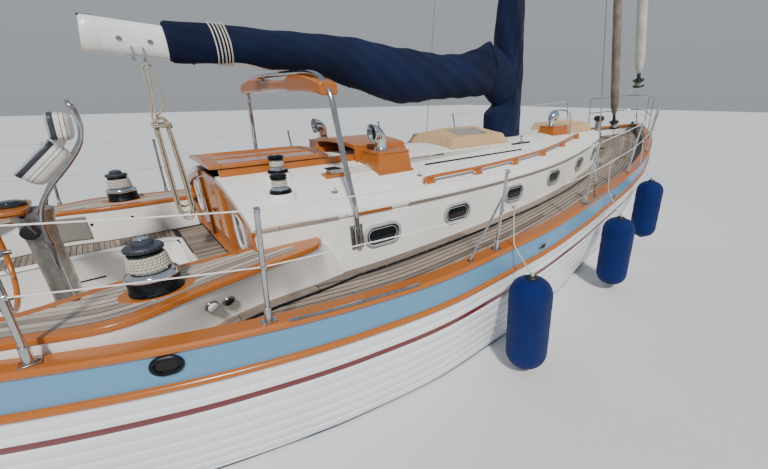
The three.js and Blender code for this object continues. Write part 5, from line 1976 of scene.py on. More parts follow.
@dataclass
class Cockpit:
    """The cockpit: coamings with caulked teak caps, planked seats with white edges, and the sole.

    Attributes:
        border: Width of the varnished boards along a coaming cap.
        pitch: Distance from plank to plank.
        planks: Height of the middle of the seats' planks.
    """

    border: float = 0.058
    pitch: float = 0.05
    planks: float = 0.8865

    def well(self, x: float) -> float:
        """Gives half the footwell's width."""
        return float(np.interp(x, *(np.array(LINES.footwell).T * MM)))

    def line(self, x: float, outer: bool) -> float:
        """Gives half the width of one edge of the coaming, clear of the trunk.

        Args:
            x: The place along the yacht.
            outer: Whether it is the outer edge.

        Returns:
            The half-width in metres.
        """
        inner_y, outer_y = LINES.coaming_at(x)
        if outer:
            wall = LINES.trunk_half(x)
            widths = (outer_y, wall + 0.135, wall + 0.085, wall + 0.04, wall + 0.008)
            return float(np.interp(x, (-2.42, -2.37, -2.33, -2.30, -2.16), widths))
        return max(inner_y, LINES.trunk_half(x) + 0.003) if x > -2.7 else inner_y

    def coamings(self) -> None:
        """Makes both coamings, their caps' planks and the boards along the caps' edges."""
        xs = [-4.999, -4.95, -4.9, *np.linspace(-4.85, -2.425, 40)]
        tip = [-2.40, -2.37, -2.34, -2.31]
        for side, name in ((1, "port"), (-1, "starboard")):
            body = Shape(CREAM)
            rows = []
            for x in [*xs, *tip, -2.28, -2.22, -2.16]:
                a, b, c = self.line(x, False) + 0.001, self.line(x, True) - 0.001, LINES.coaming_foot(x) - 0.001
                c = max(c, a + 0.006)
                low = min(LINES.deck(x, c), LINES.deck(x, a)) - 0.04
                top = float(np.interp(x, (-2.31, -2.28, -2.22, -2.16), (1.1654, 1.15, 1.06, 0.90)))
                bend = [(c + (b - c) * s**1.3, low + 0.05 + (top - low - 0.05) * s) for s in (0.0, 0.35, 0.7, 1.0)]
                rows.append([(x, side * a, low), (x, side * c, low), *[(x, side * y, z) for y, z in bend],
                             (x, side * a, top)])
            body.loft(rows)
            body.make(f"coaming_side_{name}", stands_for=(f"coaming_{name}",), bevel=0.006)
            bed = Shape(CAULK_AND_SHADE)
            rows = []
            for x in [*xs, *tip]:
                a, b = self.line(x, False) - 0.004, self.line(x, True) + 0.004
                rows.append(strake(x, side, a, b, 1.1658, 1.1970))
            bed.loft(rows)
            bed.make(f"coaming_bed_{name}")
            edge = Shape(VARNISH)
            for inner, outer in (
                (lambda x: self.line(x, False) - 0.009, lambda x: self.line(x, False) + self.border),
                (lambda x: self.line(x, True) - self.border, lambda x: self.line(x, True) + 0.009),
            ):
                for x0, x1 in ((-4.999, -3.85), (-3.848, -2.425)):
                    rows = []
                    for x in np.linspace(x0, x1, 26):
                        a, b = inner(x), outer(x)
                        rows.append(strake(x, side, a, b, 1.1662, 1.1992))
                    edge.loft(rows)
            for cuts in ((-5.005, -4.92), (-2.505, -2.45, -2.41, *tip)):
                rows = []
                for x in cuts:
                    inside, outside = (self.line(max(x, xs[0]), outer) for outer in (False, True))
                    rows.append(strake(x, side, inside - 0.009, outside + 0.009, 1.1662, 1.1996))
                edge.loft(rows)
            self.pad(edge, side)
            edge.make(f"coaming_edge_{name}", stands_for=(f"coaming_cap_{name}",), bevel=0.005)
            lanes = []
            for k in range(9):
                run: list[Point] = []
                for x in np.linspace(-4.93, -2.5, 60):
                    y = self.line(x, True) - self.border - self.pitch * (k + 0.5)
                    if y > self.line(x, False) + self.border * 0.6:
                        run.append((x, side * y, 1.1925))
                    elif len(run) > 2:
                        lanes.append(run)
                        run = []
                if len(run) > 2:
                    lanes.append(run)
            repeated(Repeat.STRIPS, f"coaming_planks_{name}", TEAK_PALE, lanes, Width=self.pitch - 0.009, Height=0.011)

    def pad(self, shape: Shape, side: int) -> None:
        """Adds the varnished pad under a primary winch, with a scalloped edge against the planks.

        Args:
            shape: The piece that gets it.
            side: 1 to port, -1 to starboard.
        """
        rows = []
        for share in around(40):
            wave = 0.155 + 0.010 * math.cos(share * 2)
            rows.append((-3.24 + wave * math.cos(share), side * (1.225 + wave * 0.9 * math.sin(share))))
        shape.prism(rows, 1.1668, 1.2004)

    def seats(self) -> None:
        """Makes the seats: white edges round planks that run athwart at the sides and lengthwise forward."""
        planks: list[list[Point]] = []
        for side in (1, -1):
            for i in range(58):
                x = -4.72 + i * 0.036
                if x > -2.98:
                    break
                a, b = self.well(x) + 0.075, self.line(x, False) - 0.04
                if b - a > 0.08:
                    planks.append([(x, y, self.planks) for y in (side * a, side * (a + b) / 2, side * b)])
        repeated(Repeat.STRIPS, "seat_planks", TEAK_GREY, planks, Width=0.031, Height=0.011)
        bridge = [[(x, i * self.pitch, self.planks) for x in (-2.93, -2.83, -2.725)] for i in range(-17, 18)]
        repeated(Repeat.STRIPS, "bridge_planks", TEAK_GREY, bridge, Width=0.041, Height=0.011)
        bed = Shape(CAULK_AND_SHADE)
        for side in (1, -1):
            rows = []
            for x in np.linspace(-4.75, -2.712, 30):
                well = float(np.interp(x, (-2.96, -2.955), (self.well(x), 0.0)))
                a, b = max(well + 0.02, 0.001), self.line(x, False) - 0.008
                rows.append(strake(x, side, a, b, 0.8803, 0.8908))
            bed.loft(rows)
        bed.make("seat_bed")
        edge = Shape(GELCOAT)
        for side in (1, -1):
            rows = []
            for x in np.linspace(-4.6, -2.962, 30):
                rows.append(strake(x, side, self.well(x) - 0.012, self.well(x) + 0.07, 0.8806, 0.894))
            edge.loft(rows)
        edge.slab((-2.972, -0.60, 0.8806), (-2.94, 0.60, 0.894))
        edge.make("seat_edges", bevel=0.005)
        sole = [[(x, self.pitch * i, 0.4255) for x in (-4.5, -3.8, -3.02)] for i in range(-8, 9)]
        repeated(Repeat.STRIPS, "sole_slats", TEAK_GREY, sole, Width=0.036, Height=0.010)

    def fittings(self) -> None:
        """Makes the vents, slots, hinge dots and the locker lid on the coamings' and seats' faces."""
        dark, plate, locker = Shape(CAULK_AND_SHADE), Shape(STAINLESS), Shape(GREY_PAINT)
        for side in (1, -1):
            # The vents and slots are black discs and bars: painted shade in the openings.
            for x, z in ((-3.231, 1.076), (-3.515, 1.056), (-4.15, 1.04)):
                y = self.line(x, False)
                dark.lathe([(0, 0), (0.012, 0), (0.012, 0.004), (0, 0.004)], (x, side * (y + 0.0005), z),
                           (0, -side, 0), 16)
            for x, z in ((-3.62, 0.68), (-4.1, 0.68)):
                y0, y1 = sorted((side * (self.well(x) - 0.004), side * (self.well(x) + 0.002)))
                dark.slab((x - 0.09, y0, z - 0.006), (x + 0.09, y1, z + 0.006))
            rows = []
            for x in np.linspace(-3.76, -3.54, 6):
                y = self.line(x, False)
                rows.append(strake(x, side, y - 0.016, y + 0.03, 0.93, 1.14))
            locker.loft(rows)
            for x in (-3.71, -3.59):
                y = side * (self.line(x, False) - 0.0165)
                plate.lathe([(0, 0), (0.011, 0), (0.010, 0.003), (0, 0.004)], (x, y, 1.115), (0, -side, 0), 16)
        dark.make("small_openings")
        locker.make("locker_lids", bevel=0.006)
        plate.make("locker_hinges", bevel=0.002)

    def build(self) -> None:
        """Makes the cockpit."""
        self.coamings()
        self.seats()
        self.fittings()


@dataclass
class Winches:
    """The sheet and halyard winches: a base, a drum with turns of line, and a self-tailing crown."""

    def big(self, name: str, x: float, y: float, z: float) -> None:
        """Makes one primary winch, 236 mm across its base and 292 mm tall.

        Args:
            name: The CAD node that it stands for.
            x: Its place along the yacht.
            y: Its place across.
            z: The height that it stands on.
        """
        base = ((0, 0), (0.1165, 0), (0.118, 0.006), (0.116, 0.014), (0.112, 0.02), (0.112, 0.078), (0.0, 0.078))
        ring = ((0, 0.0785), (0.113, 0.0785), (0.1165, 0.084), (0.115, 0.099), (0.105, 0.110), (0.082, 0.115),
                (0.0, 0.115))
        drum = ((0, 0.1155), (0.078, 0.1155), (0.074, 0.13), (0.070, 0.16), (0.068, 0.195), (0.072, 0.202), (0, 0.202))
        jaw = ((0, 0.2025), (0.073, 0.2025), (0.076, 0.207), (0.074, 0.213), (0.066, 0.218), (0.066, 0.223), (0, 0.223))
        disc = ((0, 0.2235), (0.079, 0.2235), (0.083, 0.229), (0.083, 0.240), (0.077, 0.247), (0.050, 0.252),
                (0.0, 0.252))
        top = ((0, 0.2525), (0.046, 0.2525), (0.047, 0.262), (0.045, 0.272), (0.036, 0.279), (0.022, 0.281),
               (0.0, 0.281))
        shape = Shape(BLACK_METAL).turned((x, y, z), (
            (BLACK_METAL, 48, base), (CHROME, 48, ring), (CHROME, 48, drum), (BLACK_METAL, 48, jaw),
            (GREY_PLASTIC, 48, disc), (GREY_PLASTIC, 36, top),
            (CHROME, 24, ((0.014, 0.2805), (0.022, 0.2805), (0.023, 0.284), (0.020, 0.287), (0.014, 0.287))),
            (CHROME, 24, ((0, 0.2812), (0.030, 0.2812), (0.031, 0.2818), (0.0, 0.2822))),
            (BLACK_METAL, 8, ((0, 0.2823), (0.0135, 0.2823), (0.0135, 0.283), (0, 0.283))),
        ))
        shape.make(f"{name}_body", stands_for=(name,))
        grip = [(x + 0.081 * math.cos(t), y + 0.081 * math.sin(t), z + 0.2345) for t in around(24)]
        ways = [(p[0] - x, p[1] - y, 0.0) for p in grip]
        repeated(Repeat.SCREWS, f"{name}_grips", BLACK_METAL, grip, facings=ways, Width=0.003, Height=0.007)
        turns = Shape(ROPE_WHITE)
        line = []
        for i in range(5 * 20 + 1):
            t = math.tau * i / 20
            reach = 0.087 - 0.010 * i / 100
            line.append((x + reach * math.cos(t), y + reach * math.sin(t), z + 0.125 + 0.0142 * i / 20))
        turns.pipe(line, 0.007, 8, dome=True)
        turns.make(f"{name}_turns")

    def small(self, name: str, x: float, y: float) -> None:
        """Makes one roof winch: a white pad, a bright drum and a black crown.

        Args:
            name: The CAD node that it stands for.
            x: Its place along the yacht.
            y: Its place across.
        """
        z = LINES.roof(y)
        shape = Shape(GELCOAT)
        rows = []
        for share, grow in ((0.0, 1.12), (0.5, 1.03), (1.0, 1.0)):
            ring = [(x + 0.092 * grow * math.cos(t), y + 0.092 * grow * math.sin(t)) for t in around(32)]
            high = z + 0.006 + 0.026 * share
            rows.append([(u, v, high if share else LINES.roof(v) + PROUD) for u, v in ring])
        shape.loft(rows)
        z += 0.0325
        shape.turned((x, y, z), (
            (BLACK_METAL, 32, ((0, 0), (0.074, 0), (0.075, 0.006), (0.070, 0.022), (0.0, 0.022))),
            (CHROME, 32, ((0, 0.0225), (0.064, 0.0225), (0.066, 0.028), (0.058, 0.038), (0.043, 0.048), (0.040, 0.07),
                          (0.044, 0.092), (0.052, 0.098), (0.0, 0.098))),
            (BLACK_METAL, 32, ((0, 0.0985), (0.054, 0.0985), (0.057, 0.104), (0.050, 0.108), (0.049, 0.112),
                               (0.057, 0.116), (0.056, 0.126), (0.040, 0.133), (0.0, 0.134))),
            (CHROME, 20, ((0, 0.1345), (0.018, 0.1345), (0.018, 0.1375), (0, 0.1375))),
        ))
        shape.make(f"{name}_body", stands_for=(name,))
        turns = Shape(ROPE_WHITE)
        line = [
            (x + 0.0475 * math.cos(t), y + 0.0475 * math.sin(t), z + 0.052 + 0.0112 * t / math.tau)
            for t in np.linspace(0, 3 * math.tau, 61)
        ]
        turns.pipe(line, 0.0053, 8, dome=True)
        turns.make(f"{name}_turns")

    def build(self) -> None:
        """Makes all four winches."""
        self.big("primary_winch_port", -3.24, 1.225, 1.2006)
        self.big("primary_winch_starboard", -3.24, -1.225, 1.2006)
        self.small("roof_winch_outboard", -2.42, -0.82)
        self.small("roof_winch_inboard", -2.315, -0.5)


@dataclass
class Steering:
    """The pedestal with its compass, the guard of twin tubes, the instrument pods and the wheel.

    Attributes:
        x: The column's place along the yacht.
        column: Height, half-length and half-width of the column's sections.
        leg: Columns x and z of one leg of the guard.
    """

    x: float = -3.70
    column: tuple[tuple[float, float, float], ...] = (
        (0.4206, 0.128, 0.128), (0.44, 0.124, 0.124), (0.47, 0.098, 0.102), (0.6, 0.082, 0.092), (0.9, 0.076, 0.088),
        (1.2, 0.076, 0.088), (1.36, 0.084, 0.096), (1.42, 0.100, 0.108), (1.46, 0.104, 0.110),
    )
    leg: tuple[tuple[float, float], ...] = (
        (-3.67, 0.42), (-3.67, 0.9), (-3.66, 1.40), (-3.63, 1.51), (-3.56, 1.615), (-3.434, 1.753), (-3.361, 1.852),
        (-3.33, 1.94), (-3.33, 2.02), (-3.345, 2.112),
    )

    def pedestal(self) -> None:
        """Makes the bright column, its tray, engine levers and compass."""
        shape = Shape(DULL_METAL)
        shape.loft([[(self.x + a * math.cos(t), b * math.sin(t), z) for t in around(36)] for z, a, b in self.column])
        shape.make("pedestal_column", stands_for=("steering_pedestal",))
        bolts = [(self.x + 0.112 * math.cos(t), 0.112 * math.sin(t), 0.4425) for t in around(8, 0.3)]
        repeated(Repeat.SCREWS, "pedestal_bolts", STAINLESS, bolts, facings=[(0, 0, 1)], Width=0.008, Height=0.008)
        tray = Shape(VARNISH)
        for low, high, grow in ((1.462, 1.474, 0.0), (1.4745, 1.498, 0.008)):
            plan = [(-3.785 + (0.085 + grow) * a, (0.185 + grow) * b) for a, b in rounded_square(28, 0.45)]
            tray.prism(plan, low, high)
        tray.make("helm_tray", bevel=0.004)
        at = (-3.775, 0.0, 1.4985)
        compass = Shape(BLACK_PLASTIC)
        compass.lathe([(0, 0), (0.072, 0), (0.076, 0.006), (0.074, 0.018), (0.062, 0.023), (0, 0.023)], at, sides=40)
        compass.use(GLASS_DARK)
        dome = [(0.060 * math.cos(t), 0.0235 + 0.016 * math.sin(t)) for t in np.linspace(0, math.pi / 2, 7)]
        compass.lathe([(0, 0.0235), *dome], at, sides=40)
        compass.make("compass")
        levers = Shape(BLACK_PLASTIC)
        for side in (1, -1):
            levers.lathe([(0, 0), (0.046, 0), (0.046, 0.02), (0.0, 0.026)], (self.x - 0.03, side * 0.098, 1.337),
                         (0, side, 0), 24)
        levers.use(STAINLESS)
        for side in (1, -1):
            arm = through([(self.x - 0.005, side * 0.125, 1.33), (self.x - 0.02, side * 0.135, 1.38),
                           (self.x - 0.03, side * 0.14, 1.44)], 5)
            levers.pipe(arm, 0.006, 8)
        levers.use(BLACK_PLASTIC)
        for side in (1, -1):
            levers.lathe([(0, -0.02), (0.012, -0.014), (0.017, 0.0), (0.012, 0.014), (0.0, 0.02)],
                         (self.x - 0.03, side * 0.14, 1.458), sides=16)
        levers.make("engine_levers")

    def guard(self) -> None:
        """Makes the guard: one tube from the sole up and forward on each side, joined across the top."""
        shape = Shape(STAINLESS)
        up = [(x, 0.17, z) for x, z in self.leg]
        path = [*up, *[(x, -y, z) for x, y, z in up[::-1]]]
        shape.pipe(rounded(path, 0.07), 0.0138, 14)
        for side in (1, -1):
            shape.lathe([(0, 0), (0.034, 0), (0.034, 0.006), (0.02, 0.014), (0.0, 0.014)], (-3.67, side * 0.17, 0.421),
                        sides=20)
            shape.lathe([(0.0132, 0), (0.021, 0.004), (0.022, 0.02), (0.021, 0.036), (0.0132, 0.04)],
                        (-3.664, side * 0.17, 1.24), sides=20)
            y0, y1 = sorted((side * 0.098, side * 0.168))
            shape.slab((-3.69, y0, 1.075), (-3.66, y1, 1.093))
            shape.slab((-3.69, y0, 1.395), (-3.66, y1, 1.413))
        shape.make("guard_tubes", stands_for=("pedestal_guard",))

    def pods(self) -> None:
        """Makes the tilted instrument housings: shells with dark seams round a shaded face."""
        self.pod("lower", (-3.555, 0.0, 1.745), Matrix.Rotation(math.radians(46), 4, "Y"), 0.128, 0.138, 0.084)
        self.pod("upper", (-3.412, 0.0, 1.962), Matrix.Rotation(math.radians(6), 4, "Y"), 0.128, 0.083, 0.050)
        holder = Shape(WHITE_PLASTIC)
        holder.pipe([(-3.50, 0.0, 1.825), (-3.46, 0.0, 1.868), (-3.43, 0.0, 1.905)], [0.036, 0.033, 0.03], 16,
                    dome=True)
        holder.lathe([(0, -0.06), (0.024, -0.058), (0.03, -0.05), (0.03, 0.05), (0.024, 0.058), (0, 0.06)],
                     (-3.455, 0, 1.868), (0, 1, 0), 24)
        holder.make("pod_bracket")

    def pod(self, name: str, at: Point, turn: Matrix, wide: float, tall: float, deep: float) -> None:
        """Makes one housing, its face to the helm.

        Args:
            name: The piece's name.
            at: The middle of its seam.
            turn: Its tilt.
            wide: Half its width.
            tall: Half its height.
            deep: Depth of its rounded back.
        """
        move = Matrix.Translation(at) @ turn
        layers = [
            (WHITE_PLASTIC,
             [(deep, 0.35), (deep * 0.95, 0.62), (deep * 0.78, 0.85), (deep * 0.48, 0.965), (0.018, 1.0)]),
            (CAULK_AND_SHADE, [(0.0179, 0.985), (0.0145, 0.985)]),
            (WHITE_PLASTIC, [(0.0144, 1.0), (-0.002, 1.0)]),
            (CAULK_AND_SHADE, [(-0.0021, 0.985), (-0.0055, 0.985)]),
            (WHITE_PLASTIC, [(-0.0056 - 0.003 * k, 0.985 if k % 2 else 1.0) for k in range(9)]),
            (GREY_PLASTIC, [(-0.0297, 1.0), (-0.034, 1.012), (-0.052, 1.008), (-0.056, 0.99)]),
            (RUBBER, [(-0.0561, 0.985), (-0.064, 0.98), (-0.066, 0.95)]),
        ]
        shape, outline = Shape(WHITE_PLASTIC), rounded_square(44, 0.4)
        for finish, rows in layers:
            shape.use(finish)
            shape.loft([[move @ Vector((x, wide * grow * a, tall * grow * b)) for a, b in outline] for x, grow in rows])
        shape.make(f"instrument_pod_{name}", stands_for=("instrument_pods",) if name == "lower" else ())

    def wheel(self) -> None:
        """Makes the wheel: a varnished rim in joined lengths, bright spokes and a hub."""
        x, z, radius = -3.95, 1.21, 0.38
        rim = Shape(VARNISH)
        for i in range(6):
            turn = np.linspace(math.tau * i / 6 + 0.26, math.tau * (i + 1) / 6 + 0.26 - 0.004, 12)
            rim.pipe([(x, radius * math.cos(t), z + radius * math.sin(t)) for t in turn], 0.0152, 12)
        rim.make("wheel_rim", body="wheel", stands_for=("steering_wheel",))
        shape = Shape(STAINLESS)
        for i in range(6):
            t = math.tau * i / 6 + 0.26
            shape.pipe([(x, r * math.cos(t), z + r * math.sin(t)) for r in (0.03, radius - 0.01)], 0.0055, 10)
        shape.lathe([(0, -0.036), (0.02, -0.034), (0.028, -0.022), (0.042, -0.018), (0.044, 0.0), (0.042, 0.02),
                     (0.026, 0.03),
                     (0.022, 0.058), (0.016, 0.06), (0.016, 0.092), (0, 0.092)], (x, 0, z), (1, 0, 0), 32)
        shape.make("wheel_hub", body="wheel")

    def build(self) -> None:
        """Makes the steering gear."""
        self.pedestal()
        self.guard()
        self.pods()
        self.wheel()


# Gallows, spars, sails and covers


@dataclass
class Gallows:
    """The boom gallows: a bright tube arch on plates, with a varnished beam notched for the boom.

    Attributes:
        x: Its place along the yacht.
        tube: Columns y and z of half the arch, in millimetres.
        beam: Columns y, underside and top of half the beam, in millimetres.
    """

    x: float = -2.02
    tube: tuple[tuple[float, float], ...] = (
        (1128, 1140), (1128, 1380), (1060, 1650), (1005, 1920), (965, 2110), (905, 2210), (800, 2275), (620, 2305),
        (300, 2312), (0, 2312),
    )
    beam: tuple[tuple[float, float, float], ...] = (
        (0, 2187, 2262), (200, 2184, 2262), (300, 2178, 2268), (420, 2172, 2290), (500, 2172, 2290), (800, 2164, 2262),
        (940, 2146, 2232),
    )

    def build(self) -> None:
        """Makes the arch, its plates with bolts, and the beam."""
        tube = Shape(STAINLESS)
        half = [(self.x, y * MM, z * MM) for y, z in self.tube]
        line = through([*half, *[(x, -y, z) for x, y, z in half[-2::-1]]], 8)
        tube.pipe(line, 0.0205, 16)
        wall = LINES.trunk_half(self.x)
        bolts, ways = [], []
        for side in (1, -1):
            y0, y1 = sorted((side * (wall + 0.008), side * (wall + 0.018)))
            tube.slab((self.x - 0.052, y0, 1.042), (self.x + 0.052, y1, 1.228))
            tube.lathe([(0.0, 0.0), (0.026, 0.0), (0.027, 0.01), (0.027, 0.15), (0.0, 0.152)],
                       (self.x, side * 1.128, 1.06), (0, 0, 1), 20)
            for i in range(3):
                for j in (-1, 1):
                    bolts.append((self.x + j * 0.038, side * (wall + 0.0195), 1.06 + 0.07 * i))
                    ways.append((0, side, 0))
        tube.make("gallows_arch", stands_for=("gallows_tubes",), bevel=0.002)
        repeated(Repeat.SCREWS, "gallows_bolts", STAINLESS, bolts, facings=ways, Width=0.007, Height=0.006)
        beam = Shape(VARNISH)
        read, r = table(self.beam), 0.014
        rows = []
        for y in np.linspace(-0.94, 0.94, 61):
            low, high = read(abs(y))
            w = float(np.interp(abs(y), (0.24, 0.36, 0.86, 0.94), (0.070, 0.078, 0.078, 0.066)))
            section = [(-w + r, low), (w - r, low), (w, low + r), (w, high - r)]
            section += [(w - r, high), (-w + r, high), (-w, high - r), (-w, low + r)]
            rows.append([(self.x + a, y, z) for a, z in section])
        beam.loft(rows)
        beam.make("gallows_crosspiece", stands_for=("gallows_beam",), bevel=0.006)


def wrinkled(
    rows: list[list[np.ndarray]], depth: float, folds: Callable[[float, float], float]
) -> list[list[tuple[float, float, float]]]:
    """Moves the points of a tube-like cloth in and out by a fold pattern.

    Args:
        rows: Rings of points.
        depth: Height of the folds in metres.
        folds: A pattern from -1 to 1, from the share along and round the cloth.

    Returns:
        The moved rings.
    """
    out = []
    for i, ring in enumerate(rows):
        middle = np.mean(ring, axis=0)
        moved = []
        for k, p in enumerate(ring):
            away = p - middle
            away /= max(np.linalg.norm(away), 1e-6)
            moved.append(tuple(p + away * depth * folds(i / (len(rows) - 1), k / len(ring))))
        out.append(moved)
    return out


@dataclass
class Boom:
    """The boom with its end fitting, and the mainsail stowed on it under a navy cover.

    Attributes:
        cover: Columns x, bottom, top and half-width of the cover, in millimetres.
    """

    cover: tuple[tuple[float, ...], ...] = (
        (-2750, 2372, 2625, 80), (-1950, 2350, 2640, 120), (-1400, 2230, 2650, 150), (-770, 2060, 2610, 165),
        (0, 2110, 2590, 175), (690, 2140, 2780, 170),
    )

    def middle(self, x: float) -> float:
        """Gives the height of the boom's middle."""
        return 2.28 + (0.9 - x) / 4.1 * (2.515 - 2.28)

    def spar(self) -> None:
        """Makes the boom: an extrusion with a slot on top, a cast end, sheaves and a bail."""
        shape = Shape(SPAR_WHITE)
        rows = []
        for x in (0.884, 0.87, 0.8, 0.7, 0.0, -1.0, -2.0, -2.8, -3.10):
            nose = min(1.0, 0.35 + (0.9 - x) / 0.3)
            ring = []
            for t in around(28):
                y = 0.055 * nose * math.cos(t)
                z = 0.110 * nose * math.sin(t)
                if abs(math.cos(t)) < 0.12 and math.sin(t) > 0:
                    z -= 0.012  # the slot along the top
                ring.append((x, y, self.middle(x) + z))
            rows.append(ring)
        shape.loft(rows)
        shape.make("boom_spar", body="boom", stands_for=("boom",))
        end = Shape(WHITE_PLASTIC)
        rows = []
        for x, grow, slant in ((-3.1005, 1.03, 0.0), (-3.14, 1.03, 0.3), (-3.185, 1.0, 0.9), (-3.198, 0.9, 1.0)):
            ring = []
            for t in around(28):
                z = 0.108 * grow * math.sin(t)
                ring.append((x + slant * 0.035 * (z / 0.11 + 1) * 0.5, 0.054 * grow * math.cos(t), self.middle(x) + z))
            rows.append(ring)
        end.loft(rows)
        end.make("boom_end", body="boom")
        detail = Shape(BLACK_PLASTIC)
        detail.slab((-3.1685, -0.012, self.middle(-3.2) + 0.02), (-3.10, 0.012, self.middle(-3.1) + 0.114))
        detail.lathe([(0, -0.014), (0.03, -0.012), (0.024, 0.0), (0.03, 0.012), (0, 0.014)],
                     (-3.15, 0, self.middle(-3.2) - 0.05), (0, 1, 0), 24)
        detail.make("boom_sheaves", body="boom")
        bail = Shape(STAINLESS)
        for x in (-2.95, -2.89):
            z = self.middle(x)
            arc = [(x, 0.0575 * math.cos(t), z - 0.06 + 0.085 * math.sin(t))
                   for t in np.linspace(0.1, -math.pi - 0.1, 17)]
            bail.pipe(arc, 0.005, 8, dome=True)
        for x in (-3.0, -2.84, 0.6):
            for side in (1, -1):
                bail.lathe([(0, 0), (0.018, 0), (0.016, 0.004), (0, 0.006)], (x, side * 0.0535, self.middle(x) - 0.01),
                           (0, side, 0), 16)
        bail.make("boom_bails", body="boom")

    def sail_cover(self) -> None:
        """Makes the cover: cloth drawn round the bundled sail, with folds, a seam and hooks below."""
        read = table(self.cover)
        chance = random.Random(SEED)
        limits = ((0, 1), (0, 1), (0.03, 0.1), (-1, 1))
        lumps = [[chance.uniform(*pair) for pair in limits] for _ in range(46)]
        rows = []
        stations = np.linspace(-2.75, 0.69, 150)
        for x in stations:
            low, high, half = read(x)
            centre, tall = (low + high) / 2, (high - low) / 2
            ring = []
            for t in around(56):
                s, c = math.sin(t), math.cos(t)
                lean = half * (1 - 0.38 * max(0.0, s) ** 1.3)
                sag = 0.012 * math.sin(9.0 * x + 2.2 * t) * max(0.0, -s + 0.35)
                ring.append(np.array((x, lean * c, centre + tall * s * 0.98 + sag * 0.5)))
            rows.append(ring)

        def folds(along: float, turn: float) -> float:
            """Long slanting folds, deeper toward the mast, and soft lumps of sail.

            Args:
                along: Share of the way along the cloth.
                turn: Share of the way round it.

            Returns:
                The fold's height, mostly from -1 to 1.
            """
            a = math.sin(math.tau * (turn * 3.0 + along * 5.5)) * (0.25 + 0.75 * along**2)
            b = math.sin(math.tau * (turn * 7.0 - along * 11.0 + 0.3)) * 0.35 * (0.3 + along)
            c = sum(w * math.exp(-(((along - u) / r) ** 2 + ((turn - v) / (r * 1.6)) ** 2)) for u, v, r, w in lumps)
            ridge = math.exp(-(((turn - 0.25) / 0.018) ** 2)) * 0.8
            hem = -1.0 if along < 0.006 else 0.0
            return 0.55 * a + b + 0.7 * c + ridge + hem

        cloth = wrinkled(rows, 0.013, folds)
        made = Shape(NAVY).tube(cloth).make("sail_cover", body="boom", stands_for=("boom_cover",),
                                            angle=math.radians(80))
        girth, length, area = girth_of(cloth[80]), length_of([ring[14] for ring in cloth]), area_of(cloth)
        seams = []
        for share in (0.18, 0.36, 0.54, 0.72, 0.9):
            i = int(share * (len(cloth) - 1))
            middle = np.mean(cloth[i], axis=0)
            seams.append([tuple(np.array(p) + (np.array(p) - middle) * 0.004) for p in cloth[i]])
        self.lashing(cloth, list(stations))
        repeated(Repeat.STITCHES, "cover_stitches", ROPE_GREY, seams, body="boom", Width=0.0012, Length=0.007,
                 Pitch=0.011)
        hooks = []
        for i in range(6, 140, 9):
            p = min(cloth[i], key=lambda q: q[2])
            hooks.append((p[0], p[1], p[2] - 0.002))
        repeated(Repeat.SCREWS, "cover_hooks", BLACK_PLASTIC, hooks, body="boom", facings=[(0, 0, -1)], Width=0.008,
                 Height=0.008)

    def lashing(self, cloth: list[list[tuple[float, float, float]]], stations: list[float]) -> None:
        """Makes the white line that is wound round the cover, in turns side by side.

        Args:
            cloth: The cover's rings of points.
            stations: The place of each ring along the boom.
        """
        path = []
        for i in range(5 * 28 + 1):
            x = -2.47 + 0.024 * i / 28 + 0.003 * math.sin(i / 28 * 0.7)
            ring = cloth[int(np.argmin(np.abs(np.array(stations) - x)))]
            k = (2 * i) % 56
            middle = np.mean(ring, axis=0)
            away = np.array(ring[k]) - middle
            path.append(middle + away * (1 + 0.010 / np.linalg.norm(away)))
            path[-1][0] = x
        smooth = through([tuple(p) for p in path], 2)
        shape = Shape(ROPE_WHITE)
        shape.pipe(smooth, LASHING, 8, dome=True)
        made = shape.make("cover_lashing", body="boom")

    def build(self) -> None:
        """Makes the boom and its cover."""
        self.spar()
        self.sail_cover()


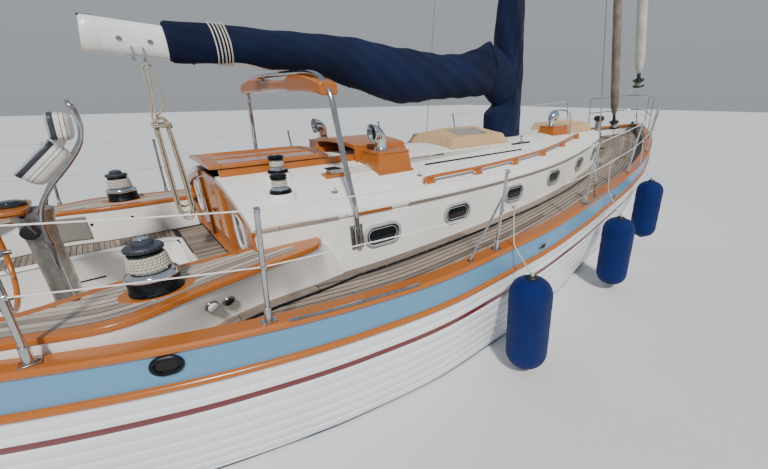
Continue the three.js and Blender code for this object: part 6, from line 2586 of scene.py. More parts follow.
@dataclass
class Mast:
    """The mast with its spreaders and fittings, and the navy cover that wraps its foot.

    Attributes:
        cover: Columns z, middle x, half-length and half-width of the cover, in millimetres.
    """

    cover: tuple[tuple[float, ...], ...] = (
        (1500, 1000, 340, 190), (1900, 1000, 340, 190), (2030, 1070, 230, 180), (2900, 1075, 225, 170),
        (3600, 1075, 170, 125),
    )

    def spar(self) -> None:
        """Makes the mast: an oval extrusion with a sail track, collars, spreaders and a masthead."""
        shape = Shape(SPAR_WHITE)
        rows = []
        for z in (1.601, 3.0, 6.0, 10.0, 14.0, 16.29):
            ring = []
            for t in around(36):
                slot = 0.012 if abs(math.sin(t)) < 0.1 and math.cos(t) < 0 else 0.0
                ring.append((1.07 + (0.1 - slot) * math.cos(t), 0.0675 * math.sin(t), z))
            rows.append(ring)
        shape.loft(rows)
        for z, half in ((6.9, 0.96), (11.6, 0.74)):
            for side in (1, -1):
                spread = [(1.065, side * y, z + 0.012 * y) for y in (0.06, half * 0.5, half)]
                shape.pipe(spread, [0.03, 0.027, 0.02], 12, dome=True, flat=0.55)
        shape.slab((0.85, -0.028, 16.242), (1.29, 0.028, 16.299))
        shape.make("mast_spar", stands_for=("mast",), bevel=0.002)
        metal = Shape(STAINLESS)
        for z in (6.9, 11.6):
            metal.lathe([(0.0, 0.0), (0.118, 0.0), (0.12, 0.01), (0.12, 0.07), (0.0, 0.08)], (1.07, 0, z - 0.04),
                        sides=28)
        metal.slab((1.07, -0.012, 14.0), (1.26, 0.012, 14.04))
        metal.slab((0.912, -0.018, 2.25), (0.985, 0.018, 2.31))
        metal.lathe([(0.0, -0.035), (0.0155, -0.033), (0.0155, 0.033), (0.0, 0.035)], (0.9, 0, 2.28), sides=28)
        metal.make("mast_fittings", bevel=0.002)

    def cloth(self) -> None:
        """Makes the mast cover: a gathered collar with deep slanting folds and a slot for the boom's end."""
        read = table(self.cover)
        rows = []
        for z in np.linspace(1.5, 3.6, 96):
            middle, long, wide = read(z)
            ring = []
            for t in around(72):
                x, y = middle + long * math.cos(t), wide * math.sin(t)
                low = max(z, LINES.roof(abs(y)) + 0.004)
                if 2.13 < z < 2.43:
                    x = max(x, 0.962 + 0.2 * abs(y))
                ring.append(np.array((x, y, low)))
            rows.append(ring)

        def folds(along: float, turn: float) -> float:
            """Slanting folds that run down from the collar and spread at the foot.

            Args:
                along: Share of the way up the cloth.
                turn: Share of the way round it.

            Returns:
                The fold's height, mostly from -1 to 1.
            """
            a = math.sin(math.tau * (turn * 5.0 + along * 2.1))
            b = math.sin(math.tau * (turn * 11.0 - along * 3.3 + 0.2)) * 0.45
            return (a + b) * (0.55 + 0.45 * math.sin(math.pi * along))

        moved = wrinkled(rows, 0.011, folds)
        made = Shape(NAVY).tube(moved).make("mast_foot_cover", stands_for=("mast_cover",), angle=math.radians(80))
        girth, area = girth_of(moved[20]), area_of(moved)

    def build(self) -> None:
        """Makes the mast and its cover."""
        self.spar()
        self.cloth()


@dataclass
class Rigging:
    """The standing rigging and the two furled sails on their stays."""

    def turnbuckle(self, shape: Shape, low: Point, high: Point, size: float) -> None:
        """Adds a rigging screw with its toggle and fork.

        Args:
            shape: The piece that gets it.
            low: Its lower end.
            high: Its upper end.
            size: Radius of its body.
        """
        a, b = np.array(low, float), np.array(high, float)
        at = lambda t: tuple(a + (b - a) * t)
        shape.pipe([at(0.0), at(0.1), at(0.12), at(0.22)], [size * 0.5, size * 0.5, size * 0.3, size * 0.3], 10)
        shape.pipe([at(0.215), at(0.23), at(0.62), at(0.635)], [size * 0.7, size, size, size * 0.7], 12)
        shape.pipe([at(0.63), at(0.78)], size * 0.3, 10)
        shape.pipe([at(0.775), at(0.8), at(0.97), at(1.0)], [size * 0.5, size * 0.6, size * 0.45, size * 0.25], 10)

    def roll(self, name: str, node: str, foot: Point, head: Point, drum: float, top: float, radius: float,
             strip: Finish, bands: float) -> None:
        """Makes one furled sail: a drum with its line, a wound roll with its cover strip, and the bare stay.

        Args:
            name: The piece's name.
            node: The CAD node that it stands for.
            foot: The stay's lower end.
            head: The stay's upper end.
            drum: Height of the drum's middle.
            top: Height of the roll's bare upper end.
            radius: The roll's widest radius.
            strip: The finish of the outer turns.
            bands: Width of the wound strip in metres.
        """
        a, b = np.array(foot, float), np.array(head, float)
        at = lambda z: a + (b - a) * (z - a[2]) / (b[2] - a[2])
        axis = (b - a) / np.linalg.norm(b - a)
        metal = Shape(STAINLESS)
        metal.pipe([at(a[2] + 0.004), at(drum - 0.08)], 0.0085, 10)
        self.turnbuckle(metal, at(a[2] + 0.02), at(min(a[2] + 0.36, drum - 0.09)), 0.017)
        metal.pipe([at(top - 0.9), at(top - 0.013)], 0.007, 8)
        metal.make(f"{name}_stay")
        case = Shape(BLACK_PLASTIC)
        r = radius * 1.13
        for low, high in ((-0.069, -0.052), (0.05, 0.069)):
            case.lathe([(0, low), (r, low), (r, high), (0, high)], at(drum), axis, 32)
        case.lathe([(0, -0.05), (r * 0.55, -0.05), (r * 0.55, 0.05), (0, 0.05)], at(drum), axis, 24)
        case.lathe([(0, 0.0695), (r * 0.5, 0.0695), (r * 0.35, 0.12), (r * 0.3, 0.2), (0, 0.2)], at(drum), axis, 24)
        case.make(f"{name}_drum")
        line = Shape(ROPE_WHITE)
        wind = []
        start = np.cross(axis, (0.0, 1.0, 0.0))
        start /= np.linalg.norm(start)
        other = np.cross(axis, start)
        for i in range(101):
            t = math.tau * i / 14
            out = start * math.cos(t) + other * math.sin(t)
            wind.append(at(drum) + axis * (-0.04 + 0.08 * i / 100) + out * (r * 0.62 + 0.012 * math.sin(i * 0.7)))
        line.pipe(wind, LASHING, 8, dome=True)
        line.make(f"{name}_drum_line")
        cloth = Shape(strip)
        levels = [(drum + 0.19, 0.3), (drum + 0.26, 0.62), (drum + 0.34, 0.86), (drum + 0.48, 1.0), (drum + 1.2, 0.98)]
        levels += [(top - 3.0, 0.75), (top - 0.95, 0.33), (top - 0.9, 0.12)]
        zs, sizes = np.array(levels).T
        count = int((zs[-1] - zs[0]) / 0.055)
        rings = []
        for z in np.linspace(zs[0], zs[-1], count):
            share = float(np.interp(z, zs, sizes))
            turn0 = z / bands * math.tau
            ring = []
            for t in around(24):
                wound = ((t + turn0) / math.tau) % 1.0
                size = radius * share * (0.93 + 0.07 * (1 - wound) + 0.012 * math.sin(5 * t + z * 9))
                ring.append(tuple(at(z) + start * size * math.cos(t) + other * size * math.sin(t)))
            rings.append(ring)
        cloth.loft(rings)
        cloth.make(name, stands_for=(node,), angle=math.radians(70))

    def shrouds(self) -> None:
        """Makes the shrouds, their chainplates and screws, and the backstay."""
        for side, name in ((1, "port"), (-1, "starboard")):
            shape = Shape(STAINLESS)
            foot = (0.85, side * 1.6, LINES.deck(0.85, 1.6) + 0.1)
            tips = [(1.05, side * 0.98, 6.9), (1.05, side * 0.76, 11.6), (1.05, side * 0.105, 16.21)]
            shape.pipe([(foot[0], foot[1], foot[2] + 0.3), *tips], 0.0062, 8)
            self.turnbuckle(shape, foot, (foot[0] + 0.01, foot[1] - side * 0.035, foot[2] + 0.38), 0.017)
            low = LINES.deck(0.85, 1.6) + TEAK_TOP
            shape.slab((0.82, side * 1.6 - 0.006, low), (0.88, side * 1.6 + 0.006, low + 0.105))
            shape.slab((0.79, side * 1.6 - 0.03, low), (0.91, side * 1.6 + 0.03, low + 0.006))
            shape.make(f"shroud_{name}", stands_for=(f"cap_shroud_{name}",), bevel=0.001)
        back = Shape(STAINLESS)
        z = LINES.sheer(-5.89) + 0.043
        back.slab((-5.915, -0.008, z), (-5.865, 0.008, z + 0.09))
        back.pipe([(-5.86, 0, z + 0.35), (0.87, 0, 16.2395)], 0.0062, 8)
        self.turnbuckle(back, (-5.885, 0, z + 0.05), (-5.842, 0, z + 0.42), 0.016)
        back.make("backstay_wire", stands_for=("backstay",), bevel=0.001)

    def build(self) -> None:
        """Makes the rigging."""
        self.shrouds()
        self.roll("staysail_roll", "furled_staysail", (4.79, 0, 1.15), (1.215, 0, 14.04), 1.56, 14.0, 0.085,
                  SAIL_STRIP, 0.42)
        self.roll("genoa_roll", "furled_genoa", (5.85, 0, 1.535), (1.25, 0, 16.3), 2.39, 16.24, 0.105, SAIL, 0.5)


@dataclass
class Neck:
    """The navy cloth that joins the sail cover to the mast cover and gives as the boom swings."""

    def build(self) -> None:
        """Makes the cloth between the two covers, puckered like a sleeve."""
        read = table(Boom().cover)
        rows = []
        low, high, half = read(0.66)
        centre, tall = (low + high) / 2, (high - low) / 2
        for share in np.linspace(0, 1, 16):
            ease = share * share * (3 - 2 * share)
            ring = []
            for t in around(56):
                c, s = math.cos(t), math.sin(t)
                lean = (half + 0.006) * (1 - 0.38 * max(0.0, s) ** 1.3)
                a = np.array((0.655, lean * c, centre + (tall + 0.004) * s))
                y = 0.196 * c
                depth = 0.242 * math.sqrt(max(0.0, 1 - (y / 0.2) ** 2))
                reach = 1.07 - depth + 0.075 * max(0.0, abs(c) - 0.7) / 0.3
                b = np.array((reach, y, 2.30 + 0.30 * s + 0.11 * max(0.0, s)))
                p = a * (1 - ease) + b * ease
                pucker = 0.007 * math.sin(9 * t + 5 * share) * math.sin(math.pi * share)
                p[1] *= 1 + pucker * 3
                ring.append(p + np.array((0, 0, pucker)))
            rows.append(ring)
        moved = wrinkled(rows, 0.006, lambda a, t: math.sin(math.tau * (6 * t + a)) * math.sin(math.pi * a))
        made = Shape(NAVY).tube(moved).make("cover_sleeve", body="", angle=math.radians(80))
        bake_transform(made)
        girth, area = girth_of(moved[8]), area_of(moved)


# Deck and roof gear


@dataclass
class RoofGear:
    """What stands on the trunk's roof: ventilator boxes with cowls, the cloth covers and the tracks.

    Attributes:
        boxes: Name, x, y, length, width, top and the cowl's x, in metres.
    """

    boxes: tuple[tuple[str, float, float, float, float, float, float, int], ...] = (
        ("dorade_starboard", -1.38, -0.6, 0.36, 0.30, 1.68, -1.43, -1),
        ("dorade_port", -1.38, 0.6, 0.36, 0.30, 1.68, -1.43, -1),
        ("dorade_forward", 1.945, -0.26, 0.42, 0.28, 1.70, 1.86, 1),
    )

    def dorade(self, name: str, x: float, y: float, long: float, wide: float, top: float, cowl_x: float,
               way: int) -> None:
        """Makes one ventilator: a tapered teak box with a lid and a silver cowl.

        Args:
            name: The CAD node that it stands for.
            x: Middle of the box along the yacht.
            y: Middle of the box across.
            long: Its length.
            wide: Its width.
            top: Height of its top.
            cowl_x: Place of the cowl.
            way: 1 if its mouth faces forward, -1 if aft.
        """
        shape = Shape(VARNISH)
        rows = []
        for z, t in ((0.0, 0.0), (top - 0.018, 0.018)):
            ring = []
            for a, b in ((-1, -1), (1, -1), (1, 1), (-1, 1)):
                px, py = x + a * (long / 2 - t), y + b * (wide / 2 - t)
                ring.append((px, py, LINES.roof(py) + PROUD if z == 0 else z))
            rows.append(ring)
        shape.loft(rows)
        u, v = long / 2 - 0.012, wide / 2 - 0.012
        shape.slab((x - u, y - v, top - 0.0178), (x + u, y + v, top - 0.0002))
        for a in (-1, 1):
            y1 = y + a * (wide / 2 + 0.002)
            z1 = LINES.roof(y1)
            y_low, y_high = sorted((y1 - a * 0.006, y1 + a * 0.008))
            shape.slab((x - long / 2 - 0.008, y_low, z1 + 0.0006), (x + long / 2 + 0.008, y_high, z1 + 0.022))
        shape.make(f"{name}_box", stands_for=(name,), bevel=0.003)
        cowl = Shape(CHROME)
        cowl.lathe([(0.0, 0), (0.066, 0), (0.067, 0.006), (0.060, 0.012), (0.054, 0.03), (0.0, 0.03)],
                   (cowl_x, y, top), sides=32)
        path = [(cowl_x, y, top + 0.028), (cowl_x, y, top + 0.075)]
        for a in np.linspace(0.15, math.pi / 2, 9):
            path.append((cowl_x + way * 0.062 * (1 - math.cos(a)), y, top + 0.085 + 0.066 * math.sin(a)))
        path.append((cowl_x + way * 0.083, y, top + 0.153))
        sizes = [0.052, 0.052, 0.053, 0.054, 0.056, 0.058, 0.061, 0.064, 0.068, 0.072, 0.075, 0.0775]
        line = np.array(path)
        side, up = frames(line, up=(1, 0, 0))
        rings = lambda thick: [
            [p + (r - thick) * (math.cos(k) * s + math.sin(k) * t) for k in around(32)]
            for p, r, s, t in zip(line, sizes, side, up)
        ]
        cowl.loft(rings(0.0) + rings(0.003)[::-1][:7])
        end = line[-1]
        rim = [(end[0], y + 0.0775 * math.cos(k), end[2] + 0.0775 * math.sin(k)) for k in around(32)]
        cowl.pipe(rim, 0.004, 8, closed=True)
        # A black disc inside the mouth: painted shade in the cowl's throat.
        cowl.use(CAULK_AND_SHADE)
        cowl.lathe([(0, 0), (0.066, 0), (0.066, 0.002), (0, 0.002)], (end[0] - way * 0.045, y, end[2] - 0.004),
                   (way, 0, 0), 24)
        cowl.make(f"{name}_cowl", angle=math.radians(50))

    def cover(self, name: str, node: str, x0: float, x1: float, half: float, top: float, ridge: float, drop: float,
              inset: float) -> None:
        """Makes one cloth cover drawn over a hatch: a gable with soft creases, a hem and a draw cord's folds.

        Args:
            name: The piece's name.
            node: The CAD node that it stands for.
            x0: Its aft edge.
            x1: Its forward edge.
            half: Half its width.
            top: Height of its ridge.
            ridge: Half the ridge's length over half the cover's.
            drop: How far its eaves lie below the ridge.
            inset: How far its sides lean in.
        """
        n, m, eave = 60, 48, 0.84
        middle, long = (x0 + x1) / 2, (x1 - x0) / 2
        chance = random.Random(SEED + len(name))
        limits = ((-1, 1), (-1, 1), (0.12, 0.3), (-1, 1))
        bumps = [[chance.uniform(*pair) for pair in limits] for _ in range(24)]
        rows = []
        for i in range(n + 1):
            u = -1 + 2 * i / n
            row = []
            for k in range(m + 1):
                v = -1 + 2 * k / m
                a, b = abs(u), abs(v)
                edge = max(a, b)
                gable = drop * max(b / eave, max(0.0, a - ridge) / (eave - ridge) * 0.9)
                lump = sum(w * math.exp(-(((u - p) / r) ** 2 + ((v - q) / r) ** 2)) for p, q, r, w in bumps) * 0.004
                if edge <= eave:
                    z = top - min(gable, drop) - 0.008 * math.sin(math.pi * min(1.0, b / eave)) * (1 - a) + lump
                    x = middle + u / eave * (long - inset)
                    y = v / eave * (half - inset)
                else:
                    fall = (edge - eave) / (1 - eave)
                    scale = (1 - fall) * eave + fall
                    px, py = u / edge * scale, v / edge * scale
                    x = middle + np.clip(px / eave, -1, 1) * (long - inset * (1 - fall))
                    y = np.clip(py / eave, -1, 1) * (half - inset * (1 - fall))
                    foot = LINES.roof(y) + 0.003
                    start = top - drop
                    z = start + (foot - start) * fall**0.9
                    fold = 0.006 * math.sin(26 * (u if b > a else v) + 3 * fall) * fall
                    x += fold * (u > 0.8) - fold * (u < -0.8)
                    y += fold * (v > 0.8) - fold * (v < -0.8)
                row.append((x, y, max(z, LINES.roof(y) + 0.003)))
            rows.append(row)
        upper = np.array(rows)
        shape = Shape(TAN)
        self.closed_sheet(shape, upper, CLOTH_THICK)
        made = shape.make(name, stands_for=(node,), angle=math.radians(75))
        hem = np.vstack([upper[0], upper[1:, -1], upper[-1, -2::-1], upper[-2:0:-1, 0]])
        hem = [(x + (x - middle) * 0.012, y * 1.012, z + 0.016) for x, y, z in hem]
        repeated(Repeat.STITCHES, f"{name}_stitches", ROPE_WHITE, [hem], Width=0.0011, Length=0.006, Pitch=0.010)

    def closed_sheet(self, shape: Shape, upper: np.ndarray, thick: float) -> None:
        """Adds a thin closed body under a grid of points.

        Args:
            shape: The piece that gets it.
            upper: The grid, row by row.
            thick: Its thickness.
        """
        n, m = upper.shape[:2]
        points = np.vstack([upper.reshape(-1, 3), (upper - (0, 0, thick)).reshape(-1, 3)])
        faces, charts = [], []
        for layer in (0, 1):
            for i in range(n - 1):
                for k in range(m - 1):
                    ring = [i * m + k, i * m + k + 1, (i + 1) * m + k + 1, (i + 1) * m + k]
                    ring = [layer * n * m + c for c in (ring if layer == 0 else ring[::-1])]
                    faces.append(ring)
                    charts.append([(points[c][0], points[c][1]) for c in ring])
        border = [(0, k) for k in range(m)] + [(i, m - 1) for i in range(1, n)]
        border += [(n - 1, k) for k in range(m - 2, -1, -1)] + [(i, 0) for i in range(n - 2, 0, -1)]
        for (i, k), (j, l) in zip(border, border[1:] + border[:1]):
            ring = [j * m + l, i * m + k, n * m + i * m + k, n * m + j * m + l]
            faces.append(ring)
            charts.append([(points[c][0], points[c][1]) for c in ring])
        shape.island(points, faces, charts)

    def tracks(self) -> None:
        """Makes the black tracks along the roof and the side decks, the clutches, blocks and padeyes."""
        black, metal, teak, cast = Shape(BLACK_METAL), Shape(STAINLESS), Shape(VARNISH), Shape(DULL_METAL)
        for side in (1, -1):
            line = []
            for x in np.linspace(-2.95, 2.6, 46):
                y = (LINES.coaming_foot(x) if x < -2.1 else LINES.trunk_half(x)) + 0.12
                line.append((x, side * y, LINES.deck(x, y) + 0.021))
            black.pipe(line, 0.013, 8, flat=0.6)
            for y, x0, x1 in ((0.70, -1.0, 0.55), (0.52, -1.1, -0.6)):
                rail = [(x, side * y, LINES.roof(y) + 0.007) for x in np.linspace(x0, x1, 12)]
                black.pipe(rail, 0.011, 8, flat=0.7)
            x, y = 0.78, 0.52
            z = LINES.roof(y)
            black.slab((x - 0.19, side * y - 0.016, z + 0.001), (x + 0.19, side * y + 0.016, z + 0.014))
            metal.slab((x - 0.035, side * y - 0.02, z + 0.0145), (x + 0.035, side * y + 0.02, z + 0.032))
            metal.lathe([(0, 0), (0.012, 0), (0.011, 0.05), (0.017, 0.056), (0.015, 0.07), (0, 0.074)],
                        (x, side * y, z + 0.0325), sides=16)
            px, py = -1.90, 0.62
            pz = LINES.roof(py)
            teak.slab((px - 0.11, side * py - 0.06, pz - 0.008), (px + 0.11, side * py + 0.06, pz + 0.016))
            for k in range(3):
                y1 = side * py - 0.036 + 0.036 * k
                cast.slab((px - 0.06, y1 - 0.013, pz + 0.0165), (px + 0.05, y1 + 0.013, pz + 0.052))
                cast.lathe([(0, -0.0125), (0.016, -0.012), (0.016, 0.012), (0, 0.0125)], (px + 0.062, y1, pz + 0.034),
                           (0, 1, 0), 16)
                black.slab((px - 0.075, y1 - 0.009, pz + 0.0525), (px + 0.02, y1 + 0.009, pz + 0.062))
            for x, y in ((-2.05, 0.88), (-1.2, 0.86)):
                z = LINES.roof(y)
                metal.lathe([(0, 0), (0.028, 0), (0.026, 0.005), (0, 0.006)], (x, side * y, z), sides=20)
                arc = [(x + 0.018 * math.cos(t), side * y, z + 0.004 + 0.026 * math.sin(t))
                       for t in np.linspace(0, math.pi, 11)]
                metal.pipe(arc, 0.0042, 8)
        black.make("deck_tracks", bevel=0.001)
        metal.make("roof_fittings", bevel=0.0015)
        teak.make("clutch_pads", bevel=0.003)
        cast.make("line_clutches", bevel=0.003)
        lines = Shape(ROPE_WHITE)
        for side in (1, -1):
            for k in range(3):
                y = side * 0.62 - 0.036 + 0.036 * k
                path = [(x, y + (x + 1.9) * -0.05 * side, LINES.roof(y) + 0.024) for x in np.linspace(-1.82, 0.9, 24)]
                lines.pipe(path, 0.0048, 6, dome=True)
        lines.make("halyard_lines")
        bolts = []
        for x in np.linspace(-2.15, 2.55, 48):
            y = LINES.trunk_half(x) + 0.125
            bolts += [(x, side * y, LINES.deck(x, y) + 0.0285) for side in (1, -1)]
        repeated(Repeat.SCREWS, "track_screws", STAINLESS, bolts, facings=[(0, 0, 1)], Width=0.0045, Height=0.003)

    def hoop(self) -> None:
        """Makes the bright hoop that guards the forward ventilator's cowl."""
        shape = Shape(STAINLESS)
        x, ends = 2.19, [(y, LINES.roof(y)) for y in (-0.415, -0.10)]
        arch = [(-0.02, -0.415, 1.80), (-0.05, -0.38, 1.90), (-0.07, -0.26, 1.925), (-0.05, -0.13, 1.90),
                (-0.02, -0.10, 1.80)]
        first, last = ((x, y, z + 0.002) for y, z in ends)
        shape.pipe(through([first, *[(x + a, y, z) for a, y, z in arch], last], 6), 0.0095, 12)
        for y, z in ends:
            shape.lathe([(0, 0), (0.024, 0), (0.022, 0.006), (0.011, 0.012), (0, 0.012)], (x, y, z), sides=18)
        shape.make("cowl_guard")

    def build(self) -> None:
        """Makes all the roof gear."""
        for box in self.boxes:
            self.dorade(*box)
        self.cover("skylight_canvas", "skylight_cover", -0.38, 0.62, 0.42, 1.765, 0.55, 0.085, 0.045)
        self.cover("fore_hatch_canvas", "fore_hatch_cover", 2.25, 2.95, 0.39, 1.755, 0.45, 0.06, 0.035)
        self.panel()
        self.tracks()
        self.hoop()

    def panel(self) -> None:
        """Makes the clouded windows sewn into the skylight's cover."""
        shape = Shape(VINYL_PANEL)
        for side in (1, -1):
            rows = []
            for x in np.linspace(-0.16, 0.36, 8):
                row = []
                for y in np.linspace(0.06, 0.30, 7):
                    z = 1.765 - 0.085 * y / 0.352 - 0.008 * math.sin(math.pi * min(1.0, y / 0.375)) * 0.8 + 0.0065
                    row.append((x, side * y, z))
                rows.append(row)
            self.closed_sheet(shape, np.array(rows), 0.004)
        shape.make("skylight_windows", angle=math.radians(60))


@dataclass
class DeckEdge:
    """Stanchions and lifelines, the end rails, fenders, the windlass and the mooring fittings.

    Attributes:
        stations: The stanchions' places along the yacht.
        height: Height of a stanchion above the caprail.
        lower: Height of the lower wire.
    """

    stations: tuple[float, ...] = (-4.35, -3.70, -2.87, -1.30, 0.15, 1.65, 3.10, 4.35)
    height: float = 0.62
    lower: float = 0.32

    def rail_at(self, x: float, lift: float, side: int) -> tuple[float, float, float]:
        """Gives a place above the caprail's middle, square to the sheer and leaning out a little.

        Args:
            x: The place along the yacht.
            lift: How far above the caprail.
            side: 1 to port, -1 to starboard.

        Returns:
            The place.
        """
        slope = (LINES.sheer(x + 0.05) - LINES.sheer(x - 0.05)) / 0.1
        return (x - slope * lift, side * (LINES.beam(x) - 0.04 + 0.15 * lift), LINES.sheer(x) + CAP_HEIGHT + lift)

    def lifelines(self) -> None:
        """Makes the stanchions with their feet, and the wires with their screws."""
        for side, name in ((1, "port"), (-1, "starboard")):
            shape = Shape(STAINLESS)
            for x in self.stations:
                _, y, z = self.rail_at(x, 0, side)
                shape.slab((x - 0.035, y - 0.028, z + 0.0006), (x + 0.035, y + 0.028, z + 0.007))
                lean = tuple(np.subtract(self.rail_at(x, 1.0, side), (x, y, z)))
                socket_rows = [(0, 0.0072), (0.021, 0.0072), (0.0185, 0.02), (0.0175, 0.085), (0.0155, 0.09), (0, 0.09)]
                shape.lathe(socket_rows, (x, y, z), lean, 18)
                shape.pipe([self.rail_at(x, 0.01, side), self.rail_at(x, self.height - 0.008, side)], 0.0122, 14,
                           dome=True)
                for lift in (self.lower, self.height - 0.012):
                    shape.lathe([(0, -0.013), (0.0155, -0.012), (0.0155, 0.012), (0, 0.013)],
                                self.rail_at(x, lift, side), (1, 0, 0.02), 14)
            for x, to in ((0.15, 0.43), (-1.30, -1.58)):
                a = self.rail_at(x, 0.44, side)
                b = self.rail_at(to, 0.008, side)
                shape.pipe([a, b], 0.0085, 10)
                shape.slab((b[0] - 0.024, b[1] - 0.018, b[2] - 0.007), (b[0] + 0.024, b[1] + 0.018, b[2] - 0.0015))
            shape.make(f"stanchions_{name}", stands_for=(f"lifelines_{name}",), bevel=0.0012)
            wires = Shape(WHITE_PLASTIC)
            for lift in (self.lower, self.height - 0.012):
                for a, b in zip(self.stations, self.stations[1:]):
                    p, q = np.array(self.rail_at(a, lift, side)), np.array(self.rail_at(b, lift, side))
                    sag = np.array((0, 0, 0.004 * (b - a)))
                    wires.pipe([p + (q - p) * t - sag * 4 * t * (1 - t) for t in np.linspace(0, 1, 9)], 0.0037, 8)
            wires.make(f"lifeline_wires_{name}")

    def end_rail(self, name: str, half: Sequence[tuple[float, float, int]]) -> None:
        """Makes the rail round one end of the yacht.

        Args:
            name: The CAD node that it stands for.
            half: Half plan in metres: x, y, and 1 where a post stands.
        """
        cap = lambda x: LINES.sheer(x) + CAP_HEIGHT
        plan = [*half, *[(x, -y, post) for x, y, post in half[-2::-1]]]
        shape = Shape(STAINLESS)
        shape.pipe(through([(x, y, cap(x) + self.height) for x, y, _ in plan], 8), 0.0138, 14, dome=True)
        for x, y, post in plan:
            if post:
                shape.pipe([(x, y, cap(x) + 0.002), (x, y, cap(x) + 0.615)], 0.0128, 12)
                shape.lathe([(0, 0.0008), (0.034, 0.0008), (0.033, 0.007), (0.02, 0.016), (0, 0.016)], (x, y, cap(x)),
                            sides=20)
        shape.pipe(through([(x, y, cap(x) + self.lower) for x, y, _ in plan], 8), 0.0105, 10, dome=True)
        shape.make(f"{name}_rail", stands_for=(name,))

    def fender(self, name: str, x: float, y: float, middle: float) -> None:
        """Makes one fender: a cylinder of blue cloth over a tube, dark collars and a lanyard.

        Args:
            name: The CAD node that it stands for.
            x: Its place along the yacht.
            y: Its place across.
            middle: Height of its middle.
        """
        shape = Shape(FENDER_CLOTH)
        r, half = 0.1705, 0.3955
        neck, shoulder = 0.045, 0.135
        swell = r - neck
        low, high = np.linspace(0.2, math.pi / 2, 9), np.linspace(0.0, math.pi / 2 - 0.2, 9)
        profile = [(0.0, -half - 0.004), (neck, -half)]
        profile += [(neck + swell * math.sin(a), -half + shoulder * (1 - math.cos(a))) for a in low]
        profile += [(r + 0.0015 * math.sin(z * 40), z) for z in np.linspace(-half + 0.16, half - 0.16, 11)]
        profile += [(neck + swell * math.cos(a), half - shoulder * (1 - math.sin(a))) for a in high]
        profile += [(neck, half), (0.0, half + 0.004)]
        shape.lathe(profile, (x, y, middle), sides=48)
        shape.use(BLACK_PLASTIC)
        for way in (1, -1):
            shape.lathe([(0, 0), (0.043, 0), (0.046, 0.008), (0.040, 0.02), (0.022, 0.028), (0, 0.028)],
                        (x, y, middle + way * half), (0, 0, way), 28)
        shape.make(f"{name}_body", stands_for=(name,), angle=math.radians(50))
        seam = [[(x + (r + 0.001) * math.cos(t), y + (r + 0.001) * math.sin(t), middle + z)
                 for z in np.linspace(-0.27, 0.27, 12)]
                for t in (0.6, 0.6 + math.pi)]
        repeated(Repeat.STITCHES, f"{name}_stitches", ROPE_GREY, seam, Width=0.0012, Length=0.007, Pitch=0.011)
        top = np.array(self.rail_at(x, 0.318, -1))
        over = np.array((x, -(LINES.beam(x) + 0.0215), LINES.sheer(x) + CAP_HEIGHT + 0.004))
        eye = np.array((x, y, middle + half + 0.024))
        path = rounded([top, top + (over - top) * 0.5, over, over + (eye - over) * 0.5, eye], 0.03, 5)
        rope = Shape(ROPE_WHITE)
        rope.pipe(path, LASHING, 10)
        lanyard = rope.make(f"{name}_lanyard")
        knots = Shape(ROPE_WHITE)
        for base, tilt in ((top, (1, 0, 0)), (eye + (0, 0, 0.012), (0, 0, 1))):
            axis = Vector(tilt)
            wind = []
            one = Vector((0, 1, 0)) if tilt[0] else Vector((1, 0, 0))
            two = axis.cross(one)
            for i in range(43):
                t = math.tau * i / 14
                out = (one * math.cos(t) + two * math.sin(t)) * 0.0105
                wind.append(Vector(base) + axis * (-0.016 + 0.011 * i / 14) + out)
            knots.pipe(wind, LASHING, 8, dome=True)
        knots.make(f"{name}_hitch")

    def windlass(self) -> None:
        """Makes the upright windlass: a plate, a post with a chain wheel, and a black-topped drum."""
        x, y = 3.56, -0.2
        deck = LINES.deck(x, y) + TEAK_TOP
        shape = Shape(BRONZE)
        shape.slab((x - 0.158, y - 0.108, deck), (x + 0.158, y + 0.108, deck + 0.03))
        post = ((0, 0), (0.093, 0), (0.094, 0.02), (0.068, 0.05), (0.064, 0.16), (0.066, 0.2), (0, 0.2))
        shape.turned((x, y, deck + 0.0305), ((DULL_METAL, 32, post),))
        low = deck + 0.2312
        high = 1.79 - low
        wheel = ((0, 0), (0.090, 0), (0.092, 0.012), (0.074, 0.024), (0.074, 0.034), (0.092, 0.046), (0.090, 0.058),
                 (0, 0.058))
        drum = ((0, 0.0585), (0.072, 0.0585), (0.062, 0.09), (0.057, high - 0.16), (0.062, high - 0.10),
                (0.078, high - 0.085),
                (0.0, high - 0.085))
        cap = ((0, high - 0.0845), (0.088, high - 0.0845), (0.093, high - 0.07), (0.090, high - 0.03),
               (0.07, high - 0.006),
               (0, high))
        shape.turned((x, y, low), ((BRONZE, 32, wheel), (DULL_METAL, 32, drum), (BLACK_PLASTIC, 32, cap)))
        shape.turned((x, y, 1.79), ((CHROME, 20, ((0, 0), (0.03, 0), (0.028, 0.0005), (0, 0.001))),))
        shape.make("anchor_windlass", stands_for=("windlass",), bevel=0.003)

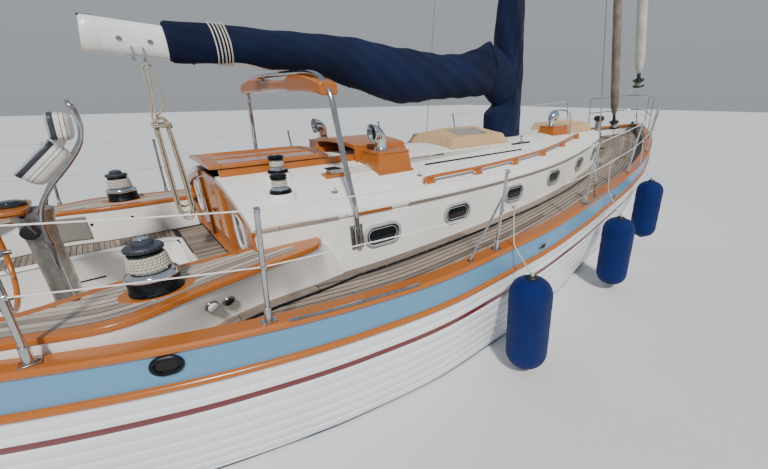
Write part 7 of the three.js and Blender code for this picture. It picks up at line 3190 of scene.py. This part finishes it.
    def cleats(self) -> None:
        """Makes horn cleats, hawse rings through the strake, vents, inlet plates and the bow roller."""
        metal, dark, rings, white = Shape(STAINLESS), Shape(CAULK_AND_SHADE), Shape(BLACK_METAL), Shape(WHITE_PLASTIC)
        for side in (1, -1):
            for x, inset in ((-4.35, 0.30), (4.2, 0.26), (0.9, 0.24)):
                y = side * (LINES.beam(x) - inset)
                z = LINES.deck(x, abs(y)) + 0.013
                for a in (-0.03, 0.03):
                    metal.pipe([(x + a, y, z), (x + a * 0.8, y, z + 0.042)], 0.011, 10)
                horns = ((-0.13, 0.06), (-0.05, 0.046), (0.05, 0.046), (0.13, 0.06))
                metal.pipe(through([(x + a, y, z + lift) for a, lift in horns], 5), 0.010, 10, dome=True)
                metal.slab((x - 0.06, y - 0.022, z), (x + 0.06, y + 0.022, z + 0.005))
            for x, v, long, tall in ((-3.30, 0.056, 0.112, 0.086), (-0.72, 0.11, 0.10, 0.042),
                                     (1.02, 0.115, 0.10, 0.042)):
                z = LINES.sheer(x) - v
                y = LINES.side(x, z)
                tilt = (LINES.side(x, z + 0.03) - LINES.side(x, z - 0.03)) / 0.06
                slope = (LINES.side(x + 0.05, z) - LINES.side(x - 0.05, z)) / 0.1
                out = Vector((-slope, side, -tilt)).normalized()
                along = Vector((1, side * slope, 0)).normalized()
                up = out.cross(along) * (1 if side < 0 else -1)
                centre = Vector((x, side * y, z))
                rim, tube = (rings, 0.011) if long > 0.105 else (metal, 0.006)
                ring = lambda grow, lift: [
                    centre + along * a * grow + up * b * grow + out * lift for a, b in oval(long, tall)
                ]
                rim.pipe(ring(1.0, 0.006), tube, 8, closed=True)
                # The dark oval inside each rim is painted shade in the opening through the strake.
                dark.loft([ring(grow, lift) for grow, lift in ((1.0, 0.001), (0.97, 0.0045), (0.1, 0.005))])
            for x, z, plain in ((-3.05, 1.065, True), (-2.96, 1.04, False)):
                y = LINES.coaming_face(x, z)
                slope = (LINES.coaming_face(x + 0.05, z) - LINES.coaming_face(x - 0.05, z)) / 0.1
                rise = (LINES.coaming_face(x, z + 0.03) - LINES.coaming_face(x, z - 0.03)) / 0.06
                out = Vector((-slope, side, -rise)).normalized()
                cx = Vector((x, side * y, z)) - out * 0.002
                metal.lathe([(0, 0), (0.036, 0), (0.036, 0.008), (0.030, 0.012), (0, 0.012)], cx, out, 24)
                cap, edge, top = (white, 0.026, 0.029) if plain else (dark, 0.016, 0.017)
                cap.lathe([(0, 0.0125), (0.026, 0.0125), (0.025, edge), (0.02, top), (0, top)], cx, out, 24)
        for a in (-0.028, 0.028):
            metal.slab((5.62, a - 0.004, LINES.sheer(5.75) + 0.045), (5.905, a + 0.004, LINES.sheer(5.75) + 0.10))
        metal.slab((5.60, -0.045, LINES.sheer(5.7) + 0.044), (5.80, 0.045, LINES.sheer(5.7) + 0.05))
        metal.lathe([(0, -0.022), (0.03, -0.021), (0.018, 0), (0.03, 0.021), (0, 0.022)],
                    (5.875, 0, LINES.sheer(5.75) + 0.078), (0, 1, 0), 24)
        metal.make("mooring_fittings", bevel=0.0015)
        dark.make("fairlead_holes")
        rings.make("hawse_rings")
        white.make("inlet_caps")

    def build(self) -> None:
        """Makes everything along the deck's edge."""
        self.lifelines()
        self.end_rail("pulpit", ((4.82, 0.66, 1), (5.05, 0.545, 0), (5.40, 0.35, 1), (5.65, 0.175, 0), (5.74, 0.0, 0)))
        self.end_rail("pushpit", ((-4.8, 0.88, 1), (-5.1, 0.70, 0), (-5.5, 0.44, 1), (-5.72, 0.24, 0), (-5.78, 0.0, 0)))
        self.fender("fender_aft", -1.16, -2.156, 0.455)
        self.fender("fender_middle", 0.69, -2.016, 0.475)
        self.fender("fender_forward", 2.09, -1.805, 0.64)
        self.windlass()
        self.cleats()


@dataclass
class Hank:
    """The mainsheet's tail, hung from the boom's end in a hank of long turns with a hitch round them.

    Attributes:
        x: Its place along the yacht.
        diameter: The line's diameter.
        low: Where the turns' lower ends stand.
        high: Where their upper ends stand.
    """

    x: float = -2.89
    diameter: float = 0.012
    low: float = 1.255
    high: float = 1.96

    def route(self) -> list[tuple[float, float, float]]:
        """Gives the line's route: down from the boom, round its turns, round them in a hitch, and up again.

        Returns:
            Places along the line.
        """
        lanes = (-0.036, -0.012, 0.012, 0.036)
        drops = (0.0, 0.055, 0.02, 0.09, 0.06, 0.12, 0.03, 0.08)
        out: list[tuple[float, float, float]] = [(0.0, -0.0195, 2.362), (-0.004, -0.0195, 2.30),
                                                 (-0.022, -0.0195, 2.12)]
        turns = [(0.034, y) for y in lanes] + [(0.052, y) for y in lanes[::-1]]
        loops = [(r, y, self.low + drop) for (r, y), drop in zip(turns, drops)]
        for i, (r, y, low) in enumerate(loops):
            levels = np.linspace(self.high, low, 8)
            draw = [0.55 + 0.45 * min(1.0, (self.high - z) / 0.4) for z in levels]
            out += [(-r * (0.45 + 0.55 * g) - 0.013, y * g, z) for z, g in zip(levels, draw)]
            out += [(-r * math.cos(a) - 0.013, y, low - r * math.sin(a)) for a in np.linspace(0.4, math.pi - 0.4, 6)]
            out += [(r * (0.45 + 0.55 * g) - 0.013, y * g, z) for z, g in zip(levels[::-1], draw[::-1])]
            if i + 1 < len(loops):
                nxt = loops[i + 1]
                for a in np.linspace(0.4, math.pi - 0.4, 6):
                    share = a / math.pi
                    radius = (r + (nxt[0] - r) * share) * 0.75
                    across = (y + (nxt[1] - y) * share) * 0.55
                    out.append((radius * math.cos(a) - 0.013, across, self.high + radius * math.sin(a)))
        for i in range(int(2.6 * 12)):
            t = math.tau * i / 12
            across = -0.0195 * 0.5 + 0.034 * math.sin(t + 0.4)
            out.append((0.056 * math.cos(t) - 0.013, across, self.high - 0.035 + 0.0135 * i / 12))
        out += [(0.034, 0.022, 2.08), (0.030, 0.012, 2.2), (0.030, 0.004, 2.31)]
        out += [(0.002 + 0.030 * math.cos(a), 0.004, 2.318 + 0.030 * math.sin(a))
                for a in np.linspace(0.5, math.pi - 0.5, 5)]
        out += [(-0.030, 0.006, 2.30), (-0.031, 0.014, 2.18), (-0.034, 0.020, 2.09)]
        out += [(-0.050, 0.030, 2.02), (-0.058, 0.031, 1.93), (-0.060, 0.031, 1.86)]
        return [(self.x + a, b, c) for a, b, c in out]

    def build(self) -> None:
        path = through(self.route(), 3)
        shape = Shape(ROPE_BEIGE)
        shape.pipe(path, self.diameter / 2, 10, dome=True)
        made = shape.make("mainsheet_hank", stands_for=("rope_hank",))


# Camera, light and floor


@dataclass(frozen=True)
class Studio:
    """A pale floor at the waterline, soft light and the camera at the photograph's place.

    Attributes:
        eye: The camera's place.
        turn: Its direction from the bow towards port, in degrees.
        dip: How far it looks down, in degrees.
        focal: Its focal length in pixels.
        wide: Width of the picture in pixels.
        tall: Height of the picture in pixels.
        centre: The lens's centre in the picture, in pixels.
    """

    eye: tuple[float, float, float] = (-3.25, -3.543, 2.15)
    turn: float = 46.2
    dip: float = 21.8
    focal: float = 362.0
    wide: float = 768.0
    tall: float = 469.0
    centre: tuple[float, float] = (460.0, 239.6)

    def camera(self) -> None:
        """Sets the camera from the photograph's measured place and view."""
        lens = bpy.data.cameras.new("camera")
        lens.sensor_width = 36.0
        lens.sensor_fit = "HORIZONTAL"
        lens.lens = self.focal * 36.0 / self.wide
        lens.shift_x = (self.wide / 2 - self.centre[0]) / self.wide
        lens.shift_y = (self.centre[1] - self.tall / 2) / self.wide
        lens.clip_start = 0.02
        lens.clip_end = 400.0
        eye = linked(bpy.data.objects.new("camera", lens))
        a, b = math.radians(self.turn), math.radians(self.dip)
        ahead = Vector((math.cos(a) * math.cos(b), math.sin(a) * math.cos(b), -math.sin(b)))
        eye.location = self.eye
        eye.rotation_euler = ahead.to_track_quat("-Z", "Y").to_euler()
        bpy.context.scene.camera = eye

    def floor(self) -> None:
        """Lays a plain pale floor at the waterline."""
        plane = bpy.data.meshes.new("studio_floor")
        size = 60.0
        plane.from_pydata([(-size, -size, 0), (size, -size, 0), (size, size, 0), (-size, size, 0)], [], [(0, 1, 2, 3)])
        plane.materials.append(FLOOR.material())
        linked(bpy.data.objects.new("studio_floor", plane))

    def lights(self) -> None:
        """Sets a bright sky and a broad sun-like key from astern to starboard."""
        world = bpy.data.worlds.new("studio")
        bpy.context.scene.world = world
        world.use_nodes = True
        tree = world.node_tree
        tree.nodes.clear()
        up = add(tree, "ShaderNodeSeparateXYZ", {"Vector": add(tree, "ShaderNodeTexCoord").outputs["Generated"]})
        stops = [(0.0, (0.62, 0.66, 0.7, 1)), (0.55, (0.8, 0.87, 0.95, 1)), (1.0, (0.55, 0.72, 0.95, 1))]
        height = add(tree, "ShaderNodeMapRange", {"Value": up.outputs["Z"], "From Min": -0.2, "From Max": 1.0})
        sky = add(tree, "ShaderNodeValToRGB", {"Fac": height.outputs["Result"]}, stops)
        glow = add(tree, "ShaderNodeBackground", {"Color": sky.outputs["Color"], "Strength": 0.5})
        add(tree, "ShaderNodeOutputWorld", {"Surface": glow.outputs["Background"]})
        sun = bpy.data.lights.new("key", "SUN")
        sun.energy = 3.6
        sun.angle = math.radians(6)
        sun.color = (1.0, 0.96, 0.9)
        key = linked(bpy.data.objects.new("key", sun))
        key.rotation_euler = Vector((0.38, 0.85, -0.95)).to_track_quat("-Z", "Y").to_euler()

    def build(self) -> None:
        """Sets the camera, the floor and the lights."""
        self.camera()
        self.floor()
        self.lights()


def dress_frame() -> None:
    """Gives the CAD nodes that still show their finishes."""
    finishes = {"keel": ANTIFOULING, "rudder": ANTIFOULING, "propeller": BRONZE, "engine_block": ENGINE_GREY}
    for name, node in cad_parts.items():
        finish = finishes.get(name, GELCOAT)
        node.data.materials.clear()
        node.data.materials.append(finish.material())


def main() -> None:
    """Builds the yacht piece by piece."""
    dress_frame()
    Studio().build()
    for part in PARTS:
        log.info("building %s", part.__class__.__name__)
        part.build()


PARTS = [Hank(), Hull(), Rails(), Deck(), Trunk(), Handrails(), Companionway(), Cockpit(), Winches(), Steering(),
         Gallows(), Boom(), Mast(), Neck(), Rigging(), RoofGear(), DeckEdge()]

if __name__ == "__main__":
    main()
